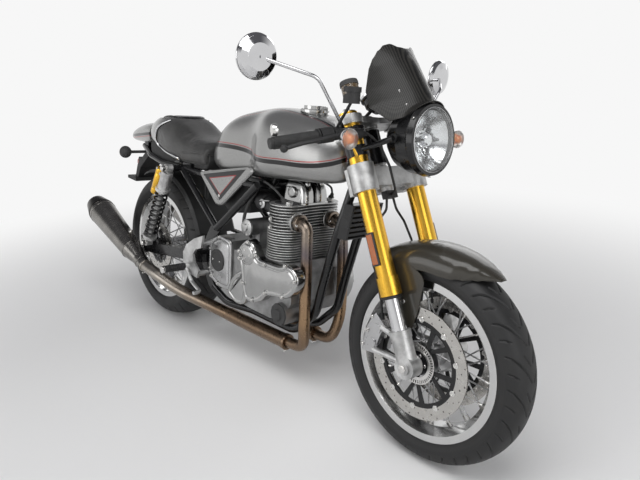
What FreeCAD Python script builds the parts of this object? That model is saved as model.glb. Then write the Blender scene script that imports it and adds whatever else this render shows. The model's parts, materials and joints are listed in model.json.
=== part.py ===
# Cafe racer motorcycle with an air-cooled parallel twin, parked on its side stand.
# It is modelled upright: X forward, Y to the left, Z up, ground at zero, rear axle over X zero.
# The whole machine is then leaned to the left and set over the origin of the part.
import FreeCAD
import Part
import math
import os

Vector = FreeCAD.Vector

# Chassis layout
wheelbase = 1420.0
rake_deg = 24.5
fork_offset = 34.3
lean_deg = 8.0

# Clearances and shared small sizes
running_gap = 0.3
seat_gap = 1.0
cut_overrun = 5.0

# Wheels
front_tyre_r = 300.0
front_tyre_half = 60.0
rear_tyre_r = 315.0
rear_tyre_half = 90.0
bead_r = 216.0
rim_flange_r = 231.0
rim_bed_r = 192.0
rim_flange_thickness = 5.0
front_rim_half = 50.0
rear_rim_half = 76.0
front_hub_half = 44.0
rear_hub_half = 62.0
hub_flange_r = 52.0
hub_barrel_r = 30.0
hub_flange_thickness = 8.0
axle_r = 12.5
axle_bore_r = 8.0
spoke_r = 2.2
front_spoke_count = 36
rear_spoke_count = 36

# Brakes
front_disc_r = 160.0
rear_disc_r = 110.0
disc_thickness = 5.0
disc_band = 34.0
disc_carrier_hole_r = 30.0
front_disc_side = 68.0
rear_disc_side = 92.0

# Front fork
fork_half = 108.0
fork_inner_r = 21.5
fork_outer_r = 27.0
fork_collar_r = 31.0
fork_bottom_r = 30.0
fork_bottom_top = 100.0
fork_bottom_drop = 32.0
fork_collar_low = 197.0
fork_collar_length = 52.0
fork_top = 716.0
lower_clamp_low = 489.0
lower_clamp_height = 78.0
upper_clamp_low = 680.0
upper_clamp_height = 26.0
clamp_wall = 11.0
stem_r = 18.0
head_tube_r = 31.0
head_tube_low = 573.0
head_tube_top = 674.0

# Drive
chain_side = 104.0
chain_width = 18.0
chain_depth = 15.0
rear_sprocket_r = 104.0
front_sprocket_r = 38.0
sprocket_thickness = 7.0

# Frame
frame_tube_r = 14.5
rail_tube_r = 12.0
cradle_half = 50.0
rail_half = 126.0
plate_side = 118.0
plate_thickness = 7.0
pivot_share = 0.3014
pivot_x = wheelbase * pivot_share
pivot_z = 372.0
pivot_tube_r = 17.0
swingarm_side = 135.0
swingarm_width = 26.0

# Shock absorbers
shock_side = 172.0
shock_body_r = 19.0
shock_spring_r = 29.0
shock_eye_r = 15.0
reservoir_r = 17.0

# Engine
case_half = 118.0
barrel_half = 140.0
fin_count = 10
fin_thickness = 3.0
timing_side = 152.0

# Exhaust
header_r = 19.0
collector_r = 26.0
link_pipe_r = 24.0
muffler_rear_r = 60.0
muffler_side = 194.0

# Tank and seat
tank_rear_share = 0.2845
tank_rear_x = wheelbase * tank_rear_share
tank_base_z = 705.0
tank_height = 249.0
tank_half = 146.0
seat_rear_x = -92.0
seat_length = 484.0
seat_base_z = 700.0
seat_height = 180.0
seat_half = 128.0
cowl_length = 265.0
panel_thickness = 6.0
side_panel_half = 118.0

# Front end fittings
lamp_share = 0.9479
lamp_x = wheelbase * lamp_share
lamp_z = 899.0
lamp_bezel_r = 99.0
lamp_lens_r = 85.0
lamp_pitch_deg = 3.8
bar_r = 11.0
bar_up = 655.0
bar_ahead = 66.0
bar_start = 132.0
bar_end = 356.0
bar_sweep_deg = 20.0
grip_r = 16.5
grip_length = 122.0
mirror_r = 57.0
mirror_side = 381.0
indicator_r = 27.0
indicator_side = 235.0


# Direction helpers

rake = math.radians(rake_deg)
steer_up = Vector(-math.sin(rake), 0, math.cos(rake))
steer_ahead = Vector(math.cos(rake), 0, math.sin(rake))
along_x = Vector(1, 0, 0)
along_y = Vector(0, 1, 0)
along_z = Vector(0, 0, 1)
front_axle = Vector(wheelbase, 0, front_tyre_r)
rear_axle = Vector(0, 0, rear_tyre_r)
steer_foot = front_axle - steer_ahead * fork_offset


def on_fork(ahead, side, up):
    """Point given from the foot of the steering axis."""
    return steer_foot + steer_ahead * ahead + along_y * side + steer_up * up


def fork_placement():
    """Frame whose Z runs up the steering axis."""
    return FreeCAD.Placement(steer_foot, FreeCAD.Rotation(along_y, -rake_deg))


def moved(shape, placement):
    result = shape.copy()
    result.Placement = placement.multiply(result.Placement)
    return result


def spot(along, up):
    """Point in the middle plane, in shares of the wheelbase and the seat's height."""
    return Vector(wheelbase * along, 0, seat_base_z * up)


def outline_at(shares):
    """Outline of X and Z, in shares of the wheelbase and the seat's height."""
    return [(wheelbase * along, seat_base_z * up) for along, up in shares]


def shifted(shape, offset):
    result = shape.copy()
    result.translate(offset)
    return result


def mirrored(shape):
    """The same shape on the other side of the machine."""
    return shape.mirror(Vector(0, 0, 0), along_y)


def fused(shapes):
    shapes = [s for s in shapes if s is not None]
    if len(shapes) == 1:
        return shapes[0]
    return shapes[0].multiFuse(shapes[1:]).removeSplitter()


def group(shapes):
    """Solids of one node that stay apart."""
    solids = []
    for shape in shapes:
        solids.extend(shape.Solids)
    return Part.makeCompound(solids)


# Shape helpers

def rod(start, end, radius):
    """Round bar between two points."""
    axis = end - start
    return Part.makeCylinder(radius, axis.Length, start, axis)


def block(x0, x1, y0, y1, z0, z1):
    return Part.makeBox(x1 - x0, y1 - y0, z1 - z0, Vector(x0, y0, z0))


def polygon_face(points):
    return Part.Face(Part.makePolygon(list(points) + [points[0]]))


def plate_xz(outline, side, thickness):
    """Plate cut to an outline of X and Z, centred on one side distance."""
    points = [Vector(x, side - thickness / 2, z) for x, z in outline]
    return polygon_face(points).extrude(along_y * thickness)


def turned(profile, axle, start_deg=0.0, sweep_deg=360.0):
    """Profile of side and radius, turned about an axle along Y."""
    points = [axle + Vector(radius, side, 0) for side, radius in profile]
    face = polygon_face(points)
    if start_deg:
        face.rotate(axle, along_y, -start_deg)
    return face.revolve(axle, along_y * -1, sweep_deg)


def lathe(profile, base, axis):
    """Profile of distance along an axis and radius, turned about that axis."""
    points = [Vector(radius, 0, along) for along, radius in profile]
    solid = polygon_face(points).revolve(Vector(0, 0, 0), along_z, 360)
    turn = FreeCAD.Rotation(along_z, axis)
    return moved(solid, FreeCAD.Placement(base, turn))


bend_reach_share = 0.48
end_reach_share = 0.9


def bent_path(points, bend_r):
    """Straight runs joined by tangent arcs."""
    edges = []
    start = points[0]
    for index in range(1, len(points) - 1):
        corner = points[index]
        before = (points[index - 1] - corner).normalize()
        after = (points[index + 1] - corner).normalize()
        half_turn = (math.pi - before.getAngle(after)) / 2
        reach = bend_r * math.tan(half_turn)
        run_before = (points[index - 1] - corner).Length
        run_after = (points[index + 1] - corner).Length
        share_before = end_reach_share if index == 1 else bend_reach_share
        share_after = end_reach_share if index == len(points) - 2 else bend_reach_share
        reach = min(reach, run_before * share_before, run_after * share_after)
        entry = corner + before * reach
        leave = corner + after * reach
        radius = reach / math.tan(half_turn)
        middle_way = (before + after).normalize()
        middle = corner + middle_way * (radius / math.cos(half_turn) - radius)
        edges.append(Part.LineSegment(start, entry).toShape())
        edges.append(Part.Arc(entry, middle, leave).toShape())
        start = leave
    edges.append(Part.LineSegment(start, points[-1]).toShape())
    return Part.Wire(edges)


def tube(points, radius, bend_r):
    """Solid round tube along a bent path."""
    if len(points) == 2:
        return rod(points[0], points[1], radius)
    path = bent_path(points, bend_r)
    heading = points[1] - points[0]
    circle = Part.Wire(Part.makeCircle(radius, points[0], heading))
    return path.makePipeShell([circle], True, False)


def ring_at(centre, axis, radius, hole_r, thickness):
    """Flat ring centred on a point."""
    start = centre - axis * (thickness / 2)
    outer = Part.makeCylinder(radius, thickness, start, axis)
    inner = Part.makeCylinder(hole_r, thickness, start, axis)
    return outer.cut(inner)


def around(axle, radius, angle_deg, side):
    """Point round an axle, the angle counted from straight ahead and upward."""
    angle = math.radians(angle_deg)
    return axle + Vector(radius * math.cos(angle), side, radius * math.sin(angle))


def section_wire(x, half, low, high, shares):
    """Closed cross-section: a smooth arch over a flat floor."""
    points = [Vector(x, half * side, low + (high - low) * up) for side, up in shares]
    arch = points + [Vector(p.x, -p.y, p.z) for p in reversed(points[:-1])]
    curve = Part.BSplineCurve()
    curve.interpolate(arch)
    floor = Part.LineSegment(arch[-1], arch[0])
    return Part.Wire([curve.toShape(), floor.toShape()])


# Wheels

tyre_outline_shares = [(0.70, 0.0), (1.0, 0.42), (0.93, 0.68), (0.64, 0.90), (0.24, 0.99)]


def build_tyre(axle, radius, half):
    depth = radius - bead_r
    left = [(half * side, bead_r + depth * up) for side, up in tyre_outline_shares]
    right = [(-side, up) for side, up in reversed(left)]
    return turned(left + right, axle)


rim_bed_share = 0.42


def build_rim(axle, half):
    seat_r = bead_r - running_gap
    outer = [
        (half, rim_flange_r),
        (half - rim_flange_thickness, rim_flange_r),
        (half - rim_flange_thickness, seat_r),
    ]
    inner = [(half, seat_r - rim_flange_thickness), (half * rim_bed_share, rim_bed_r)]
    left = inner[::-1] + outer
    right = [(-side, up) for side, up in reversed(left)]
    return turned(left + right, axle)


def build_front_tyre():
    return trim_tyre(build_tyre(front_axle, front_tyre_r, front_tyre_half), front_axle, front_rim_half)


def build_rear_tyre():
    return trim_tyre(build_tyre(rear_axle, rear_tyre_r, rear_tyre_half), rear_axle, rear_rim_half)


def trim_tyre(tyre, axle, rim_half):
    """Take away what the rim flanges fill."""
    inner = rim_half - rim_flange_thickness - running_gap
    top = rim_flange_r + running_gap
    low = bead_r - cut_overrun
    wide = rim_half * 2
    left = turned([(inner, low), (wide, low), (wide, top), (inner, top)], axle)
    right = turned([(-inner, low), (-wide, low), (-wide, top), (-inner, top)], axle)
    return tyre.cut(left).cut(right)


spoke_lead_deg = 46.0
spoke_tip_share = 0.25


def build_spokes(axle, hub_half, rim_half, count):
    """Crossed spokes that run from each hub flange to the rim bed."""
    spokes = []
    spoke_root_r = hub_flange_r - hub_flange_thickness / 2
    for index in range(count):
        side = 1 if index % 2 else -1
        lead = spoke_lead_deg * (1 if index % 4 < 2 else -1)
        angle = 360.0 * index / count
        root = around(axle, spoke_root_r, angle + lead, side * (hub_half - hub_flange_thickness / 2))
        tip = around(axle, rim_bed_r, angle, side * rim_half * spoke_tip_share)
        spokes.append(rod(root, tip, spoke_r))
    return spokes


def build_hub(axle, hub_half, rim_half, count):
    profile = [
        (-hub_half, axle_r + running_gap),
        (-hub_half, hub_flange_r),
        (-hub_half + hub_flange_thickness, hub_flange_r),
        (-hub_half + hub_flange_thickness * 2, hub_barrel_r),
        (hub_half - hub_flange_thickness * 2, hub_barrel_r),
        (hub_half - hub_flange_thickness, hub_flange_r),
        (hub_half, hub_flange_r),
        (hub_half, axle_r + running_gap),
    ]
    barrel = turned(profile, axle)
    spokes = build_spokes(axle, hub_half, rim_half, count)
    bore = rod(
        axle - along_y * hub_half * 2,
        axle + along_y * hub_half * 2,
        axle_r + running_gap,
    )
    rim_room = turned(
        [(-rim_half, rim_bed_r - running_gap), (-rim_half, rim_bed_r * 2),
         (rim_half, rim_bed_r * 2), (rim_half, rim_bed_r - running_gap)],
        axle,
    )
    return fused([barrel] + spokes).cut(bore).cut(rim_room)


def build_front_hub():
    return build_hub(front_axle, front_hub_half, front_rim_half, front_spoke_count)


def build_rear_hub():
    return build_hub(rear_axle, rear_hub_half, rear_rim_half, rear_spoke_count)


carrier_lap = 4.0
carrier_band = 14.0
carrier_arm_count = 5
carrier_arm_width = 22.0
disc_button_r = 7.0
disc_button_lap = 1.5


def build_disc(axle, radius, side, hub_half):
    """Brake disc on a spoked carrier that sits against the hub."""
    facing = 1 if side > 0 else -1
    centre = axle + along_y * side
    band = ring_at(centre, along_y, radius, radius - disc_band, disc_thickness)
    carrier_r = radius - disc_band + carrier_lap
    carrier = ring_at(centre, along_y, carrier_r, carrier_r - carrier_band, disc_thickness)
    boss_start = axle + along_y * (facing * hub_half)
    boss_end = centre + along_y * (facing * disc_thickness / 2)
    boss = rod(boss_start, boss_end, disc_carrier_hole_r)
    arms = []
    for index in range(carrier_arm_count):
        angle = 360.0 * index / carrier_arm_count
        reach = around(axle, carrier_r - carrier_band / 2, angle, side)
        arm = block(0, (reach - centre).Length, -disc_thickness / 2, disc_thickness / 2,
                    -carrier_arm_width / 2, carrier_arm_width / 2)
        turn = FreeCAD.Rotation(along_y, -angle)
        arms.append(moved(arm, FreeCAD.Placement(centre, turn)))
    buttons = []
    for index in range(carrier_arm_count * 2):
        button = around(axle, radius - disc_band + carrier_lap, 180.0 * index / carrier_arm_count, side)
        reach = along_y * (disc_thickness / 2 + disc_button_lap)
        buttons.append(rod(button - reach, button + reach, disc_button_r))
    bore = rod(axle - along_y * radius, axle + along_y * radius, axle_r + running_gap)
    return fused([band, carrier, boss] + arms + buttons).cut(bore)


def build_front_discs():
    right = build_disc(front_axle, front_disc_r, -front_disc_side, front_hub_half)
    return group([right, mirrored(right)])


def build_rear_disc():
    return build_disc(rear_axle, rear_disc_r, -rear_disc_side, rear_hub_half)


sprocket_hole_count = 6
sprocket_hole_share = 0.74
sprocket_hole_r = 14.0


def build_rear_sprocket():
    facing_start = rear_axle + along_y * rear_hub_half
    outer = rear_axle + along_y * (chain_side + sprocket_thickness / 2)
    plate_start = rear_axle + along_y * (chain_side - sprocket_thickness / 2)
    plate = rod(plate_start, outer, rear_sprocket_r)
    boss = rod(facing_start, outer, hub_flange_r)
    holes = []
    for index in range(sprocket_hole_count):
        middle = around(rear_axle, rear_sprocket_r * sprocket_hole_share,
                        360.0 * index / sprocket_hole_count, 0)
        holes.append(rod(middle, middle + along_y * chain_side * 2, sprocket_hole_r))
    bore = rod(rear_axle, rear_axle + along_y * chain_side * 2, axle_r + running_gap)
    return fused([plate, boss]).cut(Part.makeCompound(holes)).cut(bore)


# Fork and steering

def build_fork_outers():
    """Outer tubes held by both clamps, with a thicker collar at the foot."""
    tubes = []
    for side in (-fork_half, fork_half):
        low = on_fork(fork_offset, side, fork_collar_low)
        collar_top = on_fork(fork_offset, side, fork_collar_low + fork_collar_length)
        top = on_fork(fork_offset, side, fork_top)
        body = fused([rod(low, top, fork_outer_r), rod(low, collar_top, fork_collar_r)])
        bore = rod(low, collar_top, fork_inner_r + running_gap)
        tubes.append(body.cut(bore))
    return group(tubes)


def build_fork_inners():
    """Chrome tubes that slide in the outer tubes and stand in the foot castings."""
    tubes = []
    for side in (-fork_half, fork_half):
        low = on_fork(fork_offset, side, fork_bottom_top)
        top = on_fork(fork_offset, side, fork_collar_low + fork_collar_length)
        tubes.append(rod(low, top, fork_inner_r))
    return group(tubes)


fork_bottom_neck = 22.0
foot_lip = 2.0
fork_eye_half = 21.0
axle_head = 6.0


def build_fork_feet():
    """Cast feet with axle clamps, joined by the hollow front axle."""
    feet = []
    for facing in (-1, 1):
        side = fork_half * facing
        low = on_fork(fork_offset, side, 0)
        neck = on_fork(fork_offset, side, fork_bottom_top - fork_bottom_neck)
        top = on_fork(fork_offset, side, fork_bottom_top)
        leg = rod(low, top, fork_bottom_r - foot_lip)
        lip = rod(neck, top, fork_bottom_r)
        eye = rod(
            front_axle + along_y * (side - facing * fork_eye_half),
            front_axle + along_y * (side + facing * fork_eye_half),
            fork_bottom_drop,
        )
        lug = caliper_lug(facing)
        feet.append(fused([leg, lip, eye, lug]))
    axle_start = front_axle - along_y * (fork_half + fork_eye_half + axle_head)
    axle_end = front_axle + along_y * (fork_half + fork_eye_half + axle_head)
    axle = rod(axle_start, axle_end, axle_r)
    heads = [
        rod(axle_start, front_axle - along_y * (fork_half + fork_eye_half), axle_r + axle_head),
        rod(front_axle + along_y * (fork_half + fork_eye_half), axle_end, axle_r + axle_head),
    ]
    bore = rod(axle_start - along_y * cut_overrun, axle_end + along_y * cut_overrun, axle_bore_r)
    return fused(feet + [axle] + heads).cut(bore)


caliper_angle_deg = 163.0
caliper_bolt_spread = 17.0
caliper_bolt_r = 134.0
caliper_lug_r = 9.0
caliper_lug_rise = 62.0
caliper_lug_inset = 8.0


def caliper_lug(facing):
    """Arms from the fork foot to the two bolts of the radial caliper."""
    side = (fork_half - caliper_lug_inset) * facing
    arms = []
    for angle in (caliper_angle_deg - caliper_bolt_spread, caliper_angle_deg + caliper_bolt_spread):
        bolt_spot = around(front_axle, caliper_bolt_r, angle, side)
        root = on_fork(fork_offset, side, caliper_lug_rise if angle < caliper_angle_deg else 0)
        arms.append(rod(root, bolt_spot, caliper_lug_r))
    return fused(arms)


caliper_half = 33.0
caliper_lip = 2.0
caliper_outer_r = 184.0
caliper_spread_deg = 22.0
caliper_edge = 9.0
caliper_piston_r = 15.0
caliper_piston_height = 4.0
caliper_piston_spread_deg = 10.0


def build_front_calipers():
    """Radial calipers that straddle the discs behind the fork feet, with two piston caps a side."""
    calipers = []
    for facing in (-1, 1):
        centre_side = front_disc_side * facing
        inner_r = front_disc_r - disc_band - caliper_lip
        low, high = centre_side - caliper_half, centre_side + caliper_half
        profile = [
            (low, inner_r),
            (low, caliper_outer_r - caliper_edge),
            (low + caliper_edge, caliper_outer_r),
            (high - caliper_edge, caliper_outer_r),
            (high, caliper_outer_r - caliper_edge),
            (high, inner_r),
        ]
        body = turned(profile, front_axle, caliper_angle_deg - caliper_spread_deg, caliper_spread_deg * 2)
        slot = turned(
            [(centre_side - disc_thickness, inner_r - cut_overrun),
             (centre_side - disc_thickness, front_disc_r + cut_overrun),
             (centre_side + disc_thickness, front_disc_r + cut_overrun),
             (centre_side + disc_thickness, inner_r - cut_overrun)],
            front_axle,
        )
        outer_side = centre_side + caliper_half * facing
        caps = []
        for turn in (-caliper_piston_spread_deg, caliper_piston_spread_deg):
            cap = around(front_axle, front_disc_r - disc_band / 2, caliper_angle_deg + turn, outer_side)
            start = cap - along_y * caliper_edge * facing
            caps.append(rod(start, cap + along_y * caliper_piston_height * facing, caliper_piston_r))
        calipers.append(fused([body.cut(slot)] + caps))
    return group(calipers)


clamp_ear_half = 17.0
clamp_ear_inset = 6.0
clamp_waist_share = 0.6
clamp_web_share = 0.15
clamp_slot = 3.0
lower_clamp_rear = 20.0
upper_clamp_rear = 12.0
stem_nut_wall = 4.0
stem_nut_height = 12.0


def clamp_plate(low, height, stem_hole, rear_reach):
    """Fork clamp in fork coordinates: two split bores joined across the stem."""
    bosses = []
    for facing in (-1, 1):
        centre = Vector(fork_offset, fork_half * facing, low)
        bosses.append(Part.makeCylinder(fork_outer_r + clamp_wall, height, centre, along_z))
        ear = block(-rear_reach, fork_offset, -clamp_ear_half, clamp_ear_half, 0, height)
        bosses.append(shifted(ear, Vector(0, (fork_half - clamp_ear_inset) * facing, low)))
    stem_boss = Part.makeCylinder(stem_r + clamp_wall, height, Vector(0, 0, low), along_z)
    outline = [
        Vector(-stem_r, -fork_half * clamp_waist_share, low + height * clamp_web_share),
        Vector(fork_offset - fork_outer_r, -fork_half, low + height * clamp_web_share),
        Vector(fork_offset + fork_outer_r, -fork_half, low + height * clamp_web_share),
        Vector(fork_offset + fork_outer_r * clamp_waist_share, 0, low + height * clamp_web_share),
        Vector(fork_offset + fork_outer_r, fork_half, low + height * clamp_web_share),
        Vector(fork_offset - fork_outer_r, fork_half, low + height * clamp_web_share),
        Vector(-stem_r, fork_half * clamp_waist_share, low + height * clamp_web_share),
    ]
    web = polygon_face(outline).extrude(along_z * height * (1 - 2 * clamp_web_share))
    body = fused(bosses + [stem_boss, web])
    holes = []
    for facing in (-1, 1):
        centre = Vector(fork_offset, fork_half * facing, low - cut_overrun)
        holes.append(Part.makeCylinder(fork_outer_r, height + 2 * cut_overrun, centre, along_z))
        slot = block(-rear_reach - cut_overrun, fork_offset - fork_outer_r + cut_overrun,
                     -clamp_slot / 2, clamp_slot / 2, -cut_overrun, height + cut_overrun)
        holes.append(shifted(slot, Vector(0, (fork_half - clamp_ear_inset) * facing, low)))
    if stem_hole:
        holes.append(Part.makeCylinder(stem_r, height + 2 * cut_overrun,
                                       Vector(0, 0, low - cut_overrun), along_z))
    return body.cut(Part.makeCompound(holes))


def build_lower_clamp():
    """Lower fork clamp with the steering stem standing in it."""
    body = clamp_plate(lower_clamp_low, lower_clamp_height, False, lower_clamp_rear)
    stem_length = upper_clamp_low + upper_clamp_height - lower_clamp_low
    stem = Part.makeCylinder(stem_r, stem_length, Vector(0, 0, lower_clamp_low), along_z)
    return moved(fused([body, stem]), fork_placement())


def build_upper_clamp():
    body = clamp_plate(upper_clamp_low, upper_clamp_height, True, upper_clamp_rear)
    nut_low = upper_clamp_low + upper_clamp_height
    nut = Part.makeCylinder(stem_r + stem_nut_wall, stem_nut_height, Vector(0, 0, nut_low), along_z)
    return moved(group([fused([body, nut])]), fork_placement())


bar_drop_share = 0.03


def bar_point(facing, out):
    """Point on a handlebar, counted outward from the fork centre plane."""
    sweep = math.tan(math.radians(bar_sweep_deg))
    ahead = bar_ahead - (out - bar_start) * sweep
    drop = (out - bar_start) * bar_drop_share
    return on_fork(ahead, out * facing, bar_up - drop)


clip_height = 30.0
bar_root = 12.0
bar_neck = 3.0


def build_clip_ons():
    """Handlebar halves clamped round the fork tubes under the upper clamp."""
    halves = []
    for facing in (-1, 1):
        low = on_fork(fork_offset, fork_half * facing, bar_up - clip_height / 2)
        high = on_fork(fork_offset, fork_half * facing, bar_up + clip_height / 2)
        clamp = rod(low, high, fork_outer_r + clamp_wall)
        bar = rod(bar_point(facing, bar_start - bar_root), bar_point(facing, bar_end), bar_r)
        arm = rod(on_fork(fork_offset, (fork_half + clamp_wall) * facing, bar_up),
                  bar_point(facing, bar_start), bar_r + bar_neck)
        hole = rod(low - steer_up * cut_overrun, high + steer_up * cut_overrun, fork_outer_r)
        halves.append(fused([clamp, bar, arm]).cut(hole))
    return group(halves)


grip_lip = 4.0
bar_weight_length = 10.0


def build_grips():
    """Rubber grips with bar-end weights."""
    grips = []
    for facing in (-1, 1):
        start = bar_point(facing, bar_end - grip_length)
        end = bar_point(facing, bar_end)
        way = (end - start).normalize()
        sleeve = rod(start, end, grip_r)
        lip = rod(start, start + way * grip_lip, grip_r + grip_lip)
        weight = rod(end, end + way * bar_weight_length, grip_r - grip_lip / 2)
        bore = rod(start - way * cut_overrun, end, bar_r)
        grips.append(fused([sleeve, lip, weight]).cut(bore))
    return group(grips)


switch_gap = 3.0
switch_width = 34.0
switch_r = 21.0
perch_width = 22.0
perch_r = 18.0
perch_arm_share = 0.7
cylinder_share = 0.75
lever_stand = 46.0
lever_drop = 16.0
lever_r = 5.5
lever_bend_r = 60.0
lever_ball_share = 1.9
lever_run_shares = [(1.303, 1.0, 1.0), (0.40, 0.91, 1.38), (0.03, 0.70, 1.63)]
cylinder_length = 42.0
cup_r = 22.0
cup_height = 38.0
cup_lip = 2.0
cup_cap_share = 0.35
cup_cap_low_share = 0.75
cup_stay_r = 4.0
cup_ahead = 150.0
cup_side = 205.0
cup_up = 716.0
cup_centre = on_fork(cup_ahead, -cup_side, cup_up)


def perch_out():
    """How far out along the bar the middle of a lever perch sits."""
    return bar_end - grip_length - switch_gap * 2 - switch_width - perch_width / 2


def bar_core(facing):
    return rod(bar_point(facing, bar_start), bar_point(facing, bar_end), bar_r)


def build_switch(facing):
    """Switch housing beside a grip."""
    inner = bar_end - grip_length - switch_gap
    housing = rod(bar_point(facing, inner - switch_width), bar_point(facing, inner), switch_r)
    return housing.cut(bar_core(facing))


def lever_pivot(facing):
    return bar_point(facing, perch_out()) + steer_ahead * lever_stand - steer_up * lever_drop


def build_lever(facing):
    """Perch, master cylinder and ball-ended lever."""
    half = perch_width / 2
    perch = rod(bar_point(facing, perch_out() - half), bar_point(facing, perch_out() + half), perch_r)
    pivot = lever_pivot(facing)
    arm = rod(bar_point(facing, perch_out()), pivot, perch_r * perch_arm_share)
    cylinder = rod(pivot, pivot - along_y * facing * cylinder_length, perch_r * cylinder_share)
    path = [pivot]
    for out, stand, drop in lever_run_shares:
        point = bar_point(facing, bar_end - grip_length * out)
        path.append(point + steer_ahead * lever_stand * stand - steer_up * lever_drop * drop)
    lever = tube(path, lever_r, lever_bend_r)
    ball = Part.makeSphere(lever_r * lever_ball_share, path[-1])
    return fused([perch, arm, cylinder, lever, ball]).cut(bar_core(facing))


def build_reservoir():
    """Brake fluid cup with its cap, on a stay from the right perch."""
    base = cup_centre - along_z * (cup_height / 2)
    cup = Part.makeCylinder(cup_r, cup_height, base, along_z)
    cap = Part.makeCylinder(cup_r + cup_lip, cup_height * cup_cap_share,
                            base + along_z * cup_height * cup_cap_low_share, along_z)
    stay = rod(bar_point(-1, perch_out()) + steer_up * bar_r, base + along_z * cup_stay_r, cup_stay_r)
    return fused([cup, cap, stay])


def build_controls():
    """Switch housings, master cylinders, levers and the brake reservoir."""
    right = fused([build_lever(-1), build_reservoir()])
    return group([build_switch(-1), right, build_switch(1), build_lever(1)])


# Lamp, mirrors, instruments and screen

lamp_depth = 130.0
bezel_depth = 22.0
bezel_lip = 4.0
lens_thickness = 6.0
lens_ledge = 3.0
lamp_outer_shares = [
    (-1.0, 0.0), (-0.99, 0.30), (-0.90, 0.58), (-0.72, 0.80), (-0.45, 0.93), (-0.16, 0.96),
]
lamp_bowl_shares = [(-0.45, 0.78), (-0.72, 0.36), (-0.78, 0.0)]
bezel_face_share = 0.7
lens_dome_shares = [(1.0, 0.7), (1.6, 0.35), (1.8, 0.0)]


def lamp_frame():
    """Placement whose Z runs out of the lens."""
    pitch = math.radians(lamp_pitch_deg)
    ahead = Vector(math.cos(pitch), 0, math.sin(pitch))
    return FreeCAD.Placement(Vector(lamp_x, 0, lamp_z), FreeCAD.Rotation(along_z, ahead))


def build_headlamp():
    """Bowl-shaped shell with a bezel, hollow behind the lens."""
    outer = [(lamp_depth * along, lamp_bezel_r * out) for along, out in lamp_outer_shares]
    rim = [
        (-bezel_depth * bezel_face_share, lamp_bezel_r),
        (0, lamp_bezel_r - bezel_lip),
        (0, lamp_lens_r),
        (-lens_thickness, lamp_lens_r),
        (-lens_thickness, lamp_lens_r - lens_ledge),
    ]
    bowl = [(lamp_depth * along, lamp_lens_r * out) for along, out in lamp_bowl_shares]
    return moved(lathe(outer + rim + bowl, Vector(0, 0, 0), along_z), lamp_frame())


def build_headlamp_lens():
    """Domed lens disc that sits in the bezel."""
    seat_r = lamp_lens_r - running_gap
    back = [(-lens_thickness, 0), (-lens_thickness, seat_r), (0, seat_r)]
    dome = [(lens_thickness * along, lamp_lens_r * out) for along, out in lens_dome_shares]
    return moved(lathe(back + dome, Vector(0, 0, 0), along_z), lamp_frame())


bracket_low = lower_clamp_low + lower_clamp_height
bracket_high = bar_up - clip_height / 2
bracket_up = (bracket_low + bracket_high) / 2
bracket_height_share = 0.41
bracket_height = (bracket_high - bracket_low) * bracket_height_share
bracket_wall = 4.0
bracket_r = 8.0
bracket_pad_share = 0.42
bracket_pad_r = 12.0
bracket_pad_length = 13.0
bracket_pad_inset = 1.0


def build_lamp_brackets():
    """Arms from the fork tubes to the sides of the lamp."""
    pieces = []
    for facing in (-1, 1):
        low = on_fork(fork_offset, fork_half * facing, bracket_up - bracket_height / 2)
        high = on_fork(fork_offset, fork_half * facing, bracket_up + bracket_height / 2)
        band = rod(low, high, fork_outer_r + bracket_wall)
        root = on_fork(fork_offset + fork_outer_r, (fork_half + bracket_wall) * facing, bracket_up)
        pad_side = lamp_bezel_r + bracket_wall
        pad = Vector(lamp_x - lamp_depth * bracket_pad_share, pad_side * facing, lamp_z)
        arm = rod(root, pad, bracket_r)
        inner = pad - along_y * facing * (bracket_pad_length - bracket_pad_inset)
        ear = rod(inner, inner + along_y * facing * bracket_pad_length, bracket_pad_r)
        hole = rod(low - steer_up * cut_overrun, high + steer_up * cut_overrun, fork_outer_r)
        pieces.append(fused([band, arm, ear]).cut(hole))
    return group(pieces)


indicator_body_shares = [
    (-0.90, 0.0), (-0.82, 0.45), (-0.45, 0.86), (-0.05, 1.0), (0.12, 1.0), (0.24, 0.92),
    (0.50, 0.62), (0.60, 0.0),
]
indicator_back_share = 0.66
indicator_stalk_r = 6.0
indicator_root_gap = 22.0
lamp_rise = 5.0
bracket_root_ahead = 16.0


def indicator_body(centre, ahead):
    """Round indicator: a dished body with a domed lens."""
    profile = [(indicator_r * along, indicator_r * out) for along, out in indicator_body_shares]
    return lathe(profile, centre, ahead)


def build_front_indicators():
    """Indicators on stalks beside the lamp."""
    pieces = []
    for facing in (-1, 1):
        back = lamp_depth * indicator_back_share
        centre = Vector(lamp_x - back, indicator_side * facing, lamp_z - lamp_rise)
        root_side = (fork_half + indicator_root_gap) * facing
        root = on_fork(fork_offset + bracket_root_ahead, root_side, bracket_up)
        pieces.append(fused([indicator_body(centre, along_x), rod(root, centre, indicator_stalk_r)]))
    return group(pieces)


mirror_root = 160.0
mirror_stem_r = 5.0
mirror_bend_r = 40.0
mirror_boss_r = 8.0
mirror_boss_height = 6.0
mirror_back_gap = 8.0
mirror_elbow_ahead = 105.0
mirror_elbow_side = 262.0
mirror_elbow_up = 781.0
mirror_ahead = 33.0
mirror_up = 859.0
mirror_elbow = on_fork(mirror_elbow_ahead, mirror_elbow_side, mirror_elbow_up)
mirror_centre = on_fork(mirror_ahead, mirror_side, mirror_up)
mirror_shell_shares = [(0.0, 0.0), (0.0, 0.97), (0.12, 1.0), (0.26, 0.9), (0.38, 0.6), (0.42, 0.0)]
mirror_toe_share = 0.12
mirror_tilt_share = 0.08


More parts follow.
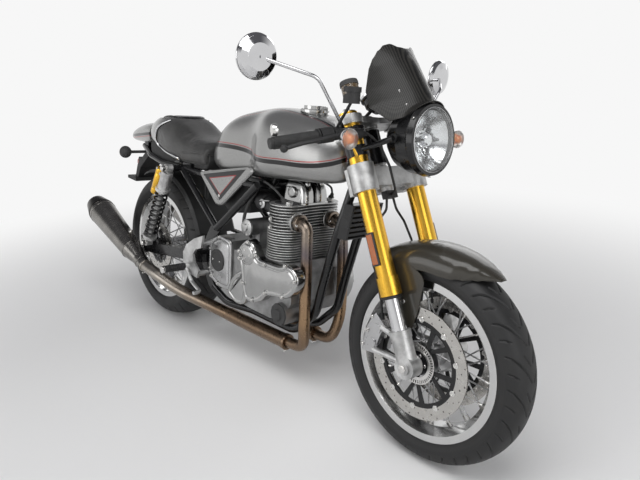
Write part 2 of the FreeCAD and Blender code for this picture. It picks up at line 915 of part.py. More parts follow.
def build_mirrors():
    """Round mirrors on bent stems from the handlebars."""
    pieces = []
    for facing in (-1, 1):
        foot = bar_point(facing, mirror_root) + steer_up * bar_r / 2
        elbow = Vector(mirror_elbow.x, mirror_elbow.y * facing, mirror_elbow.z)
        centre = Vector(mirror_centre.x, mirror_centre.y * facing, mirror_centre.z)
        stem = tube([foot, elbow, centre], mirror_stem_r, mirror_bend_r)
        profile = [(mirror_r * along, mirror_r * out) for along, out in mirror_shell_shares]
        ahead = Vector(1, mirror_toe_share * facing, -mirror_tilt_share)
        dish = lathe(profile, centre - along_x * mirror_back_gap, ahead)
        boss = rod(foot - steer_up * bar_r, foot + steer_up * mirror_boss_height, mirror_boss_r)
        core = rod(bar_point(facing, bar_start - bar_root), bar_point(facing, bar_end), bar_r)
        pieces.append(fused([stem, dish, boss]).cut(core))
    return group(pieces)


gauge_r = 40.0
gauge_depth = 46.0
gauge_side = 47.0
gauge_ahead = 92.0
gauge_tilt_deg = 52.0
gauge_rim = 4.0
gauge_dish = 5.0
gauge_stay_r = 5.0
gauge_foot_ahead = 42.0
gauge_foot_r = 9.0
gauge_foot_height = 5.0


def gauge_axis():
    """The way the dials face: up and back to the rider."""
    tilt = math.radians(gauge_tilt_deg)
    return Vector(-math.cos(tilt), 0, math.sin(tilt))


def gauge_centre(facing):
    return on_fork(gauge_ahead, gauge_side * facing, upper_clamp_low + upper_clamp_height + gauge_r)


def build_gauges():
    """Two round instruments ahead of the upper clamp, each on its own stay."""
    pieces = []
    foot_up = upper_clamp_low + upper_clamp_height * (1 - clamp_web_share)
    for facing in (-1, 1):
        centre = gauge_centre(facing)
        profile = [
            (-gauge_depth, 0), (-gauge_depth, gauge_r / 2), (-gauge_depth / 2, gauge_r - gauge_rim),
            (-gauge_rim * 2, gauge_r - gauge_rim), (-gauge_rim, gauge_r), (0, gauge_r),
            (0, gauge_r - gauge_rim), (-gauge_dish, gauge_r - gauge_rim), (-gauge_dish, 0),
        ]
        foot = on_fork(gauge_foot_ahead, gauge_side * facing, foot_up)
        pad = rod(foot, foot + steer_up * gauge_foot_height, gauge_foot_r)
        back = centre - gauge_axis() * gauge_depth / 2
        stay = rod(foot + steer_up * gauge_foot_height / 2, back, gauge_stay_r)
        pieces.append(fused([lathe(profile, centre, gauge_axis()), stay, pad]))
    return group(pieces)


hose_r = 3.6
hose_bend_r = 30.0
hose_union_r = 7.0
hose_union_length = 14.0
hose_block_ahead = 22.0
hose_block_half = 11.0
hose_block_height = 22.0
leg_hose_shares = [
    (-1.07, 0.82, 0.282), (-0.55, 0.88, 0.382), (-0.30, 0.92, 0.593), (-0.10, 0.62, 0.814),
    (0.45, 0.20, 0.89), (0.64, 0.11, 0.978),
]
lever_hose_shares = [(0.80, 0.0, 0.975), (1.9, 0.20, 0.982), (2.72, 0.52, 1.11), (2.95, 0.78, 1.23)]


def hose_point(share, facing):
    """Point on a hose, in shares of the fork's offset, its half width and the lower clamp's height."""
    ahead, side, up = share
    return on_fork(fork_offset * ahead, fork_half * side * facing, lower_clamp_low * up)


def build_brake_hoses():
    """Hoses from the calipers to a junction under the lower clamp, and on to the brake lever."""
    junction = block(hose_block_ahead - hose_block_half, hose_block_ahead + hose_block_half,
                     -hose_block_half * 2, hose_block_half * 2,
                     lower_clamp_low - hose_block_height, lower_clamp_low)
    hoses = [moved(junction, fork_placement())]
    for facing in (-1, 1):
        path = [hose_point(share, facing) for share in leg_hose_shares]
        hoses.append(tube(path, hose_r, hose_bend_r))
        way = (path[1] - path[0]).normalize()
        hoses.append(rod(path[0] - way * hose_union_length, path[0] + way * hose_union_length, hose_union_r))
    end = lever_pivot(-1) + along_y * cylinder_length
    path = [hose_point(share, -1) for share in lever_hose_shares] + [end + along_y * hose_bend_r, end]
    hoses.append(tube(path, hose_r, hose_bend_r))
    hoses.append(rod(end + along_y * hose_union_length, end, hose_union_r))
    return fused(hoses)


panel_wall = 3.0
screen_low = 642.0
screen_height = 212.0
screen_half = 110.0
screen_front = 240.0
screen_section_shares = [
    (0.0, 1.0, 0.98, 0.717),
    (0.27, 0.967, 1.0, 0.45),
    (0.49, 0.925, 0.96, 0.467),
    (0.75, 0.867, 0.83, 0.608),
    (1.0, 0.79, 0.62, 0.75),
]


def build_fly_screen():
    """Small curved screen over the lamp, swept back at its sides."""
    sections = []
    for up_share, front_share, half_share, back_share in screen_section_shares:
        up = screen_low + screen_height * up_share
        front = screen_front * front_share
        half = screen_half * half_share
        back = screen_front * back_share
        outer = Part.Arc(Vector(back, -half, up), Vector(front, 0, up), Vector(back, half, up))
        inner = Part.Arc(
            Vector(back, half - panel_wall, up),
            Vector(front - panel_wall, 0, up),
            Vector(back, -half + panel_wall, up),
        )
        joins = [
            Part.LineSegment(Vector(back, half, up), Vector(back, half - panel_wall, up)),
            Part.LineSegment(Vector(back, -half + panel_wall, up), Vector(back, -half, up)),
        ]
        sections.append(Part.Wire([outer.toShape(), joins[0].toShape(), inner.toShape(), joins[1].toShape()]))
    shell = moved(Part.makeLoft(sections, True, False), fork_placement())
    room_r = lamp_bezel_r + running_gap
    room = lathe([(-lamp_depth * 2, 0), (-lamp_depth * 2, room_r), (lamp_depth, room_r), (lamp_depth, 0)],
                 Vector(0, 0, 0), along_z)
    return shell.cut(moved(room, lamp_frame()))


fender_skirt_r = 262.0
fender_crown_r = 333.0
fender_half = 75.5
fender_start_deg = 58.0
fender_sweep_deg = 70.0
fender_arch_shares = [(1.0, 0.0), (0.93, 0.48), (0.66, 0.85), (0.24, 1.0)]
fender_tip_half = 24.0
fender_tip_length = 110.0
fender_stay_side = 74.0
fender_stay_shares = [
    (0.9887, 0.6000), (1.0000, 0.7714), (0.9577, 0.8143), (0.8887, 0.7714), (0.9366, 0.6457),
    (0.9521, 0.5314), (0.9718, 0.5257),
]
fender_trim_shares = [
    (0.9803, 0.7257), (1.0423, 0.7943), (1.1408, 0.8343), (1.2394, 0.8343), (1.2394, 0.3714),
    (0.9803, 0.3714),
]
fender_boss_share = (0.9761, 0.5371)
fender_boss_r = 8.0
fender_boss_length = 12.0


def build_front_fender():
    """Short fender that tapers to its tip, with a stay plate down to each fork foot."""
    rise = fender_crown_r - fender_skirt_r
    left = [(fender_half * side, fender_skirt_r + rise * up) for side, up in fender_arch_shares]
    outer = left + [(-side, up) for side, up in reversed(left)]
    inner = [(side - panel_wall * (1 if side > 0 else -1), up - panel_wall) for side, up in reversed(outer)]
    inner[0] = (-fender_half + panel_wall, fender_skirt_r)
    inner[-1] = (fender_half - panel_wall, fender_skirt_r)
    cover = turned(outer + inner, front_axle, fender_start_deg, fender_sweep_deg)
    cover = cover.cut(plate_xz(outline_at(fender_trim_shares), 0, fender_half * 3))
    tip_x = around(front_axle, fender_crown_r, fender_start_deg, 0).x
    for facing in (-1, 1):
        corner = [
            Vector(tip_x - fender_tip_length, (fender_half + running_gap) * facing, 0),
            Vector(tip_x + cut_overrun, fender_tip_half * facing, 0),
            Vector(tip_x + fender_tip_length, fender_tip_half * facing, 0),
            Vector(tip_x + fender_tip_length, fender_half * facing * 2, 0),
            Vector(tip_x - fender_tip_length, fender_half * facing * 2, 0),
        ]
        cover = cover.cut(polygon_face(corner).extrude(along_z * fender_crown_r * 3))
    stays = []
    boss_spot = spot(*fender_boss_share)
    for facing in (-1, 1):
        side = fender_stay_side * facing
        stays.append(plate_xz(outline_at(fender_stay_shares), side, panel_wall))
        start = boss_spot + along_y * side
        stays.append(rod(start, start + along_y * facing * fender_boss_length, fender_boss_r))
    return fused([cover] + stays)


# Shock absorbers

shock_low_share = (0.0380, 0.5057)
shock_high_share = (0.1606, 0.9857)
shock_low = spot(*shock_low_share)
shock_high = spot(*shock_high_share)
shock_eye_width = 26.0
shock_pin_r = 8.0
shock_cup_start = 27.0
shock_cup_height = 14.0
shock_crown_gap = 16.0
shock_crown_height = 80.0
shock_crown_wall = 4.0
shock_collar_height = 12.0
shock_shaft_share = 0.6
shock_shaft_inset_share = 0.9
reservoir_offset = 49.0
reservoir_start = 34.0
reservoir_length = 116.0
reservoir_bridge_r = 13.0


# Frame and chassis

tube_bend_r = 90.0
rail_bend_r = 120.0
downtube_shares = [
    (0.7465, 0.8429), (0.7141, 0.6071), (0.6930, 0.4286), (0.6254, 0.2971), (0.4507, 0.2943),
]
cradle_lift_share = (0.3803, 0.3086)
cradle_end_share = (0.3352, 0.3800)
spine_shares = [(0.7183, 1.1029), (0.5324, 1.0886), (0.5042, 0.9857)]
strut_top_share = (0.5042, 0.9857)
strut_low_share = (0.3556, 0.7143)
stay_top_share = (0.1592, 0.9857)
rail_shares = [
    (0.4930, 0.9829), (0.2676, 0.9743), (0.0423, 0.9857), (-0.0423, 1.0114), (-0.1408, 1.0514),
]
rail_side_shares = [0.98, 1.0, 1.0, 0.92, 0.53]
rail_side = 106.0
spine_side = 38.0
cradle_lift_side = 96.0
downtube_root_side = 18.0
spine_root_side = 14.0
downtube_root_ahead = -22.0
downtube_root_up = 612.0
spine_root_ahead = -16.0
spine_root_up = 636.0
strut_side = 104.0
stay_side = 112.0
pivot_plate_shares = [
    (0.3662, 0.7357), (0.3310, 0.7429), (0.2817, 0.5857), (0.2817, 0.4857), (0.3169, 0.3743),
    (0.3408, 0.3514), (0.3465, 0.3743), (0.3169, 0.4714), (0.3169, 0.6000), (0.3606, 0.6943),
]
seat_post_length = 60.0
seat_post_rear = 6.0
seat_post_share = 0.06
seat_post_drop = 16.0
tail_post_front_x = -150.0
tail_post_length = 32.0
tail_post_half = 66.0
tail_post_low = 722.0
tail_post_high = 753.5
shock_pin_overhang = 16.0
stand_bracket_length = 36.0
stand_bracket_height = 22.0
stand_bracket_drop = 12.0
stand_share = 0.4352
stand_out = 6.0
stand_z = 212.0
stand_pivot = Vector(wheelbase * stand_share, plate_side + stand_out, stand_z)
stand_fold_rear = 225.0
stand_fold_out = 20.0
stand_fold_rise = 30.0
stand_folded = Vector(-stand_fold_rear, stand_fold_out, stand_fold_rise)
stand_leg_r = 11.0
stand_hub_wall = 5.0
stand_hub_half = 14.0
stand_foot_r = 14.0
stand_foot_ahead = 82.0
stand_reach = 262.0
stand_sweep_gap = 5.0


def leaned_height(side, height):
    """Height over the ground once the machine leans to the left."""
    lean = math.radians(lean_deg)
    return height * math.cos(lean) - side * math.sin(lean)


def ground_height():
    """Lowest point of the rear tyre once it leans."""
    depth = rear_tyre_r - bead_r
    rims = [(rear_tyre_half * side, bead_r + depth * up) for side, up in tyre_outline_shares]
    return min(leaned_height(side, rear_tyre_r - radius) for side, radius in rims)


def stand_foot():
    """Centre of the stand's round foot, which just meets the ground."""
    lean = math.radians(lean_deg)
    height = (ground_height() + stand_foot_r + stand_reach * math.sin(lean)) / math.cos(lean)
    return Vector(stand_pivot.x + stand_foot_ahead, stand_reach, height)


def stand_axis():
    """Tilted pivot that tucks the leg back along the frame."""
    return (stand_foot() - stand_pivot).cross(stand_folded).normalize()


def side_tube(path, radius, bend_r):
    """The same tube on both sides of the machine."""
    right = tube([Vector(x, -y, z) for x, y, z in path], radius, bend_r)
    return [right, mirrored(right)]


def shared_path(shares, sides):
    """Tube points from shares of the wheelbase and the seat's height, at given distances from the middle."""
    return [(wheelbase * along, side, seat_base_z * up) for (along, up), side in zip(shares, sides)]


def build_cradle():
    """Down tubes that turn under the engine and end at the pivot plates."""
    low = on_fork(downtube_root_ahead, 0, downtube_root_up)
    root = [(low.x, downtube_root_side, low.z)]
    down = shared_path(downtube_shares, [cradle_half] * len(downtube_shares))
    end = shared_path([cradle_lift_share, cradle_end_share], [cradle_lift_side, plate_side])
    return side_tube(root + down + end, frame_tube_r, tube_bend_r)


def build_spine():
    high = on_fork(spine_root_ahead, 0, spine_root_up)
    root = [(high.x, spine_root_side, high.z)]
    rear = shared_path(spine_shares, [spine_side] * len(spine_shares))
    return side_tube(root + rear, frame_tube_r, tube_bend_r)


def build_rear_frame():
    """Struts to the pivot plates, seat rails and the stays that brace them."""
    tubes = side_tube(shared_path([strut_top_share, strut_low_share], [strut_side, rail_half]), frame_tube_r,
                      tube_bend_r)
    sides = [rail_side * share for share in rail_side_shares]
    tubes += side_tube(shared_path(rail_shares, sides), rail_tube_r, rail_bend_r)
    tubes += side_tube(shared_path([stay_top_share, strut_low_share], [stay_side, rail_half]), rail_tube_r,
                       rail_bend_r)
    return tubes


def build_cross_members():
    """Tubes and pads that join the two sides, and the plates for the swinging arm."""
    cradle_rear = spot(*downtube_shares[-1])
    strut_top = spot(*strut_top_share)
    pin_half = shock_side + shock_pin_overhang
    bridge_half = shock_side - shock_eye_width / 2 - seat_gap
    seat_post_top = seat_base_z + seat_height * seat_post_share - running_gap
    rail_low = seat_base_z - seat_post_drop
    pieces = [
        rod(cradle_rear - along_y * cradle_half, cradle_rear + along_y * cradle_half, rail_tube_r),
        rod(strut_top - along_y * strut_side, strut_top + along_y * strut_side, frame_tube_r),
        rod(shock_high - along_y * bridge_half, shock_high + along_y * bridge_half, rail_tube_r),
        rod(shock_high - along_y * pin_half, shock_high + along_y * pin_half, shock_pin_r),
        block(shock_high.x - seat_post_rear, shock_high.x - seat_post_rear + seat_post_length,
              -rail_side, rail_side, rail_low, seat_post_top),
        block(tail_post_front_x - tail_post_length, tail_post_front_x, -tail_post_half, tail_post_half,
              tail_post_low, tail_post_high),
    ]
    for side in (-plate_side, plate_side):
        pieces.append(plate_xz(outline_at(pivot_plate_shares), side, plate_thickness))
    bracket_z = stand_pivot.z - stand_bracket_drop
    arm = block(stand_pivot.x - stand_bracket_length / 2, stand_pivot.x + stand_bracket_length / 2,
                cradle_half, stand_pivot.y - stand_leg_r - stand_sweep_gap,
                bracket_z, bracket_z + stand_bracket_height)
    return pieces + [arm]


def build_frame():
    """Duplex cradle, spine tubes, seat rails, struts and pivot plates."""
    head = rod(on_fork(0, 0, head_tube_low), on_fork(0, 0, head_tube_top), head_tube_r)
    body = fused([head] + build_cradle() + build_spine() + build_rear_frame() + build_cross_members())
    bore = rod(on_fork(0, 0, head_tube_low - cut_overrun), on_fork(0, 0, head_tube_top + cut_overrun),
               stem_r + running_gap)
    hub_reach = stand_axis() * stand_hub_half * 2
    hub_room_r = stand_leg_r + stand_hub_wall + running_gap
    stand_seat = rod(stand_pivot - hub_reach, stand_pivot + hub_reach, hub_room_r)
    pivot = Vector(pivot_x, 0, pivot_z)
    reach = along_y * rail_half * 2
    pivot_hole = rod(pivot - reach, pivot + reach, pivot_tube_r + running_gap)
    return body.cut(bore).cut(pivot_hole).cut(stand_seat)


arm_outline_shares = [
    (-0.0239, 0.4257), (-0.0239, 0.4771), (0.0211, 0.4886), (0.2887, 0.5629), (0.3141, 0.5543),
    (0.3141, 0.5086), (0.2887, 0.5000), (0.0211, 0.4257),
]
shock_lug_shares = [(0.0141, 0.4714), (0.0648, 0.4857), (0.0507, 0.5229), (0.0282, 0.5229)]
arm_brace_x = 344.0
arm_brace_length = 28.0
arm_brace_low = 366.0
arm_brace_height = 18.0
axle_overhang = 20.0
pivot_overhang = 16.0
axle_nut_height = 10.0
axle_nut_wall = 8.0


def build_swingarm():
    """Box-section swinging arm with axle ends, pivot tube and shock lugs."""
    arms = []
    for facing in (-1, 1):
        side = swingarm_side * facing
        arms.append(plate_xz(outline_at(arm_outline_shares), side, swingarm_width))
        arms.append(plate_xz(outline_at(shock_lug_shares), side, swingarm_width))
        lug_start = shock_low + along_y * (swingarm_side - swingarm_width / 2) * facing
        lug_end = shock_low + along_y * (shock_side + shock_pin_overhang) * facing
        arms.append(rod(lug_start, lug_end, shock_pin_r))
    pivot = Vector(pivot_x, 0, pivot_z)
    reach = along_y * (swingarm_side + pivot_overhang)
    cross = [
        rod(pivot - reach, pivot + reach, pivot_tube_r),
        block(arm_brace_x, arm_brace_x + arm_brace_length, -swingarm_side, swingarm_side, arm_brace_low,
              arm_brace_low + arm_brace_height),
    ]
    end = along_y * (swingarm_side + axle_overhang)
    nut = along_y * axle_nut_height
    cross.append(rod(rear_axle - end, rear_axle + end, axle_r))
    cross.append(rod(rear_axle - end, rear_axle - end + nut, axle_r + axle_nut_wall))
    cross.append(rod(rear_axle + end - nut, rear_axle + end, axle_r + axle_nut_wall))
    holes = []
    for facing in (-1, 1):
        mouth = bobbin_mouth(facing)
        holes.append(rod(mouth - along_y * bobbin_depth * facing, mouth, bobbin_r))
    return fused(arms + cross).cut(Part.makeCompound(holes))


bobbin_x = 96.0
bobbin_z = 318.0
bobbin_r = 4.0
bobbin_depth = 20.0


def bobbin_mouth(facing):
    """Mouth of the threaded hole for a paddock-stand bobbin."""
    return Vector(bobbin_x, (swingarm_side + swingarm_width / 2) * facing, bobbin_z)


def build_shocks():
    """Shock bodies with eyes at both ends and a piggyback reservoir."""
    pieces = []
    crown_low = shock_crown_gap + shock_crown_height
    collar_low = crown_low + shock_collar_height
    inset = shock_eye_r * shock_shaft_inset_share
    shaft_r = shock_body_r * shock_shaft_share
    for facing in (-1, 1):
        low = shock_low + along_y * shock_side * facing
        high = shock_high + along_y * shock_side * facing
        way = (high - low).normalize()
        bore_r = shock_pin_r + running_gap
        lower_eye = ring_at(low, along_y, shock_eye_r, bore_r, shock_eye_width)
        upper_eye = ring_at(high, along_y, shock_eye_r, bore_r, shock_eye_width)
        shaft = rod(low + way * inset, high - way * inset, shaft_r)
        cup_start = low + way * shock_cup_start
        cup = rod(cup_start, cup_start + way * shock_cup_height, shock_spring_r)
        crown = rod(high - way * crown_low, high - way * shock_crown_gap, shock_body_r + shock_crown_wall)
        collar = rod(high - way * collar_low, high - way * crown_low, shock_spring_r)
        back = Vector(-way.z, 0, way.x) * reservoir_offset
        reservoir_top = high - way * reservoir_start + back
        canister = rod(reservoir_top - way * reservoir_length, reservoir_top, reservoir_r)
        bridge_base = high - way * (reservoir_start + shock_crown_gap)
        bridge = rod(bridge_base, bridge_base + back, reservoir_bridge_r)
        pieces.append(fused([lower_eye, upper_eye, shaft, cup, crown, collar, canister, bridge]))
    return group(pieces)


spring_turns = 8
spring_wire = 5.0
spring_crest = 1.0
spring_rib_shares = [(0.0, 0.0), (0.25, 1.0), (0.55, 1.0), (0.8, 0.0)]


def build_springs():
    """Coil springs round the shock bodies, as ribbed sleeves."""
    pieces = []
    root_r = shock_spring_r - spring_crest - spring_wire
    for facing in (-1, 1):
        low = shock_low + along_y * shock_side * facing
        high = shock_high + along_y * shock_side * facing
        way = (high - low).normalize()
        start = shock_cup_start + shock_cup_height
        below = shock_crown_gap + shock_crown_height + shock_collar_height
        length = (high - low).Length - below - start
        turn = length / spring_turns
        sleeve_r = shock_body_r * shock_shaft_share + running_gap
        profile = [(0, sleeve_r)]
        for index in range(spring_turns):
            for along, out in spring_rib_shares:
                profile.append((turn * (index + along), root_r + spring_wire * out))
        profile += [(length, root_r), (length, sleeve_r)]
        pieces.append(lathe(profile, low + way * start, way))
    return group(pieces)


# Engine

barrel_rear_share = 0.5507
barrel_front_share = 0.638
barrel_rear_x = wheelbase * barrel_rear_share
barrel_front_x = wheelbase * barrel_front_share
barrel_low_z = 462.0
barrel_high_z = 572.0
head_high_z = 650.0
fin_depth = 16.0
fin_corner = 18.0
crankcase_shares = [
    (0.4254, 0.3743), (0.4254, 0.6286), (0.5352, 0.6600), (0.6444, 0.6600), (0.6585, 0.6143),
    (0.6585, 0.4714), (0.6268, 0.3771), (0.5845, 0.3571), (0.4930, 0.3571),
]
sump_shares = [(0.4648, 0.3200), (0.4648, 0.3743), (0.6056, 0.3743), (0.5915, 0.3200)]
sump_gap = 4.0
starter_share = (0.4606, 0.7571)
starter_r = 30.0
starter_half = 96.0
starter_saddle_half = 22.0
starter_left_share = 0.6
starter_cap_length = 6.0
filter_share = (0.6289, 0.4086)
filter_r = 38.0
filter_start = 60.0
filter_overhang = 14.0


def build_crankcase():
    """Crankcase with its sump, the starter motor on top and the oil filter low in front."""
    case = plate_xz(outline_at(crankcase_shares), 0, case_half * 2)
    sump = plate_xz(outline_at(sump_shares), 0, (cradle_half - frame_tube_r - sump_gap) * 2)
    starter = spot(*starter_share)
    starter_left = along_y * starter_half * starter_left_share
    motor = rod(starter - along_y * starter_half, starter + starter_left, starter_r)
    cap_end = starter - along_y * (starter_half + starter_cap_length)
    cap = rod(cap_end, starter, starter_r - starter_cap_length)
    saddle = block(starter.x - starter_saddle_half, starter.x + starter_saddle_half,
                   -starter_half * starter_left_share, starter_half * starter_left_share,
                   starter.z - starter_r * 3, starter.z)
    middle = spot(*filter_share)
    filter_end = middle - along_y * (case_half + filter_overhang)
    can = rod(middle - along_y * filter_start, filter_end, filter_r)
    return fused([case, sump, motor, cap, saddle, can])


gearbox_shares = [
    (0.3211, 0.4714), (0.3310, 0.4286), (0.3662, 0.4000), (0.4246, 0.4000), (0.4246, 0.6714),
    (0.3662, 0.6800), (0.3310, 0.6429), (0.3211, 0.6000),
]
gearbox_half = 82.0
gearbox_offset = 8.0
gearbox_cover = 36.0
oval_cap_share = (0.3655, 0.5443)
oval_cap_r = 40.0
oval_cap_height = 6.0


def build_gearbox():
    """Gearbox with a stepped right cover and its round black cap."""
    outline = outline_at(gearbox_shares)
    body = plate_xz(outline, -gearbox_offset, gearbox_half * 2)
    right = gearbox_half + gearbox_offset
    cover = plate_xz(outline, -right - gearbox_cover / 2, gearbox_cover)
    centre = spot(*oval_cap_share)
    cap_reach = along_y * (gearbox_cover + oval_cap_height)
    cap = rod(centre - along_y * right, centre - along_y * right - cap_reach, oval_cap_r)
    return fused([body, cover, cap])


def cornered_slab(x0, x1, half, corner, z, thickness):
    """Fin with chamfered corners."""
    points = [
        Vector(x0 + corner, -half, z), Vector(x1 - corner, -half, z),
        Vector(x1, -half + corner, z), Vector(x1, half - corner, z),
        Vector(x1 - corner, half, z), Vector(x0 + corner, half, z),
        Vector(x0, half - corner, z), Vector(x0, -half + corner, z),
    ]
    return polygon_face(points).extrude(along_z * thickness)


def build_cylinder_block():
    """Barrels with cooling fins stacked at an even pitch."""
    core = cornered_slab(barrel_rear_x + fin_depth, barrel_front_x - fin_depth, barrel_half - fin_depth,
                         fin_corner, barrel_low_z, barrel_high_z - barrel_low_z)
    pitch = (barrel_high_z - barrel_low_z) / fin_count
    fins = [core]
    for index in range(fin_count):
        low = barrel_low_z + pitch * (index + 0.5) - fin_thickness / 2
        fins.append(cornered_slab(barrel_rear_x, barrel_front_x, barrel_half, fin_corner, low, fin_thickness))
    return fused(fins)


head_inset = 8.0
head_fin_depth = 16.0
head_groove_count = 4
head_groove_height = 6.0
head_port_r = 31.0
head_port_length = 10.0


def build_cylinder_head():
    """Finned head with a stub round each exhaust port."""
    core = cornered_slab(barrel_rear_x + head_inset, barrel_front_x - head_inset, barrel_half - head_inset,
                         fin_corner, barrel_high_z, head_high_z - barrel_high_z)
    grooves = []
    pitch = (head_high_z - barrel_high_z) / head_groove_count
    deep = head_inset + head_fin_depth
    for index in range(1, head_groove_count):
        low = barrel_high_z + pitch * index - head_groove_height / 2
        ring = cornered_slab(barrel_rear_x - head_inset, barrel_front_x + head_inset,
                             barrel_half + head_inset, fin_corner, low, head_groove_height)
        hub = cornered_slab(barrel_rear_x + deep, barrel_front_x - deep, barrel_half - deep, fin_corner, low,
                            head_groove_height)
        grooves.append(ring.cut(hub))
    stubs = []
    for facing in (-1, 1):
        port = exhaust_port(facing)
        mouth = port - along_x * head_port_length / 2
        stubs.append(rod(port - along_x * head_fin_depth * 2, mouth, head_port_r))
    return fused([core.cut(Part.makeCompound(grooves))] + stubs)


port_side = 74.0
port_share = (0.6380, 0.8457)


def exhaust_port(facing):
    """Middle of an exhaust port's mouth on the front of the head."""
    return spot(*port_share) + along_y * port_side * facing


rocker_half = 56.0
rocker_front_gap = 2.0
rocker_length = 118.0
rocker_height = 78.0
rocker_round = 24.0
rocker_rim = 5.0


def build_rocker_cover():
    """Rounded rocker cover on a thin flange."""
    front = barrel_front_x - rocker_front_gap
    box = block(front - rocker_length, front, -rocker_half, rocker_half,
                head_high_z, head_high_z + rocker_height)
    edges = [edge for edge in box.Edges if edge.BoundBox.ZMax > head_high_z + running_gap]
    body = box.makeFillet(rocker_round, edges)
    flange = cornered_slab(front - rocker_length - rocker_rim, front + rocker_rim / 2,
                           rocker_half + rocker_rim, rocker_round, head_high_z, rocker_rim)
    return fused([body, flange])


cover_round = 6.0
timing_shares = [
    (0.4768, 0.6600), (0.4930, 0.6986), (0.5141, 0.7257), (0.5338, 0.7114), (0.5465, 0.6771),
    (0.5620, 0.6529), (0.5887, 0.6500), (0.6380, 0.6529), (0.6662, 0.6700), (0.6901, 0.6543),
    (0.7021, 0.6114), (0.6866, 0.5471), (0.6606, 0.5086), (0.6296, 0.5000), (0.5930, 0.4829),
    (0.5718, 0.4443), (0.5394, 0.4186), (0.5099, 0.4243), (0.4958, 0.4929), (0.4887, 0.5714),
    (0.4782, 0.6229),
]
timing_lobe_shares = [
    (0.4408, 0.5014), (0.4169, 0.4000), (0.4613, 0.3571), (0.4958, 0.3743), (0.5042, 0.4714),
    (0.4958, 0.5714),
]
timing_lobe_depth = 20.0
timing_disc_share = (0.5176, 0.6543)
timing_disc_r = 36.0
timing_disc_height = 5.0


def smooth_cover(outline, side, thickness):
    """Cover with a flowing outline and a rounded outer edge; a negative thickness runs to the right."""
    curve = Part.BSplineCurve()
    curve.interpolate([Vector(x, side, z) for x, z in outline], PeriodicFlag=True)
    body = Part.Face(Part.Wire(curve.toShape())).extrude(along_y * thickness)
    outer = side + thickness
    edges = []
    for edge in body.Edges:
        span = edge.BoundBox
        if max(abs(span.YMin - outer), abs(span.YMax - outer)) < running_gap:
            edges.append(edge)
    return body.makeFillet(cover_round, edges)


def build_timing_cover():
    """Right-hand polished engine cover with a raised disc and a lower lobe behind it."""
    cover = smooth_cover(outline_at(timing_shares), -case_half, case_half - timing_side)
    lobe = plate_xz(outline_at(timing_lobe_shares), -case_half - timing_lobe_depth / 2, timing_lobe_depth)
    centre = spot(*timing_disc_share)
    disc_end = centre - along_y * (timing_side + timing_disc_height)
    disc = rod(centre - along_y * case_half, disc_end, timing_disc_r)
    return fused([cover, lobe, disc])


primary_shares = [
    (0.4310, 0.5314), (0.4352, 0.4357), (0.4683, 0.3771), (0.5352, 0.3657), (0.6141, 0.3800),
    (0.6606, 0.4457), (0.6746, 0.5314), (0.6648, 0.6057), (0.6338, 0.6457), (0.5634, 0.6457),
    (0.4930, 0.6371), (0.4493, 0.6114),
]
primary_cover_depth = 34.0
primary_dome_share = (0.6113, 0.5200)
primary_dome_r = 70.0
primary_dome_height = 12.0


def build_primary_cover():
    """Left-hand engine cover over the primary drive and alternator."""
    cover = smooth_cover(outline_at(primary_shares), case_half, primary_cover_depth)
    centre = spot(*primary_dome_share) + along_y * case_half
    dome = rod(centre, centre + along_y * (primary_cover_depth + primary_dome_height), primary_dome_r)
    return fused([cover, dome])


throttle_side = 62.0
throttle_r = 26.0
throttle_band_r = 33.0
throttle_band_length = 34.0
throttle_band_share = 0.45
throttle_front_share = (0.5563, 0.8786)
throttle_rear_share = (0.4577, 0.9143)
air_box_shares = [
    (0.4648, 0.9600), (0.4577, 0.8286), (0.3732, 0.8000), (0.2958, 0.8857), (0.2958, 0.9600),
]
air_box_half = 84.0


def build_intake():
    """Two throttle bodies with air trumpets behind the head and an air box."""
    pieces = [plate_xz(outline_at(air_box_shares), 0, air_box_half * 2)]
    for facing in (-1, 1):
        start = spot(*throttle_front_share) + along_y * throttle_side * facing
        end = spot(*throttle_rear_share) + along_y * throttle_side * facing
        pieces.append(rod(start, end, throttle_r))
        middle = start + (end - start) * throttle_band_share
        pieces.append(rod(middle, middle + (end - start).normalize() * throttle_band_length, throttle_band_r))
    return fused(pieces)


cooler_shares = [(0.7556, 0.8257), (0.7718, 0.9829), (0.7986, 0.9829), (0.7824, 0.8257)]
cooler_half = 66.0
cooler_fin_count = 7
cooler_fin_gap = 7.0
cooler_fin_depth = 9.0


def build_oil_cooler():
    """Finned oil cooler on the front of the down tubes."""
    body = plate_xz(outline_at(cooler_shares), 0, cooler_half * 2)
    low, high = spot(*cooler_shares[3]), spot(*cooler_shares[2])
    slope = (high - low).normalize()
    inward = Vector(-slope.z, 0, slope.x) * cooler_fin_depth
    pitch = (high - low) * (1 / cooler_fin_count)
    slots = []
    width = (cooler_half - cooler_fin_gap) * 2
    for index in range(cooler_fin_count):
        base = low + pitch * (index + 0.5) - slope * cooler_fin_gap / 2
        corners = [base - inward, base + inward, base + inward + slope * cooler_fin_gap,
                   base - inward + slope * cooler_fin_gap]
        slots.append(plate_xz([(corner.x, corner.z) for corner in corners], 0, width))
    return body.cut(Part.makeCompound(slots))


# Exhaust

header_side = 84.0
header_bend_r = 60.0
header_flange_r = 29.0
header_flange_length = 12.0
header_shares = [
    (0.6690, 0.8371), (0.6775, 0.6143), (0.6817, 0.3600), (0.6690, 0.2400), (0.5986, 0.2314),
]
header_side_shares = [0.93, 1.0, 1.0, 0.76, 0.786]
collector_shares = [(0.5986, 0.2314), (0.4507, 0.2286), (0.3887, 0.2343)]
collector_side_shares = [0.786, 0.905, 1.0]
collector_bend_r = 200.0
link_shares = [
    (0.3887, 0.2343), (0.3028, 0.2486), (0.1972, 0.2800), (0.1056, 0.3514), (0.0141, 0.3743),
]
link_side_shares = [0.433, 0.546, 0.773, 1.0, 1.0]
link_bend_r = 160.0
collector_clamp_r = 28.0
collector_clamp_length = 24.0


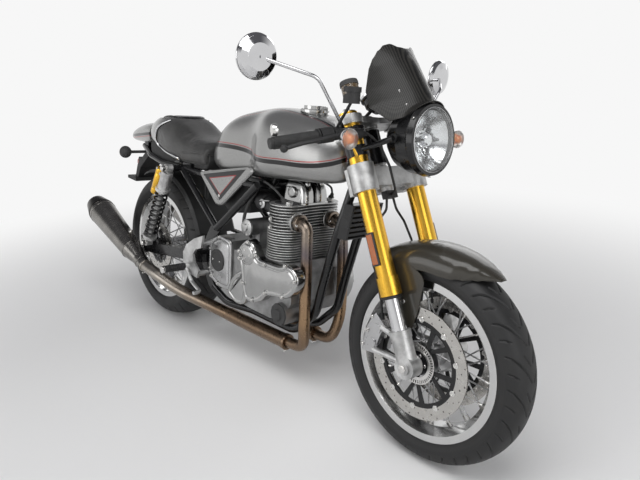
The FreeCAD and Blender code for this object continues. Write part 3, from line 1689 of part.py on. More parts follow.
def sided_path(shares, sides, reach):
    """Points on the right, each at its own share of a side distance."""
    return [spot(*share) - along_y * reach * side for share, side in zip(shares, sides)]


def build_header_pipes():
    """Two header pipes that drop from the ports and turn back under the engine."""
    port = exhaust_port(-1)
    down = sided_path(header_shares, header_side_shares, header_side)
    pipe = tube([port] + down, header_r, header_bend_r)
    flange = rod(port, port + along_x * header_flange_length, header_flange_r)
    rear = sided_path(collector_shares, collector_side_shares, header_side)
    collector = tube(rear, collector_r, collector_bend_r)
    link = tube(sided_path(link_shares, link_side_shares, muffler_side), link_pipe_r, link_bend_r)
    way = (rear[1] - rear[0]).normalize()
    clamp = rod(rear[0] - way * collector_clamp_length / 2, rear[0] + way * collector_clamp_length / 2,
                collector_clamp_r)
    side = fused([pipe, flange, collector, link, clamp])
    return group([side, mirrored(side)])


muffler_start_share = (0.0437, 0.3643)
muffler_end_share = (-0.2901, 0.6286)
muffler_flare = 6.0
muffler_shares = [
    (0.0, 0.0), (0.0, 0.47), (0.10, 0.50), (0.24, 0.74), (0.84, 1.0), (0.88, 0.98), (1.0, 0.72),
]
muffler_mouth_shares = [(1.0, 0.62), (0.90, 0.6), (0.90, 0.0)]


def build_mufflers():
    """Megaphone bodies that widen rearward and close with a reverse cone."""
    pieces = []
    for facing in (-1, 1):
        start = spot(*muffler_start_share) + along_y * muffler_side * facing
        end = spot(*muffler_end_share) + along_y * (muffler_side + muffler_flare) * facing
        way = (end - start).normalize()
        length = (end - start).Length
        shares = muffler_shares + muffler_mouth_shares
        profile = [(length * along, muffler_rear_r * out) for along, out in shares]
        pieces.append(lathe(profile, start, way))
    return group(pieces)


# Bodywork

tank_station_shares = [
    (0.0, 0.28, 0.46, 0.10),
    (0.03, 0.52, 0.62, 0.04),
    (0.10, 0.74, 0.72, 0.0),
    (0.25, 0.90, 0.76, 0.0),
    (0.41, 0.975, 0.80, 0.04),
    (0.50, 0.995, 0.96, 0.06),
    (0.645, 0.97, 1.0, 0.09),
    (0.80, 0.91, 0.94, 0.12),
    (0.91, 0.82, 0.80, 0.14),
    (0.975, 0.70, 0.60, 0.18),
    (1.0, 0.58, 0.44, 0.24),
]
tank_arch_shares = [
    (0.62, 0.0), (0.93, 0.12), (1.0, 0.34), (0.96, 0.60), (0.80, 0.84), (0.45, 0.97), (0.0, 1.0),
]
tank_head_gap = 15.3
tank_front_x = on_fork(0, 0, head_tube_top).x - tank_head_gap
tank_length = tank_front_x - tank_rear_x
tunnel_shares = [
    (0.2676, 0.8571), (0.2676, 1.0571), (0.4930, 1.1171), (0.6901, 1.1343), (0.7394, 1.1771),
    (0.7746, 1.2714), (0.8451, 1.2714), (0.8451, 0.8571),
]
tunnel_width = 100.0
rocker_room = 8.0
cap_x = 868.0
cap_r = 36.0
cap_height = 14.0
cap_seat_share = 0.99
cap_hinge_reach = 6.0
cap_hinge_r = 5.0
cap_hinge_half = 8.0
cap_ear_width = 5.0
neck_wall = 6.0
neck_height = 24.0


def lofted(stations, arch, start_x, reach, half, base_z, height):
    """Body lofted through stations, each an arch at its own share of the length, width and height."""
    sections = []
    for along, top, wide, low in stations:
        sections.append(section_wire(start_x + reach * along, half * wide, base_z + height * low,
                                     base_z + height * top, arch))
    return Part.makeLoft(sections, True, False)


def cap_seat_z():
    return tank_base_z + tank_height * cap_seat_share


def cap_hinge():
    """Middle of the hinge at the front of the filler cap."""
    return Vector(cap_x + cap_r + cap_hinge_reach, 0, cap_seat_z() + cap_height / 2)


def build_fuel_tank():
    """Tank lofted along the machine, narrow at the knees and full over the engine."""
    body = lofted(tank_station_shares, tank_arch_shares, tank_rear_x, tank_length, tank_half, tank_base_z,
                  tank_height)
    seat_z = cap_seat_z()
    neck = Part.makeCylinder(cap_r + neck_wall, neck_height, Vector(cap_x, 0, seat_z - neck_height), along_z)
    hinge = cap_hinge()
    ears = []
    for facing in (-1, 1):
        near = (cap_hinge_half + running_gap) * facing
        far = near + cap_ear_width * facing
        ears.append(block(hinge.x - cap_hinge_r, hinge.x + cap_hinge_r, min(near, far), max(near, far),
                          seat_z - neck_height, hinge.z))
        ears.append(rod(hinge + along_y * near, hinge + along_y * far, cap_hinge_r))
    tunnel = plate_xz(outline_at(tunnel_shares), 0, tunnel_width)
    room = rocker_half + rocker_rim + rocker_room
    pocket_rear = barrel_front_x - rocker_length - rocker_rim - rocker_room * 2
    pocket = block(pocket_rear, barrel_front_x + rocker_room * 2, -room, room,
                   tank_base_z - rocker_height, head_high_z + rocker_height + rocker_room)
    return fused([body, neck] + ears).cut(tunnel).cut(pocket)


def build_fuel_cap():
    """Filler cap with a knuckle that turns between the ears of the neck."""
    base = Vector(cap_x, 0, cap_seat_z() + running_gap)
    disc = Part.makeCylinder(cap_r, cap_height - running_gap, base, along_z)
    hinge = cap_hinge()
    half = along_y * cap_hinge_half
    knuckle = rod(hinge - half, hinge + half, cap_hinge_r)
    arm = block(hinge.x - cap_hinge_reach * 2, hinge.x, -cap_hinge_half, cap_hinge_half,
                hinge.z - cap_hinge_r / 2, hinge.z + cap_hinge_r / 2)
    return fused([disc, knuckle, arm])


seat_station_shares = [
    (0.0, 0.74, 0.62, 0.42),
    (0.12, 0.93, 0.80, 0.34),
    (0.30, 1.0, 0.94, 0.22),
    (0.46, 0.93, 1.0, 0.10),
    (0.62, 0.74, 1.0, 0.06),
    (0.80, 0.60, 0.96, 0.06),
    (1.0, 0.50, 0.86, 0.10),
]
cowl_station_shares = [
    (0.0, 0.80, 0.70, 0.34),
    (0.25, 0.78, 0.66, 0.30),
    (0.60, 0.68, 0.56, 0.29),
    (0.88, 0.54, 0.42, 0.30),
    (1.0, 0.46, 0.30, 0.33),
]
seat_arch_shares = [(0.80, 0.0), (0.97, 0.16), (1.0, 0.42), (0.93, 0.72), (0.62, 0.95), (0.0, 1.0)]


def build_seat_pad():
    """Seat cushion with a raised hump at its rear."""
    return lofted(seat_station_shares, seat_arch_shares, seat_rear_x, seat_length, seat_half, seat_base_z,
                  seat_height)


def build_seat_cowl():
    """Tapered tail behind the seat."""
    return lofted(cowl_station_shares, seat_arch_shares, seat_rear_x - seat_gap, -cowl_length, seat_half,
                  seat_base_z, seat_height)


side_cover_shares = [(0.2620, 0.9629), (0.4817, 0.9629), (0.3606, 0.7429)]


def build_side_covers():
    """Triangular side covers between the frame tubes."""
    right = plate_xz(outline_at(side_cover_shares), -side_panel_half, panel_thickness)
    return group([right, mirrored(right)])


inner_fender_wall = 3.0
inner_fender_gap = 13.0
inner_fender_half = 93.0
inner_fender_drop = 10.0
inner_fender_flat_share = 0.88
inner_fender_start_deg = 20.0
inner_fender_sweep_deg = 95.0
hanger_shares = [
    (-0.0704, 1.0343), (-0.1338, 1.0371), (-0.2113, 0.9143), (-0.2324, 0.8000), (-0.2183, 0.7943),
    (-0.1901, 0.8971), (-0.1338, 0.9857), (-0.0704, 0.9857),
]
hanger_width = 90.0
plate_shares = [(-0.2042, 0.8000), (-0.2620, 0.8086), (-0.2620, 0.8286), (-0.2042, 0.8229)]
plate_width = 120.0
fender_post_r = 9.0


def build_rear_fender():
    """Inner fender over the rear tyre with the hanger of the number plate."""
    top = rear_tyre_r + inner_fender_gap + inner_fender_drop
    rim = top - inner_fender_drop
    flat = inner_fender_half * inner_fender_flat_share
    outer = [(inner_fender_half, rim), (flat, top), (-flat, top), (-inner_fender_half, rim)]
    inside = inner_fender_half - inner_fender_wall / 2
    inner_flat = flat - inner_fender_wall / 2
    inner = [(-inside, rim - inner_fender_wall), (-inner_flat, top - inner_fender_wall),
             (inner_flat, top - inner_fender_wall), (inside, rim - inner_fender_wall)]
    cover = turned(outer + inner, rear_axle, inner_fender_start_deg, inner_fender_sweep_deg)
    foot = Vector(shock_high.x, 0, rear_axle.z)
    post = rod(foot, Vector(shock_high.x, 0, shock_high.z), fender_post_r)
    post = post.cut(turned([(-inside, 0), (-inside, rim), (inside, rim), (inside, 0)], rear_axle))
    hanger = plate_xz(outline_at(hanger_shares), 0, hanger_width)
    plate = plate_xz(outline_at(plate_shares), 0, plate_width)
    return group([fused([cover, post]), fused([hanger, plate])])


tail_lamp_share = (-0.2197, 0.9257)
tail_lamp_half = 34.0
tail_lamp_r = 20.0
tail_indicator_share = (-0.1380, 1.0114)
tail_indicator_side = 152.0
tail_indicator_root = 44.0


def build_tail_lights():
    """Round tail lamp on the hanger and an indicator on a stalk at each side."""
    lamp = spot(*tail_lamp_share)
    pieces = [rod(lamp - along_y * tail_lamp_half, lamp + along_y * tail_lamp_half, tail_lamp_r)]
    for facing in (-1, 1):
        centre = spot(*tail_indicator_share) + along_y * tail_indicator_side * facing
        root = spot(*tail_indicator_share) + along_y * tail_indicator_root * facing
        pieces.append(fused([indicator_body(centre, -along_x), rod(root, centre, indicator_stalk_r)]))
    return group(pieces)


footrest_shares = [
    (0.3444, 0.6757), (0.3028, 0.6429), (0.2634, 0.5929), (0.2465, 0.5429), (0.2479, 0.4857),
    (0.2592, 0.4429), (0.3190, 0.4300), (0.3254, 0.4714), (0.3028, 0.5086), (0.2958, 0.5500),
    (0.3099, 0.5857), (0.3359, 0.6043),
]
footrest_side = 172.0
footrest_thickness = 10.0
peg_share = (0.2662, 0.4714)
peg_length = 108.0
peg_r = 12.0
pedal_shares = [(0.2662, 0.4714), (0.3099, 0.4071), (0.3662, 0.3857), (0.3662, 0.3857)]
pedal_sides = [12.0, 18.0, 30.0, 60.0]
pedal_r = 7.0
pedal_bend_r = 20.0
standoff_shares = [(0.3296, 0.6286), (0.3169, 0.4543)]
standoff_r = 11.0


def build_footrests():
    """Cast foot rest plates with pegs and pedals."""
    pieces = []
    for facing in (-1, 1):
        side = along_y * footrest_side * facing
        parts = [plate_xz(outline_at(footrest_shares), footrest_side * facing, footrest_thickness)]
        peg = spot(*peg_share) + side
        parts.append(rod(peg, peg + along_y * peg_length * facing, peg_r))
        pedal = []
        for share, out in zip(pedal_shares, pedal_sides):
            pedal.append(spot(*share) + side + along_y * out * facing)
        parts.append(tube(pedal, pedal_r, pedal_bend_r))
        for share in standoff_shares:
            start = spot(*share) + along_y * (plate_side - running_gap * facing) * facing
            parts.append(rod(start, spot(*share) + side, standoff_r))
        pieces.append(fused(parts))
    return group(pieces)


front_sprocket_ahead = 92.0


def belt_face(rear_centre, front_centre, rear_r, front_r):
    """Flat face inside a loop drawn tight round two wheels."""
    span = front_centre - rear_centre
    tilt = math.atan2(span.z, span.x)
    lean = math.asin((rear_r - front_r) / span.Length)
    up = tilt + math.pi / 2 - lean
    down = tilt - math.pi / 2 + lean

    def on_wheel(centre, radius, angle):
        return centre + Vector(radius * math.cos(angle), 0, radius * math.sin(angle))

    top_rear = on_wheel(rear_centre, rear_r, up)
    top_front = on_wheel(front_centre, front_r, up)
    low_front = on_wheel(front_centre, front_r, down)
    low_rear = on_wheel(rear_centre, rear_r, down)
    return Part.Face(Part.Wire([
        Part.LineSegment(top_rear, top_front).toShape(),
        Part.Arc(top_front, on_wheel(front_centre, front_r, tilt), low_front).toShape(),
        Part.LineSegment(low_front, low_rear).toShape(),
        Part.Arc(low_rear, on_wheel(rear_centre, rear_r, tilt + math.pi), top_rear).toShape(),
    ]))


def build_chain():
    """Closed chain loop round both sprockets, drawn as one flat band."""
    side = chain_side - chain_width / 2
    front_centre = Vector(pivot_x + front_sprocket_ahead, side, pivot_z)
    rear_centre = rear_axle + along_y * side
    rear_r = rear_sprocket_r + running_gap
    front_r = front_sprocket_r + running_gap
    outer = belt_face(rear_centre, front_centre, rear_r + chain_depth, front_r + chain_depth)
    inner = belt_face(rear_centre, front_centre, rear_r, front_r)
    return outer.extrude(along_y * chain_width).cut(inner.extrude(along_y * chain_width))


rear_caliper_half = 22.0
rear_caliper_lap = 18.0
rear_caliper_gap = 4.0
rear_caliper_start_deg = 96.0
rear_caliper_sweep_deg = 44.0
rear_bracket_shares = [(-0.0239, 0.4657), (0.0211, 0.4657), (-0.0070, 0.6057), (-0.0437, 0.6057)]
rear_bracket_thickness = 8.0
rear_piston_r = 15.0
rear_piston_deg = 118.0
rear_piston_height = 5.0


def build_rear_caliper():
    """Rear caliper over the disc, on a bracket from the axle."""
    inner_r = rear_disc_r - disc_band
    outer_r = rear_disc_r + rear_caliper_lap
    side = -rear_disc_side
    left, right = side + rear_caliper_half, side - rear_caliper_half
    edge = rear_caliper_lap / 2
    profile = [(right, inner_r), (right, outer_r - edge), (right + edge, outer_r), (left - edge, outer_r),
               (left, outer_r - edge), (left, inner_r)]
    body = turned(profile, rear_axle, rear_caliper_start_deg, rear_caliper_sweep_deg)
    slot_r = rear_disc_r + rear_caliper_gap
    slot = turned([(side - rear_caliper_gap, inner_r - cut_overrun), (side - rear_caliper_gap, slot_r),
                   (side + rear_caliper_gap, slot_r), (side + rear_caliper_gap, inner_r - cut_overrun)],
                  rear_axle)
    piston_at = around(rear_axle, rear_disc_r - disc_band / 2, rear_piston_deg, right)
    piston = rod(piston_at, piston_at - along_y * rear_piston_height, rear_piston_r)
    bracket = plate_xz(outline_at(rear_bracket_shares), -plate_side, rear_bracket_thickness)
    return fused([body.cut(slot), bracket, piston])


def build_side_stand():
    """Side stand leg swung out to the left and forward, down to the ground."""
    foot = stand_foot()
    leg = rod(stand_pivot, foot, stand_leg_r)
    half = stand_axis() * stand_hub_half
    hub = rod(stand_pivot - half, stand_pivot + half, stand_leg_r + stand_hub_wall)
    return fused([leg, hub, Part.makeSphere(stand_foot_r, foot)])


# Assembly

cleared_by = {
    "cylinder_head": ["cylinder_block"],
    "timing_cover": ["cylinder_block", "gearbox"],
    "gauges": ["upper_clamp"],
    "mufflers": ["header_pipes"],
    "rear_caliper": ["swingarm"],
    "front_calipers": ["fork_feet"],
    "front_fender": ["fork_feet"],
    "lamp_brackets": ["headlamp"],
    "front_indicators": ["lamp_brackets"],
    "controls": ["clip_ons"],
    "mirrors": ["clip_ons"],
    "brake_hoses": ["front_calipers", "controls"],
    "tail_lights": ["rear_fender"],
    "side_covers": ["frame"],
    "intake": ["cylinder_head", "frame"],
    "footrests": ["frame", "swingarm", "gearbox"],
    "header_pipes": ["cylinder_head"],
    "rear_fender": ["frame", "seat_cowl", "seat_pad"],
    "frame": ["gearbox", "crankcase", "seat_pad", "seat_cowl"],
    "oil_cooler": ["frame"],
    "fuel_tank": ["frame"],
    "shocks": ["swingarm"],
}


def build_upright():
    shapes = {}
    shapes["front_tyre"] = build_front_tyre()
    shapes["rear_tyre"] = build_rear_tyre()
    shapes["front_rim"] = build_rim(front_axle, front_rim_half)
    shapes["rear_rim"] = build_rim(rear_axle, rear_rim_half)
    shapes["front_hub"] = build_front_hub()
    shapes["rear_hub"] = build_rear_hub()
    shapes["front_discs"] = build_front_discs()
    shapes["rear_disc"] = build_rear_disc()
    shapes["rear_sprocket"] = build_rear_sprocket()
    shapes["fork_outers"] = build_fork_outers()
    shapes["fork_inners"] = build_fork_inners()
    shapes["fork_feet"] = build_fork_feet()
    shapes["front_calipers"] = build_front_calipers()
    shapes["lower_clamp"] = build_lower_clamp()
    shapes["upper_clamp"] = build_upper_clamp()
    shapes["clip_ons"] = build_clip_ons()
    shapes["grips"] = build_grips()
    shapes["controls"] = build_controls()
    shapes["headlamp"] = build_headlamp()
    shapes["headlamp_lens"] = build_headlamp_lens()
    shapes["lamp_brackets"] = build_lamp_brackets()
    shapes["front_indicators"] = build_front_indicators()
    shapes["mirrors"] = build_mirrors()
    shapes["gauges"] = build_gauges()
    shapes["brake_hoses"] = build_brake_hoses()
    shapes["fly_screen"] = build_fly_screen()
    shapes["front_fender"] = build_front_fender()
    shapes["frame"] = build_frame()
    shapes["swingarm"] = build_swingarm()
    shapes["shocks"] = build_shocks()
    shapes["springs"] = build_springs()
    shapes["crankcase"] = build_crankcase()
    shapes["gearbox"] = build_gearbox()
    shapes["cylinder_block"] = build_cylinder_block()
    shapes["cylinder_head"] = build_cylinder_head()
    shapes["rocker_cover"] = build_rocker_cover()
    shapes["timing_cover"] = build_timing_cover()
    shapes["primary_cover"] = build_primary_cover()
    shapes["intake"] = build_intake()
    shapes["oil_cooler"] = build_oil_cooler()
    shapes["header_pipes"] = build_header_pipes()
    shapes["mufflers"] = build_mufflers()
    shapes["fuel_tank"] = build_fuel_tank()
    shapes["fuel_cap"] = build_fuel_cap()
    shapes["seat_pad"] = build_seat_pad()
    shapes["seat_cowl"] = build_seat_cowl()
    shapes["side_covers"] = build_side_covers()
    shapes["rear_fender"] = build_rear_fender()
    shapes["tail_lights"] = build_tail_lights()
    shapes["footrests"] = build_footrests()
    shapes["chain"] = build_chain()
    shapes["rear_caliper"] = build_rear_caliper()
    shapes["side_stand"] = build_side_stand()
    for name, others in cleared_by.items():
        for other in others:
            shapes[name] = shapes[name].cut(shapes[other])
    return shapes


def lean_placement(shapes):
    """Lean to the left, then set the middle of the footprint over the origin."""
    lean = FreeCAD.Placement(Vector(0, 0, 0), FreeCAD.Rotation(along_x, -lean_deg))
    box = Part.makeCompound([moved(s, lean) for s in shapes.values()]).BoundBox
    offset = Vector(-(box.XMin + box.XMax) / 2, -(box.YMin + box.YMax) / 2, -box.ZMin)
    return FreeCAD.Placement(offset, FreeCAD.Rotation(along_x, -lean_deg))


def report_point(name, point, axis, placement):
    place = placement.multVec(point)
    way = placement.Rotation.multVec(axis)
    print(name, [round(v / 1000, 6) for v in place], [round(v, 6) for v in way])


def main():
    os.makedirs("parts", exist_ok=True)
    shapes = build_upright()
    placement = lean_placement(shapes)
    for name, shape in shapes.items():
        moved(shape, placement).exportStep(os.path.join("parts", name + ".step"))
    report_point("front_axle", front_axle, along_y, placement)
    report_point("rear_axle", rear_axle, along_y, placement)
    report_point("steering", on_fork(0, 0, head_tube_low), steer_up, placement)
    for facing in (-1, 1):
        inner = bobbin_mouth(facing) - along_y * facing * bobbin_depth / 2
        report_point("bobbin", inner, along_y * facing, placement)
    report_point("side_stand", stand_pivot, stand_axis(), placement)
    report_point("fuel_cap", cap_hinge(), along_y, placement)


main()
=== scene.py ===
"""Finishes and fittings of a cafe racer motorcycle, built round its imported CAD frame.

Every shape is drawn in millimetres on the upright machine: X forward from the rear axle, Y to the left, Z up from
the ground. STAND then leans it over and sets it on the frame.
"""
import json
from math import acos, atan2, cos, hypot, pi, radians, sin, tau

import bmesh
import bpy
from bpy.props import FloatProperty, FloatVectorProperty, IntProperty, PointerProperty
from bpy.types import NodeSocket, Operator, Panel, PropertyGroup, Scene
from mathutils.bvhtree import BVHTree
from mathutils import Matrix, Vector


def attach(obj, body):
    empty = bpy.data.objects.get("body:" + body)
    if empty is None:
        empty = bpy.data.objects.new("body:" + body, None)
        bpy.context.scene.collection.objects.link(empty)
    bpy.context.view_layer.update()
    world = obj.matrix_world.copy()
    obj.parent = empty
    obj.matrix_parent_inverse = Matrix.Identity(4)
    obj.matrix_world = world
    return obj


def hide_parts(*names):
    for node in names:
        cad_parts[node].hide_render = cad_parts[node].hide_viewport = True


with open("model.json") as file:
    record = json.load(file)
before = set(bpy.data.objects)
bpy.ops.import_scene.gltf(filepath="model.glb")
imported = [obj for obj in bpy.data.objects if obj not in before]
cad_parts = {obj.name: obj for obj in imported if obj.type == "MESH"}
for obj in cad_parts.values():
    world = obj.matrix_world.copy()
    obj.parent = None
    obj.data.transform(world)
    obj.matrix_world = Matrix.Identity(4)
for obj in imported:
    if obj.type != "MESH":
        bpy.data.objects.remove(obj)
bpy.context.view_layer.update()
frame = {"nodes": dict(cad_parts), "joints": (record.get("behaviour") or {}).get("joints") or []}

bl_info = {
    "name": "Cafe racer motorcycle", "version": (1, 0, 0), "blender": (4, 5, 0),
    "location": "View3D > Sidebar > Motorcycle",
    "description": "Builds the finishes and fittings of a cafe racer round its CAD frame", "category": "Object",
}

MM = 0.001
LEAN = radians(8)
REAR_TYRE_R = 315
FRONT_TYRE_R = 300
WHEELBASE = 1420
RAKE = radians(24.5)
FORK_OFFSET = 34.3
FORK_HALF = 108
REAR_AXLE_PLACE = Vector(next(joint["pos_m"] for joint in frame["joints"] if joint["name"] == "rear_wheel"))
STAND = (
    Matrix.Translation(REAR_AXLE_PLACE) @ Matrix.Rotation(-LEAN, 4, "X") @ Matrix.Scale(MM, 4)
    @ Matrix.Translation((0, 0, -REAR_TYRE_R))
)
REAR_AXLE = Vector((0, 0, REAR_TYRE_R))
FRONT_AXLE = Vector((WHEELBASE, 0, FRONT_TYRE_R))
AHEAD = Vector((1, 0, 0))
LEFT = Vector((0, 1, 0))
UP = Vector((0, 0, 1))
STEER_UP = Vector((-sin(RAKE), 0, cos(RAKE)))
STEER_AHEAD = Vector((cos(RAKE), 0, sin(RAKE)))
STEER_FOOT = FRONT_AXLE - STEER_AHEAD * FORK_OFFSET


def on_fork(ahead, side, up):
    """Point given from the foot of the steering axis."""
    return STEER_FOOT + STEER_AHEAD * ahead + LEFT * side + STEER_UP * up


def spot(along, up, side=0):
    """Point by its share of the wheelbase and of the frame height."""
    return Vector((WHEELBASE * along, side, 700 * up))


MUFFLER_START = spot(0.0437, 0.3643, 194)
MUFFLER_END = spot(-0.2901, 0.6286, 200)


# Mesh making

class Stock:
    """Vertices and faces of one piece while it is being made, in upright millimetres."""

    def __init__(self):
        self.points = []
        self.faces = []
        self.tones = []
        self.tone = 0

    def add(self, points, faces):
        start = len(self.points)
        self.points.extend(Vector(point) for point in points)
        self.faces.extend(tuple(start + index for index in face) for face in faces)
        self.tones.extend([self.tone] * len(faces))

    def rings(self, rings, capped=False, cap_end=False, joined=False):
        """Skin between rings of equal point counts."""
        count = len(rings[0])
        points = [point for ring in rings for point in ring]
        faces = []
        for row in range(len(rings) if joined else len(rings) - 1):
            low, high = row * count, (row + 1) % len(rings) * count
            for column in range(count):
                beside = (column + 1) % count
                faces.append((low + column, low + beside, high + beside, high + column))
        if capped:
            faces.append(tuple(reversed(range(count))))
        if capped or cap_end:
            faces.append(tuple((len(rings) - 1) * count + column for column in range(count)))
        self.add(points, faces)

    def lathe(self, profile, centre, axis, steps=32, joined=False):
        """Profile of distance along the axis and radius, turned about the axis."""
        rings = [hoop(centre, axis, radius, steps, along) for along, radius in profile]
        self.rings(rings, not joined, joined=joined)

    def rod(self, start, end, radius, sides=12, end_radius=None):
        start, end = Vector(start), Vector(end)
        last = radius if end_radius is None else end_radius
        self.lathe([(0, radius), ((end - start).length, last)], start, end - start, sides)

    def bolt(self, seat, axis, radius, height):
        """Cap screw with a socket, its head standing on the seat."""
        self.lathe([(0, radius), (height * 0.8, radius), (height, radius * 0.86), (height, radius * 0.5)],
                   seat, axis, 14)
        self.lathe([(height, radius * 0.5), (height * 0.45, radius * 0.5)], seat, axis, 6)

    def nut(self, seat, axis, radius, height):
        """Hexagon head over a round flange."""
        self.lathe([(0, radius * 1.25), (height * 0.2, radius * 1.25)], seat, axis, 18)
        self.lathe([(height * 0.2, radius), (height * 0.9, radius), (height, radius * 0.88)], seat, axis, 6)

    def tube(self, path, radius, sides=10, closed=False):
        """Round tube that follows a list of points."""
        self.rings(tube_rings(path, radius, sides, closed), not closed, joined=closed)

    def box(self, centre, size, turn=None):
        turn = turn or Matrix.Identity(3)
        corners = []
        for x in (-0.5, 0.5):
            for y in (-0.5, 0.5):
                for z in (-0.5, 0.5):
                    corners.append(Vector(centre) + turn @ Vector((size[0] * x, size[1] * y, size[2] * z)))
        self.add(corners, [(0, 1, 3, 2), (4, 6, 7, 5), (0, 4, 5, 1), (2, 3, 7, 6), (0, 2, 6, 4), (1, 5, 7, 3)])

    def plate(self, outline, side, thickness):
        """Flat plate with an outline of X and Z."""
        count = len(outline)
        low, high = side - thickness / 2, side + thickness / 2
        points = [(x, low, z) for x, z in outline] + [(x, high, z) for x, z in outline]
        faces = [tuple(range(count)), tuple(reversed(range(count, 2 * count)))]
        for index in range(count):
            beside = (index + 1) % count
            faces.append((index, index + count, beside + count, beside))
        self.add(points, faces)

    def mirrored(self):
        """Adds the same shape on the other side of the machine."""
        faces = [tuple(reversed(face)) for face in self.faces]
        tones = list(self.tones)
        self.add([(point.x, -point.y, point.z) for point in self.points], faces)
        self.tones[-len(tones):] = tones
        return self


def axis_turn(axis):
    return Vector(axis).normalized().to_track_quat("Z", "Y").to_matrix()


def hoop(centre, axis, radius, count, along=0):
    """Points of a circle round an axis, some way along it."""
    turn = axis_turn(axis)
    angles = [tau * step / count for step in range(count)]
    return [Vector(centre) + turn @ Vector((radius * cos(angle), radius * sin(angle), along)) for angle in angles]


def tube_rings(path, radius, sides, closed=False):
    """Rings square to a path, without twist; the radius may be a list."""
    path = [Vector(point) for point in path]
    rings = []
    normal = None
    for index, point in enumerate(path):
        before = path[index - 1] if index or closed else point
        after = path[(index + 1) % len(path)] if index + 1 < len(path) or closed else point
        heading = (after - before).normalized()
        if normal is None:
            normal = heading.orthogonal().normalized()
        normal = (normal - heading * normal.dot(heading)).normalized()
        across = heading.cross(normal)
        size = radius[index] if isinstance(radius, (list, tuple)) else radius
        rings.append([point + (normal * cos(tau * k / sides) + across * sin(tau * k / sides)) * size
                      for k in range(sides)])
    return rings


def smooth_path(points, steps=6, closed=False):
    """Points along a smooth line through the given ones."""
    points = [Vector(point) for point in points]
    count = len(points)
    result = []
    for index in range(count if closed else count - 1):
        p1, p2 = points[index], points[(index + 1) % count]
        p0 = points[index - 1] if index or closed else p1 * 2 - p2
        p3 = points[(index + 2) % count] if index + 2 < count or closed else p2 * 2 - p1
        for step in range(steps):
            t = step / steps
            result.append(0.5 * (2 * p1 + (p2 - p0) * t + (2 * p0 - 5 * p1 + 4 * p2 - p3) * t * t
                                 + (3 * p1 - p0 - 3 * p2 + p3) * t ** 3))
    if not closed:
        result.append(points[-1])
    return result


def spaced(path, spacing, multiple=1):
    """Points at an even spacing along a path, and its length; the count of steps may have to be a multiple."""
    lengths = [0]
    for before, after in zip(path, path[1:]):
        lengths.append(lengths[-1] + (after - before).length)
    count = round(lengths[-1] / spacing / multiple) * multiple
    result, index = [], 0
    for step in range(count + 1):
        goal = lengths[-1] * step / count
        while index < len(path) - 2 and lengths[index + 1] < goal:
            index += 1
        share = (goal - lengths[index]) / (lengths[index + 1] - lengths[index])
        result.append(path[index].lerp(path[index + 1], share))
    return result, lengths[-1]


def corner_curve(before, corner, after, reach, steps):
    """Curve that cuts a corner, from a reach before it to a reach after it."""
    start = corner + (before - corner).normalized() * reach
    end = corner + (after - corner).normalized() * reach
    shares = [step / steps for step in range(steps + 1)]
    return [start.lerp(corner, share).lerp(corner.lerp(end, share), share) for share in shares]


def rounded(corners, radius, steps=6):
    """Closed outline with its corners cut by curves."""
    points = [Vector(corner) for corner in corners]
    result = []
    for index, corner in enumerate(points):
        before, after = points[index - 1], points[(index + 1) % len(points)]
        reach = min(radius, (before - corner).length * 0.45, (after - corner).length * 0.45)
        result += corner_curve(before, corner, after, reach, steps)
    return result


def bent(points, radius, steps=8):
    """Open path with its inner corners cut by curves."""
    points = [Vector(point) for point in points]
    result = [points[0]]
    for before, corner, after in zip(points, points[1:], points[2:]):
        reach = min(radius, (before - corner).length * 0.48, (after - corner).length * 0.48)
        result += corner_curve(before, corner, after, reach, steps)
    return result + [points[-1]]


def shell(stock, outer, inner, columns):
    """Thin shell between two like grids of points, closed along its rim."""
    count = len(outer)
    rows = count // columns
    faces = []
    for row in range(rows - 1):
        for a in range(row * columns, row * columns + columns - 1):
            faces.append((a, a + 1, a + columns + 1, a + columns))
            faces.append((count + a, count + a + columns, count + a + columns + 1, count + a + 1))
    rim = list(range(columns)) + [row * columns + columns - 1 for row in range(1, rows)]
    rim += list(range(count - 2, count - columns - 1, -1)) + [row * columns for row in range(rows - 2, 0, -1)]
    faces += [(a, count + a, count + b, b) for a, b in zip(rim, rim[1:] + rim[:1])]
    stock.add(outer + inner, faces)


def between_rows(table, place, soft=False):
    """Values between the rows of a table, in straight steps or eased ones."""
    for (x0, *low), (x1, *high) in zip(table, table[1:]):
        if place <= x1:
            share = max(0, (place - x0) / (x1 - x0))
            share = share * share * (3 - 2 * share) if soft else share
            return [a + (b - a) * share for a, b in zip(low, high)]
    return table[-1][1:]


def new_thing(name, data):
    """New object in the scene."""
    thing = bpy.data.objects.new(name, data)
    bpy.context.scene.collection.objects.link(thing)
    return thing


def around(axle, radius, angle_deg, side):
    """Point round an axle, the angle counted from straight ahead and upward."""
    angle = radians(angle_deg)
    return axle + Vector((radius * cos(angle), side, radius * sin(angle)))


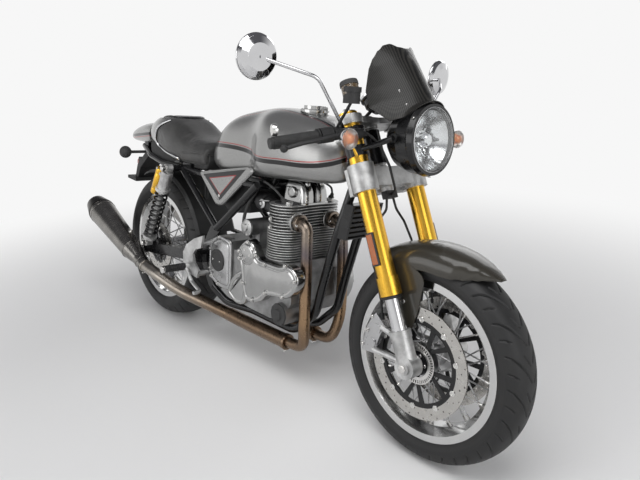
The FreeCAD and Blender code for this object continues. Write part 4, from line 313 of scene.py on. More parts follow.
def piece(name, stock, body, finishes, smooth_deg=35, bevel_mm=0, node=None):
    """Object from the stock: moves with a body, takes finishes by name or as made, may stand for a CAD node."""
    mesh = bpy.data.meshes.new(name)
    mesh.from_pydata([tuple(point) for point in stock.points], [], stock.faces)
    for finish in finishes if isinstance(finishes, list) else [finishes]:
        mesh.materials.append(bpy.data.materials[finish] if isinstance(finish, str) else finish)
    if len(mesh.materials) > 1:
        mesh.polygons.foreach_set("material_index", stock.tones)
    work = bmesh.new()
    work.from_mesh(mesh)
    bmesh.ops.remove_doubles(work, verts=work.verts, dist=0.001)
    bmesh.ops.recalc_face_normals(work, faces=work.faces)
    work.to_mesh(mesh)
    work.free()
    mesh.transform(STAND)
    mesh.shade_smooth()
    mesh.set_sharp_from_angle(angle=radians(smooth_deg))
    thing = new_thing(name, mesh)
    if bevel_mm:
        bevel = thing.modifiers.new("Rounded edges", "BEVEL")
        bevel.width = bevel_mm * MM
        bevel.segments = 3
        bevel.limit_method = "ANGLE"
        bevel.harden_normals = True
    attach(thing, body)
    if node:
        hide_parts(node)


def bright_piece(name, stock, body):
    """Screws, nuts and other small plated pieces."""
    piece(name, stock, body, "bright_fasteners")


# Finishes

class Finish:
    """One material under a Principled shader; its texture space is upright millimetres."""

    def __init__(self, name, **settings):
        self.material = bpy.data.materials.new(name)
        self.material.use_nodes = True
        self.tree = self.material.node_tree
        self.shader = self.tree.nodes["Principled BSDF"]
        self.place = None
        self.feed(self.shader, settings)

    def feed(self, node, settings):
        for name, value in settings.items():
            socket = node.inputs[int(name[1:])] if name[0] == "_" else node.inputs[name.replace("_", " ")]
            if isinstance(value, NodeSocket):
                self.tree.links.new(value, socket)
            else:
                socket.default_value = value

    def node(self, kind, output=0, options=None, **settings):
        made = self.tree.nodes.new("ShaderNode" + kind)
        for name, value in (options or {}).items():
            setattr(made, name, value)
        self.feed(made, settings)
        return made.outputs[output]

    def where(self):
        """Upright millimetres of the point that is shaded."""
        if self.place is None:
            spot = self.node("TexCoord", 3)
            turn = Matrix.Rotation(LEAN, 3, "X")
            shift = Vector((0, 0, REAR_TYRE_R)) - turn @ REAR_AXLE_PLACE / MM
            self.place = self.node("Mapping", Vector=spot, Location=shift, Rotation=(LEAN, 0, 0),
                                   Scale=(1 / MM, 1 / MM, 1 / MM))
        return self.place

    def axes(self):
        made = self.tree.nodes.new("ShaderNodeSeparateXYZ")
        self.feed(made, {"Vector": self.where()})
        return made.outputs

    def math(self, operation, first, second=0, third=0):
        return self.node("Math", options={"operation": operation}, _0=first, _1=second, _2=third)

    def times(self, first, second):
        return self.math("MULTIPLY", first, second)

    def plus(self, first, second):
        return self.math("ADD", first, second)

    def minus(self, first, second):
        return self.math("SUBTRACT", first, second)

    def near(self, value, middle, reach):
        """One where a value is within reach of the middle, zero elsewhere."""
        return self.math("COMPARE", value, middle, reach)

    def noise(self, per_mm, detail=2, roughness=0.5, place=None):
        return self.node("TexNoise", Vector=place or self.where(), Scale=per_mm, Detail=detail, Roughness=roughness)

    def between(self, value, low, high, to_low=0, to_high=1):
        """Smooth step of a value."""
        return self.node("MapRange", options={"interpolation_type": "SMOOTHSTEP"}, Value=value,
                         **{"From_Min": low, "From_Max": high, "To_Min": to_low, "To_Max": to_high})

    def blend(self, share, first, second):
        """Colour between two, by a share."""
        return self.node("Mix", 2, {"data_type": "RGBA"}, _0=share, _6=first, _7=second)

    def bump(self, height, distance_mm, strength=1, normal=None):
        base = {} if normal is None else {"Normal": normal}
        return self.node("Bump", Height=height, Distance=distance_mm * MM, Strength=strength, **base)

    def round_edges(self, radius_mm):
        return self.node("Bevel", options={"samples": 4}, Radius=radius_mm * MM)

    def done(self, colour=None, rough=None, normal=None):
        """The material, once its colour, roughness and surface direction are fed in."""
        fed = {"Base_Color": colour, "Roughness": rough, "Normal": normal}
        self.feed(self.shader, {name: value for name, value in fed.items() if value is not None})
        return self.material


def tint(red, green, blue, share=1):
    """Colour for a socket, darkened or lightened by a share."""
    return (red * share, green * share, blue * share, 1)


def plain_finish(name, colour, per_mm, smooth, dull, **settings):
    """One colour whose roughness drifts between two values."""
    look = Finish(name, Base_Color=tint(*colour), **settings)
    return look.done(None, look.between(look.noise(per_mm), 0.3, 0.7, smooth, dull))


def worn_metal(name, colour, roughness, grain_per_mm=0.03, patches=0.25, edge_mm=0.7, wave_mm=0):
    """Bare or plated metal: soft rounded edges, faint patches of duller surface, optional hand-polished waves."""
    look = Finish(name, Metallic=1)
    patch = look.noise(grain_per_mm, 4, 0.6)
    normal = look.round_edges(edge_mm)
    if wave_mm:
        normal = look.bump(look.noise(0.022, 1), wave_mm, 1, normal)
    return look.done(look.blend(patch, tint(*colour, 1 - patches), tint(*colour, 1 + 0.25 * patches)),
                     look.between(patch, 0.3, 0.75, roughness * 0.8, min(1, roughness * 1.3)), normal)


def brushed_steel():
    """Sheet steel brushed round the mufflers, with long darker streaks of soot and polish."""
    colour = (0.27, 0.26, 0.245)
    look = Finish("muffler_steel", Metallic=1, Anisotropic=0.5)
    way = MUFFLER_END - MUFFLER_START
    lean = atan2(way.z, -way.x)
    lines = look.node("Mapping", Vector=look.where(), Rotation=(0, lean, 0), Scale=(1, 0.03, 0.03))
    rings = look.noise(1.4, 3, 0.5, lines)
    streak = look.noise(0.02, 4)
    worn = look.blend(look.between(streak, 0.3, 0.7), tint(*colour, 0.72), tint(*colour))
    return look.done(look.blend(look.between(rings, 0.35, 0.7, 0, 0.3), worn, tint(*colour, 1.35)),
                     look.between(rings, 0.3, 0.7, 0.2, 0.3), look.round_edges(1))


def silver_paint(name, stripes=None):
    """Metallic lacquer with fine flake; stripes(look) gives pairs of mask and colour."""
    paint = bpy.context.scene.motorcycle_paint
    look = Finish(name, Metallic=0.78, Coat_Weight=0.6, Coat_Roughness=0.04, Specular_IOR_Level=0.35)
    flake = look.noise(1.6, 1)
    drift = look.noise(0.006, 2)
    base = look.blend(look.between(drift, 0.3, 0.7), tint(*paint.silver, 0.93), tint(*paint.silver))
    colour = look.blend(look.between(flake, 0.35, 0.75, 0, 0.35), base, tint(0.46, 0.46, 0.45))
    for mask, stripe in (stripes(look) if stripes else ()):
        colour = look.blend(mask, colour, stripe)
    return look.done(colour, look.between(flake, 0.3, 0.8, 0.24, 0.36), look.round_edges(1.2))


def gloss_black(name, roughness=0.16):
    look = Finish(name, Coat_Weight=0.25, Coat_Roughness=0.08, Specular_IOR_Level=0.3)
    dust = look.noise(0.02, 5, 0.65)
    black, grey = tint(0.006, 0.006, 0.0065), tint(0.06, 0.058, 0.055)
    return look.done(look.blend(look.between(dust, 0.55, 0.85, 0, 0.15), black, grey),
                     look.between(dust, 0.35, 0.8, roughness, roughness + 0.22), look.round_edges(0.8))


def matt_black(name, colour=(0.01, 0.01, 0.0105), grain_mm=0.05):
    look = Finish(name)
    scuff = look.noise(0.035, 5, 0.6)
    return look.done(look.blend(look.between(scuff, 0.45, 0.85, 0, 0.3), tint(*colour), tint(0.045, 0.044, 0.042)),
                     look.between(scuff, 0.3, 0.8, 0.47, 0.69),
                     look.bump(look.noise(0.9, 3), grain_mm, 0.7, look.round_edges(0.6)))


def cast_metal(name, colour, roughness, grain_mm=0.09):
    """Sand-cast alloy: fine pebbled skin, darker in its stains."""
    look = Finish(name, Metallic=0.9)
    stain = look.noise(0.018, 6, 0.62)
    pebble = look.noise(1.3, 3, 0.55)
    return look.done(look.blend(look.between(stain, 0.32, 0.68), tint(*colour, 0.55), tint(*colour)),
                     look.between(stain, 0.3, 0.75, roughness - 0.06, roughness + 0.16),
                     look.bump(pebble, grain_mm, 0.8, look.round_edges(1)))


def gold_anodised():
    paint = bpy.context.scene.motorcycle_paint
    look = Finish("gold_anodised", Metallic=1, Anisotropic=0.45)
    lines = look.node("Mapping", Vector=look.where(), Rotation=(0, RAKE, 0), Scale=(1, 1, 0.05))
    brushed = look.noise(2.5, 2, 0.5, lines)
    drift = look.noise(0.01, 3)
    base = look.blend(drift, tint(*paint.gold, 0.86), tint(*paint.gold))
    return look.done(look.blend(look.between(brushed, 0.4, 0.7, 0, 0.25), base, tint(1, 0.72, 0.2)),
                     look.between(brushed, 0.3, 0.7, 0.2, 0.3), look.round_edges(0.6))


def heat_tinted():
    """Stainless pipe: blue and purple near the port, straw and bronze further down, bare steel at the end."""
    look = Finish("heat_tinted_pipe", Metallic=1)
    x, _, z = look.axes()
    mottled = look.plus(z, look.times(look.noise(0.012, 4), 90))
    ramp = look.tree.nodes.new("ShaderNodeValToRGB")
    stops = ((0, (0.2, 0.14, 0.095)), (0.22, (0.33, 0.215, 0.125)), (0.52, (0.31, 0.205, 0.125)),
             (0.74, (0.19, 0.135, 0.1)), (0.86, (0.13, 0.11, 0.115)), (1, (0.24, 0.2, 0.165)))
    ramp.color_ramp.elements[0].color = tint(*stops[0][1])
    ramp.color_ramp.elements[1].color = tint(*stops[-1][1])
    for place, colour in stops[1:-1]:
        ramp.color_ramp.elements.new(place).color = tint(*colour)
    look.feed(ramp, {"Fac": look.between(mottled, 190, 640)})
    rearward = look.between(x, 120, 560)
    streak = look.noise(0.05, 6, 0.7)
    return look.done(look.blend(rearward, tint(0.36, 0.335, 0.3), ramp.outputs[0]),
                     look.between(streak, 0.3, 0.8, 0.24, 0.46),
                     look.bump(look.noise(0.35, 4, 0.6), 0.25, 0.6, look.round_edges(0.8)))


def tyre_rubber():
    """Tyre rubber with a dusty bloom in patches."""
    look = Finish("tyre_rubber")
    bloom = look.noise(0.015, 6, 0.6)
    black, grey = tint(0.0075, 0.0075, 0.008), tint(0.018, 0.0175, 0.017)
    return look.done(look.blend(look.between(bloom, 0.35, 0.8), black, grey),
                     look.between(bloom, 0.3, 0.8, 0.52, 0.74), look.bump(look.noise(0.7, 4, 0.6), 0.12, 0.5))


def ribbed_rubber():
    """Grip rubber: rows of small pads between fine ribs."""
    look = Finish("grip_rubber", Base_Color=tint(0.018, 0.018, 0.018))
    _, y, z = look.axes()
    rows = look.math("SINE", look.times(y, 1.25))
    turns = look.math("SINE", look.times(z, 0.9))
    pads = look.math("MAXIMUM", rows, turns)
    dust = look.noise(0.05, 4)
    return look.done(None, look.between(dust, 0.3, 0.7, 0.55, 0.75), look.bump(pads, 0.5, 0.8))


def seat_hide():
    """Black seat hide: cell grain, soft sheen where it is sat on."""
    look = Finish("seat_hide", Sheen_Weight=0.25, Sheen_Roughness=0.45, Specular_IOR_Level=0.45)
    cells = look.node("TexVoronoi", options={"feature": "DISTANCE_TO_EDGE"}, Vector=look.where(), Scale=0.65)
    fold = look.noise(0.02, 5, 0.6)
    creases = look.bump(look.noise(0.05, 3), 1.2, 0.25)
    black = (0.02, 0.0196, 0.019)
    return look.done(look.blend(look.between(fold, 0.4, 0.75), tint(*black), tint(*black, 2.2)),
                     look.between(fold, 0.3, 0.8, 0.4, 0.56),
                     look.bump(look.between(cells, 0, 0.25), 0.22, 0.55, creases))


def carbon_weave(name, pitch_mm, warm, cool, coat):
    """Two-by-two twill under clear lacquer; the strands on top carry a painted sheen and the others painted shade."""
    look = Finish(name, Coat_Weight=coat, Coat_Roughness=0.12, Specular_IOR_Level=0.25)
    x, y, z = look.axes()
    along = look.plus(x, look.times(z, 0.75))
    across = look.minus(y, look.times(z, 0.55))
    u = look.math("DIVIDE", look.plus(along, across), pitch_mm)
    v = look.math("DIVIDE", look.minus(along, across), pitch_mm)
    step = look.plus(look.math("FLOOR", u), look.math("FLOOR", v))
    over = look.math("LESS_THAN", look.math("FLOORED_MODULO", step, 4), 2)
    crown_u = look.math("PINGPONG", u, 0.5)
    crown_v = look.math("PINGPONG", v, 0.5)
    crown = look.blend(over, crown_u, crown_v)
    drift = look.noise(0.02, 2)
    # painted sheen and shade: the strands on top take the lighter warm colour, the strands under them the near-black
    # cool one
    lit = look.blend(drift, tint(*warm), tint(*warm, 1.5))
    return look.done(look.blend(over, tint(*cool), lit), look.math("MULTIPLY_ADD", over, -0.12, 0.5),
                     look.bump(crown, 0.12, 0.35))


def clear_glass(name, colour=(0.97, 0.98, 0.98), roughness=0.02):
    look = Finish(name, Base_Color=tint(*colour), Transmission_Weight=1, IOR=1.45)
    smear = look.noise(0.03, 4)
    return look.done(None, look.between(smear, 0.4, 0.8, roughness, roughness + 0.05))


def stained_lens(name, colour, roughness=0.12):
    """Moulded lamp lens with a fine waffle inside."""
    look = Finish(name, Transmission_Weight=0.55, IOR=1.49, Coat_Weight=0.8, Coat_Roughness=0.05)
    x, _, z = look.axes()
    waffle = look.times(look.math("SINE", look.times(x, 1.4)), look.math("SINE", look.times(z, 1.4)))
    return look.done(look.blend(look.noise(0.04, 3), tint(*colour, 0.8), tint(*colour)),
                     look.between(waffle, -1, 1, roughness, roughness + 0.08), look.bump(waffle, 0.5, 0.5))


def stripe_colours():
    paint = bpy.context.scene.motorcycle_paint
    return tint(*paint.band), tint(*paint.pinstripe)


def tank_stripes(look):
    """Black band with a red line along each side, and a pair of lines that follow the top of the tank."""
    x, y, z = look.axes()
    side = look.math("ABSOLUTE", y)
    curve = look.tree.nodes.new("ShaderNodeFloatCurve")
    line = curve.mapping.curves[0]
    ends = (400, 1150, 700, 900)
    places = ((400, 799), (690, 797), (728, 786), (890, 787), (985, 790), (1040, 798), (1080, 812), (1108, 836),
              (1150, 880))
    shares = [((px - ends[0]) / (ends[1] - ends[0]), (pz - ends[2]) / (ends[3] - ends[2])) for px, pz in places]
    line.points[0].location = shares[0]
    line.points[1].location = shares[-1]
    for share in shares[1:-1]:
        line.points.new(*share)
    curve.mapping.update()
    look.feed(curve, {"Value": look.node("MapRange", Value=x, From_Min=ends[0], From_Max=ends[1])})
    level = look.math("MULTIPLY_ADD", curve.outputs[0], ends[3] - ends[2], ends[2])
    above = look.minus(z, level)
    flank = look.between(side, 66, 68)
    band = look.times(look.math("LESS_THAN", look.math("ABSOLUTE", above), 7), flank)
    red_low = look.times(look.near(above, 11.5, 1.4), flank)
    spine = look.between(z, 812, 814)
    top_band = look.times(look.near(side, 60, 4), spine)
    top_red = look.times(look.near(side, 67, 1.3), spine)
    black, red = stripe_colours()
    return [(band, black), (red_low, red), (top_band, black), (top_red, red)]


def cowl_stripes(look):
    """Two black bands with red lines over the tail, running fore and aft."""
    x, _, z = look.axes()
    level = look.math("MULTIPLY_ADD", look.minus(x, -100), 0.12, 735)
    above = look.minus(z, level)
    low = look.near(above, 0, 6)
    red_low = look.near(above, 10, 1.4)
    high = look.near(above, 62, 6)
    red_high = look.near(above, 52, 1.4)
    black, red = stripe_colours()
    return [(low, black), (red_low, red), (high, black), (red_high, red)]


def panel_stripes(look):
    """Side cover: black border with a red inner line and a lighter bevelled margin."""
    x, _, z = look.axes()
    edges = (((386, 689), (677, 744)), ((677, 744), (509, 600)), ((509, 600), (386, 689)))
    inside = None
    for (x0, z0), (x1, z1) in edges:
        length = hypot(x1 - x0, z1 - z0)
        across = ((z1 - z0) / length, -(x1 - x0) / length)
        offset = across[0] * x0 + across[1] * z0
        depth = look.minus(look.math("MULTIPLY_ADD", x, across[0], look.times(z, across[1])), offset)
        inside = depth if inside is None else look.math("MINIMUM", inside, depth)
    border = look.near(inside, 11.5, 8)
    line = look.near(inside, 20.9, 1.5)
    black, red = stripe_colours()
    return [(border, black), (line, red)]


def stage_white(level, horizon):
    """Plain pale floor that turns into the tone of the background away from the machine."""
    look = Finish("floor", Roughness=0.9, Specular_IOR_Level=0, Emission_Strength=1)
    x, y, _ = look.axes()
    ahead = look.minus(x, WHEELBASE / 2)
    away = look.math("SQRT", look.math("MULTIPLY_ADD", ahead, ahead, look.times(y, y)))
    share = look.between(away, 900, 3000)
    drift = look.noise(0.002, 3)
    near = look.blend(drift, tint(level, level, level, 0.985), tint(level, level, level))
    black = tint(0, 0, 0)
    look.feed(look.shader, {"Emission_Color": look.blend(share, black, tint(horizon, horizon, horizon))})
    return look.done(look.blend(share, near, black))


# Sizes and colours a user may change

class MotorcycleStage(PropertyGroup):
    floor_tone: FloatProperty(name="Floor tone", description="How pale the floor is", default=0.82, min=0, max=1)
    sky_tone: FloatProperty(name="Sky tone", description="How pale the background is", default=0.93, min=0, max=1)
    sky_strength: FloatProperty(name="Sky strength", description="Light from all round the machine", default=1, min=0)
    key_power: FloatProperty(name="Key power", description="Power of the large lamp overhead", default=60,
                             subtype="POWER")
    fill_power: FloatProperty(name="Fill power", description="Power of each side lamp", default=20, subtype="POWER")
    lens: FloatProperty(name="Lens", description="Focal length of the camera in millimetres", default=32.744)


class MotorcyclePaint(PropertyGroup):
    silver: FloatVectorProperty(name="Silver", description="Tank, tail and side covers", subtype="COLOR",
                                default=(0.27, 0.27, 0.265))
    band: FloatVectorProperty(name="Band", description="Wide stripes", subtype="COLOR", default=(0.008, 0.008, 0.009))
    pinstripe: FloatVectorProperty(name="Pinstripe", description="Thin stripes", subtype="COLOR",
                                   default=(0.3, 0.022, 0.022))
    gold: FloatVectorProperty(name="Gold", description="Anodised fork tubes", subtype="COLOR",
                              default=(0.83, 0.47, 0.05))


class MotorcycleTyres(PropertyGroup):
    groove_depth: FloatProperty(name="Groove depth", description="Depth of the tread grooves in millimetres",
                                default=3.2)
    groove_width: FloatProperty(name="Groove width", description="Width of the tread grooves in millimetres",
                                default=4.2)
    front_repeats: IntProperty(name="Front repeats", description="Tread patterns round the front tyre",
                               default=20, min=6)
    rear_repeats: IntProperty(name="Rear repeats", description="Tread patterns round the rear tyre", default=18, min=6)


class MotorcycleSeat(PropertyGroup):
    piping_radius: FloatProperty(name="Piping radius", description="Radius of the sewn bead in millimetres",
                                 default=2.6)


class MotorcycleSprings(PropertyGroup):
    wire_radius: FloatProperty(name="Wire radius", description="Radius of the spring wire in millimetres", default=4.4)
    turns: FloatProperty(name="Turns", description="Turns of each spring", default=9, min=2)


SETTINGS = (
    ("motorcycle_stage", MotorcycleStage), ("motorcycle_paint", MotorcyclePaint), ("motorcycle_tyres", MotorcycleTyres),
    ("motorcycle_seat", MotorcycleSeat), ("motorcycle_springs", MotorcycleSprings),
)


# Stage

CAMERA_FROM_AXLE = Vector((2.29249, -1.19275, 0.84353))
CAMERA_YAW = radians(138.09)
CAMERA_PITCH = radians(-18.93)
CAMERA_ROLL = radians(-2.5)


def build_stage():
    sizes = bpy.context.scene.motorcycle_stage
    ahead = Vector((cos(CAMERA_YAW) * cos(CAMERA_PITCH), sin(CAMERA_YAW) * cos(CAMERA_PITCH), sin(CAMERA_PITCH)))
    right = ahead.cross(UP).normalized()
    up = right.cross(ahead)
    right, up = (right * cos(CAMERA_ROLL) + up * sin(CAMERA_ROLL), up * cos(CAMERA_ROLL) - right * sin(CAMERA_ROLL))
    camera = new_thing("camera", bpy.data.cameras.new("camera"))
    camera.matrix_world = (Matrix.Translation(REAR_AXLE_PLACE + CAMERA_FROM_AXLE)
                           @ Matrix((right, up, -ahead)).transposed().to_4x4())
    camera.data.sensor_width = 36
    camera.data.sensor_fit = "HORIZONTAL"
    camera.data.lens = sizes.lens
    camera.data.clip_end = 200
    bpy.context.scene.camera = camera

    floor = bpy.data.meshes.new("floor")
    reach = 40
    floor.from_pydata([(-reach, -reach, 0), (reach, -reach, 0), (reach, reach, 0), (-reach, reach, 0)], [],
                      [(0, 1, 2, 3)])
    floor.materials.append(stage_white(sizes.floor_tone, sizes.sky_tone))
    new_thing("floor", floor)

    studio_lamp("key", (0.9, -1.2, 3.1), (0.1, 0, 0.4), 2.6, 1.8, sizes.key_power)
    studio_lamp("front_fill", (3.4, -0.6, 1.7), (0.3, 0, 0.5), 1.6, 2, sizes.fill_power)
    studio_lamp("right_fill", (-0.8, -3.2, 1.5), (0, 0, 0.5), 2.4, 1.4, sizes.fill_power)
    studio_lamp("left_fill", (-0.6, 3, 2), (0, 0, 0.6), 2.4, 1.6, sizes.fill_power)
    studio_sky(bpy.context.scene, sizes.sky_strength, sizes.sky_tone)
    bpy.context.scene.view_settings.view_transform = "Standard"


def studio_lamp(name, place, aim, width, height, power):
    data = bpy.data.lights.new(name, "AREA")
    data.shape = "RECTANGLE"
    data.size = width
    data.size_y = height
    data.energy = power
    lamp = new_thing(name, data)
    lamp.location = place
    lamp.rotation_euler = (Vector(aim) - Vector(place)).to_track_quat("-Z", "Y").to_euler()


def studio_sky(scene, strength, tone):
    """Pale all round the horizon and greyer overhead, so that polished metal has something to show."""
    world = bpy.data.worlds.new("studio")
    scene.world = world
    world.use_nodes = True
    nodes, links = world.node_tree.nodes, world.node_tree.links
    nodes.clear()
    coords = nodes.new("ShaderNodeTexCoord")
    split = nodes.new("ShaderNodeSeparateXYZ")
    links.new(coords.outputs["Generated"], split.inputs[0])
    ramp = nodes.new("ShaderNodeValToRGB")
    ends = ramp.color_ramp.elements
    ends[0].position, ends[0].color = 0.22, tint(tone, tone, tone)
    ends[1].position, ends[1].color = 0.5, tint(0.13, 0.13, 0.14)
    links.new(split.outputs[2], ramp.inputs[0])
    soft = nodes.new("ShaderNodeBackground")
    soft.inputs["Strength"].default_value = strength
    links.new(ramp.outputs[0], soft.inputs["Color"])
    out = nodes.new("ShaderNodeOutputWorld")
    links.new(soft.outputs[0], out.inputs["Surface"])


class MOTORCYCLE_OT_stage(Operator):
    """Pale floor, soft lamps and the camera."""
    bl_idname = "motorcycle.stage"
    bl_label = "Stage"

    def execute(self, context):
        build_stage()
        return {"FINISHED"}


# Finishes of the CAD nodes

def build_metalwork():
    polished = worn_metal("polished_alloy", (0.46, 0.46, 0.455), 0.16, patches=0.2, wave_mm=0.9)
    chrome = worn_metal("chrome_plate", (0.64, 0.64, 0.65), 0.06, patches=0.12)
    rim = worn_metal("rim_alloy", (0.66, 0.66, 0.655), 0.13, patches=0.15, wave_mm=0.25)
    satin = worn_metal("satin_alloy", (0.52, 0.52, 0.525), 0.3, patches=0.2)
    cast = cast_metal("cast_alloy", (0.66, 0.66, 0.655), 0.38)
    case = cast_metal("engine_castings", (0.36, 0.36, 0.36), 0.4)
    black = gloss_black("black_enamel")
    plastic = matt_black("black_plastic")
    worn_metal("bright_fasteners", (0.74, 0.73, 0.71), 0.22, patches=0.25, edge_mm=0.4)
    matt_black("cap_rubber")
    finishes = {
        "front_rim": rim, "rear_rim": rim, "front_hub": satin, "rear_hub": satin,
        "rear_sprocket": worn_metal("plain_steel", (0.42, 0.41, 0.4), 0.34, patches=0.35),
        "fork_outers": gold_anodised(), "fork_inners": chrome, "fork_feet": cast, "front_calipers": satin,
        "lower_clamp": cast, "upper_clamp": cast, "clip_ons": black, "grips": ribbed_rubber(), "headlamp": black,
        "lamp_brackets": black, "mirrors": chrome, "frame": black, "swingarm": black, "shocks": cast,
        "crankcase": case, "gearbox": case, "primary_cover": polished, "mufflers": brushed_steel(),
        "fuel_tank": silver_paint("tank_paint", tank_stripes), "fuel_cap": polished,
        "seat_cowl": silver_paint("cowl_paint", cowl_stripes), "footrests": cast, "rear_caliper": satin,
        "side_stand": black, "gauges": black, "oil_cooler": black,
    }
    for node, thing in frame["nodes"].items():
        thing.data.materials.clear()
        thing.data.materials.append(finishes.get(node, plastic))


class MOTORCYCLE_OT_metalwork(Operator):
    """Gives each CAD node that stays its finish."""
    bl_idname = "motorcycle.metalwork"
    bl_label = "Metalwork"

    def execute(self, context):
        build_metalwork()
        return {"FINISHED"}


# Tyres

TYRE_BEAD_R = 216
FRONT_TYRE_HALF = 60
REAR_TYRE_HALF = 90
FRONT_RIM_HALF = 50
REAR_RIM_HALF = 76
RIM_FLANGE_R = 231
RIM_FLANGE = 5
RIM_BED_R = 192
BEAD_CLEARANCE = 0.4
WALL_SHARES = ((0.94, 0.27), (0.99, 0.36), (1, 0.44), (0.985, 0.553), (0.908, 0.69), (0.783, 0.815), (0.6, 0.911),
               (0.367, 0.971), (0.133, 0.996))
TREAD_SHARE = 0.68
GROOVE_SHARES = (
    ((0, 0.07), (0.16, 0.2), (0.34, 0.35), (0.54, 0.54), (0.72, 0.76), (0.82, 0.97)),
    ((0.46, 0.09), (0.6, 0.19), (0.73, 0.3)), ((0.16, 0.64), (0.25, 0.8), (0.3, 0.96)),
)
WALL_RIB_SHARES = (0.22, 0.5, 0.58)
WALL_RIB_HEIGHT = 0.7


def tyre_section(radius, half, rim_half, spacing):
    """Half section from the bead to the crown: points of side and radius at an even spacing."""
    rise = radius - TYRE_BEAD_R
    wall = [(half * out, TYRE_BEAD_R + rise * up) for out, up in WALL_SHARES]
    fine = smooth_path([(rim_half + BEAD_CLEARANCE, RIM_FLANGE_R + 1), *wall, (0, radius), (-wall[-1][0], wall[-1][1])],
                       40)
    fine = [point for point in fine if point.x >= -0.01]
    points, length = spaced(fine, spacing)
    return [(point, length * (1 - step / (len(points) - 1))) for step, point in enumerate(points)], length


def groove_share(along, across, lines, half_width):
    """One inside a groove, zero outside; distances in millimetres."""
    nearest = half_width * 4
    for x0, y0, x1, y1 in lines:
        if abs(across - (y0 + y1) / 2) > abs(y1 - y0) / 2 + nearest:
            continue
        dx, dy = x1 - x0, y1 - y0
        share = max(0, min(1, ((along - x0) * dx + (across - y0) * dy) / (dx * dx + dy * dy)))
        nearest = min(nearest, hypot(along - x0 - dx * share, across - y0 - dy * share))
    soft = 0.9
    return max(0, min(1, (half_width + soft - nearest) / (2 * soft)))


def tyre_stock(axle, radius, half, rim_half, repeats, steps, spacing):
    """Tyre with moulded tread: one pattern is worked out and repeated round the wheel."""
    sizes = bpy.context.scene.motorcycle_tyres
    section, reach = tyre_section(radius, half, rim_half, spacing)
    tread = reach * TREAD_SHARE
    pitch = tau * radius / repeats
    rise = radius - TYRE_BEAD_R
    block = []
    for step in range(steps):
        along = pitch * step / steps
        ring = []
        for facing in (1, -1):
            lines = []
            for groove in GROOVE_SHARES:
                for shift in (-1, 0, 1):
                    offset = shift + (0.5 if facing < 0 else 0)
                    marks = [((share + offset) * pitch, out * tread) for share, out in groove]
                    lines += [(*a, *b) for a, b in zip(marks, marks[1:])]
            side = []
            for index, (point, across) in enumerate(section):
                before = section[max(0, index - 1)][0]
                after = section[min(len(section) - 1, index + 1)][0]
                heading = (after - before).normalized()
                outward = Vector((heading.y, -heading.x))
                depth = sizes.groove_depth * groove_share(along, across, lines, sizes.groove_width / 2)
                depth *= min(1, max(0, (tread - across) / 6 + 0.4))
                for share in WALL_RIB_SHARES:
                    if across > tread and abs(point.y - TYRE_BEAD_R - rise * share) < spacing * 0.6:
                        depth = -WALL_RIB_HEIGHT
                side.append(point - outward * depth)
            ring.append(side)
        inner = rim_half - RIM_FLANGE - BEAD_CLEARANCE
        left, right = ring
        line = [(inner, TYRE_BEAD_R + 0.4), (inner, RIM_FLANGE_R + 0.6)] + [(p.x, p.y) for p in left]
        line += [(-p.x, p.y) for p in reversed(right[:-1])]
        block.append(line + [(-inner, RIM_FLANGE_R + 0.6), (-inner, TYRE_BEAD_R + 0.4)])
    stock = Stock()
    rings = []
    total = repeats * steps
    for step in range(total):
        angle = tau * step / total
        rings.append([axle + Vector((r * cos(angle), side, r * sin(angle))) for side, r in block[step % steps]])
    stock.rings(rings, joined=True)
    return stock


def build_tyres():
    sizes = bpy.context.scene.motorcycle_tyres
    finish = tyre_rubber()
    front = tyre_stock(FRONT_AXLE, FRONT_TYRE_R, FRONT_TYRE_HALF, FRONT_RIM_HALF, sizes.front_repeats, 44, 2.3)
    rear = tyre_stock(REAR_AXLE, REAR_TYRE_R, REAR_TYRE_HALF, REAR_RIM_HALF, sizes.rear_repeats, 48, 2.9)
    piece("front_tyre_tread", front, "front_wheel", finish, 50, node="front_tyre")
    piece("rear_tyre_tread", rear, "rear_wheel", finish, 50, node="rear_tyre")


class MOTORCYCLE_OT_tyres(Operator):
    """Tyres with curved tread grooves."""
    bl_idname = "motorcycle.tyres"
    bl_label = "Tyres"

    def execute(self, context):
        build_tyres()
        return {"FINISHED"}


# Wheels and brakes

FRONT_DISC_R = 160
REAR_DISC_R = 110
FRONT_DISC_SIDE = -68
REAR_DISC_SIDE = -92
DISC_THICKNESS = 5
DISC_BAND = 34
BAND_ROWS = 3
BAND_CELLS = 60
BAND_HOLE_R = 2.7
FRONT_HUB_HALF = 44
REAR_HUB_HALF = 62
SPOKES = 36
TONE_RING_SIDE = -73.6
VALVE_ANGLE = 100
VALVE_SIDE = 8

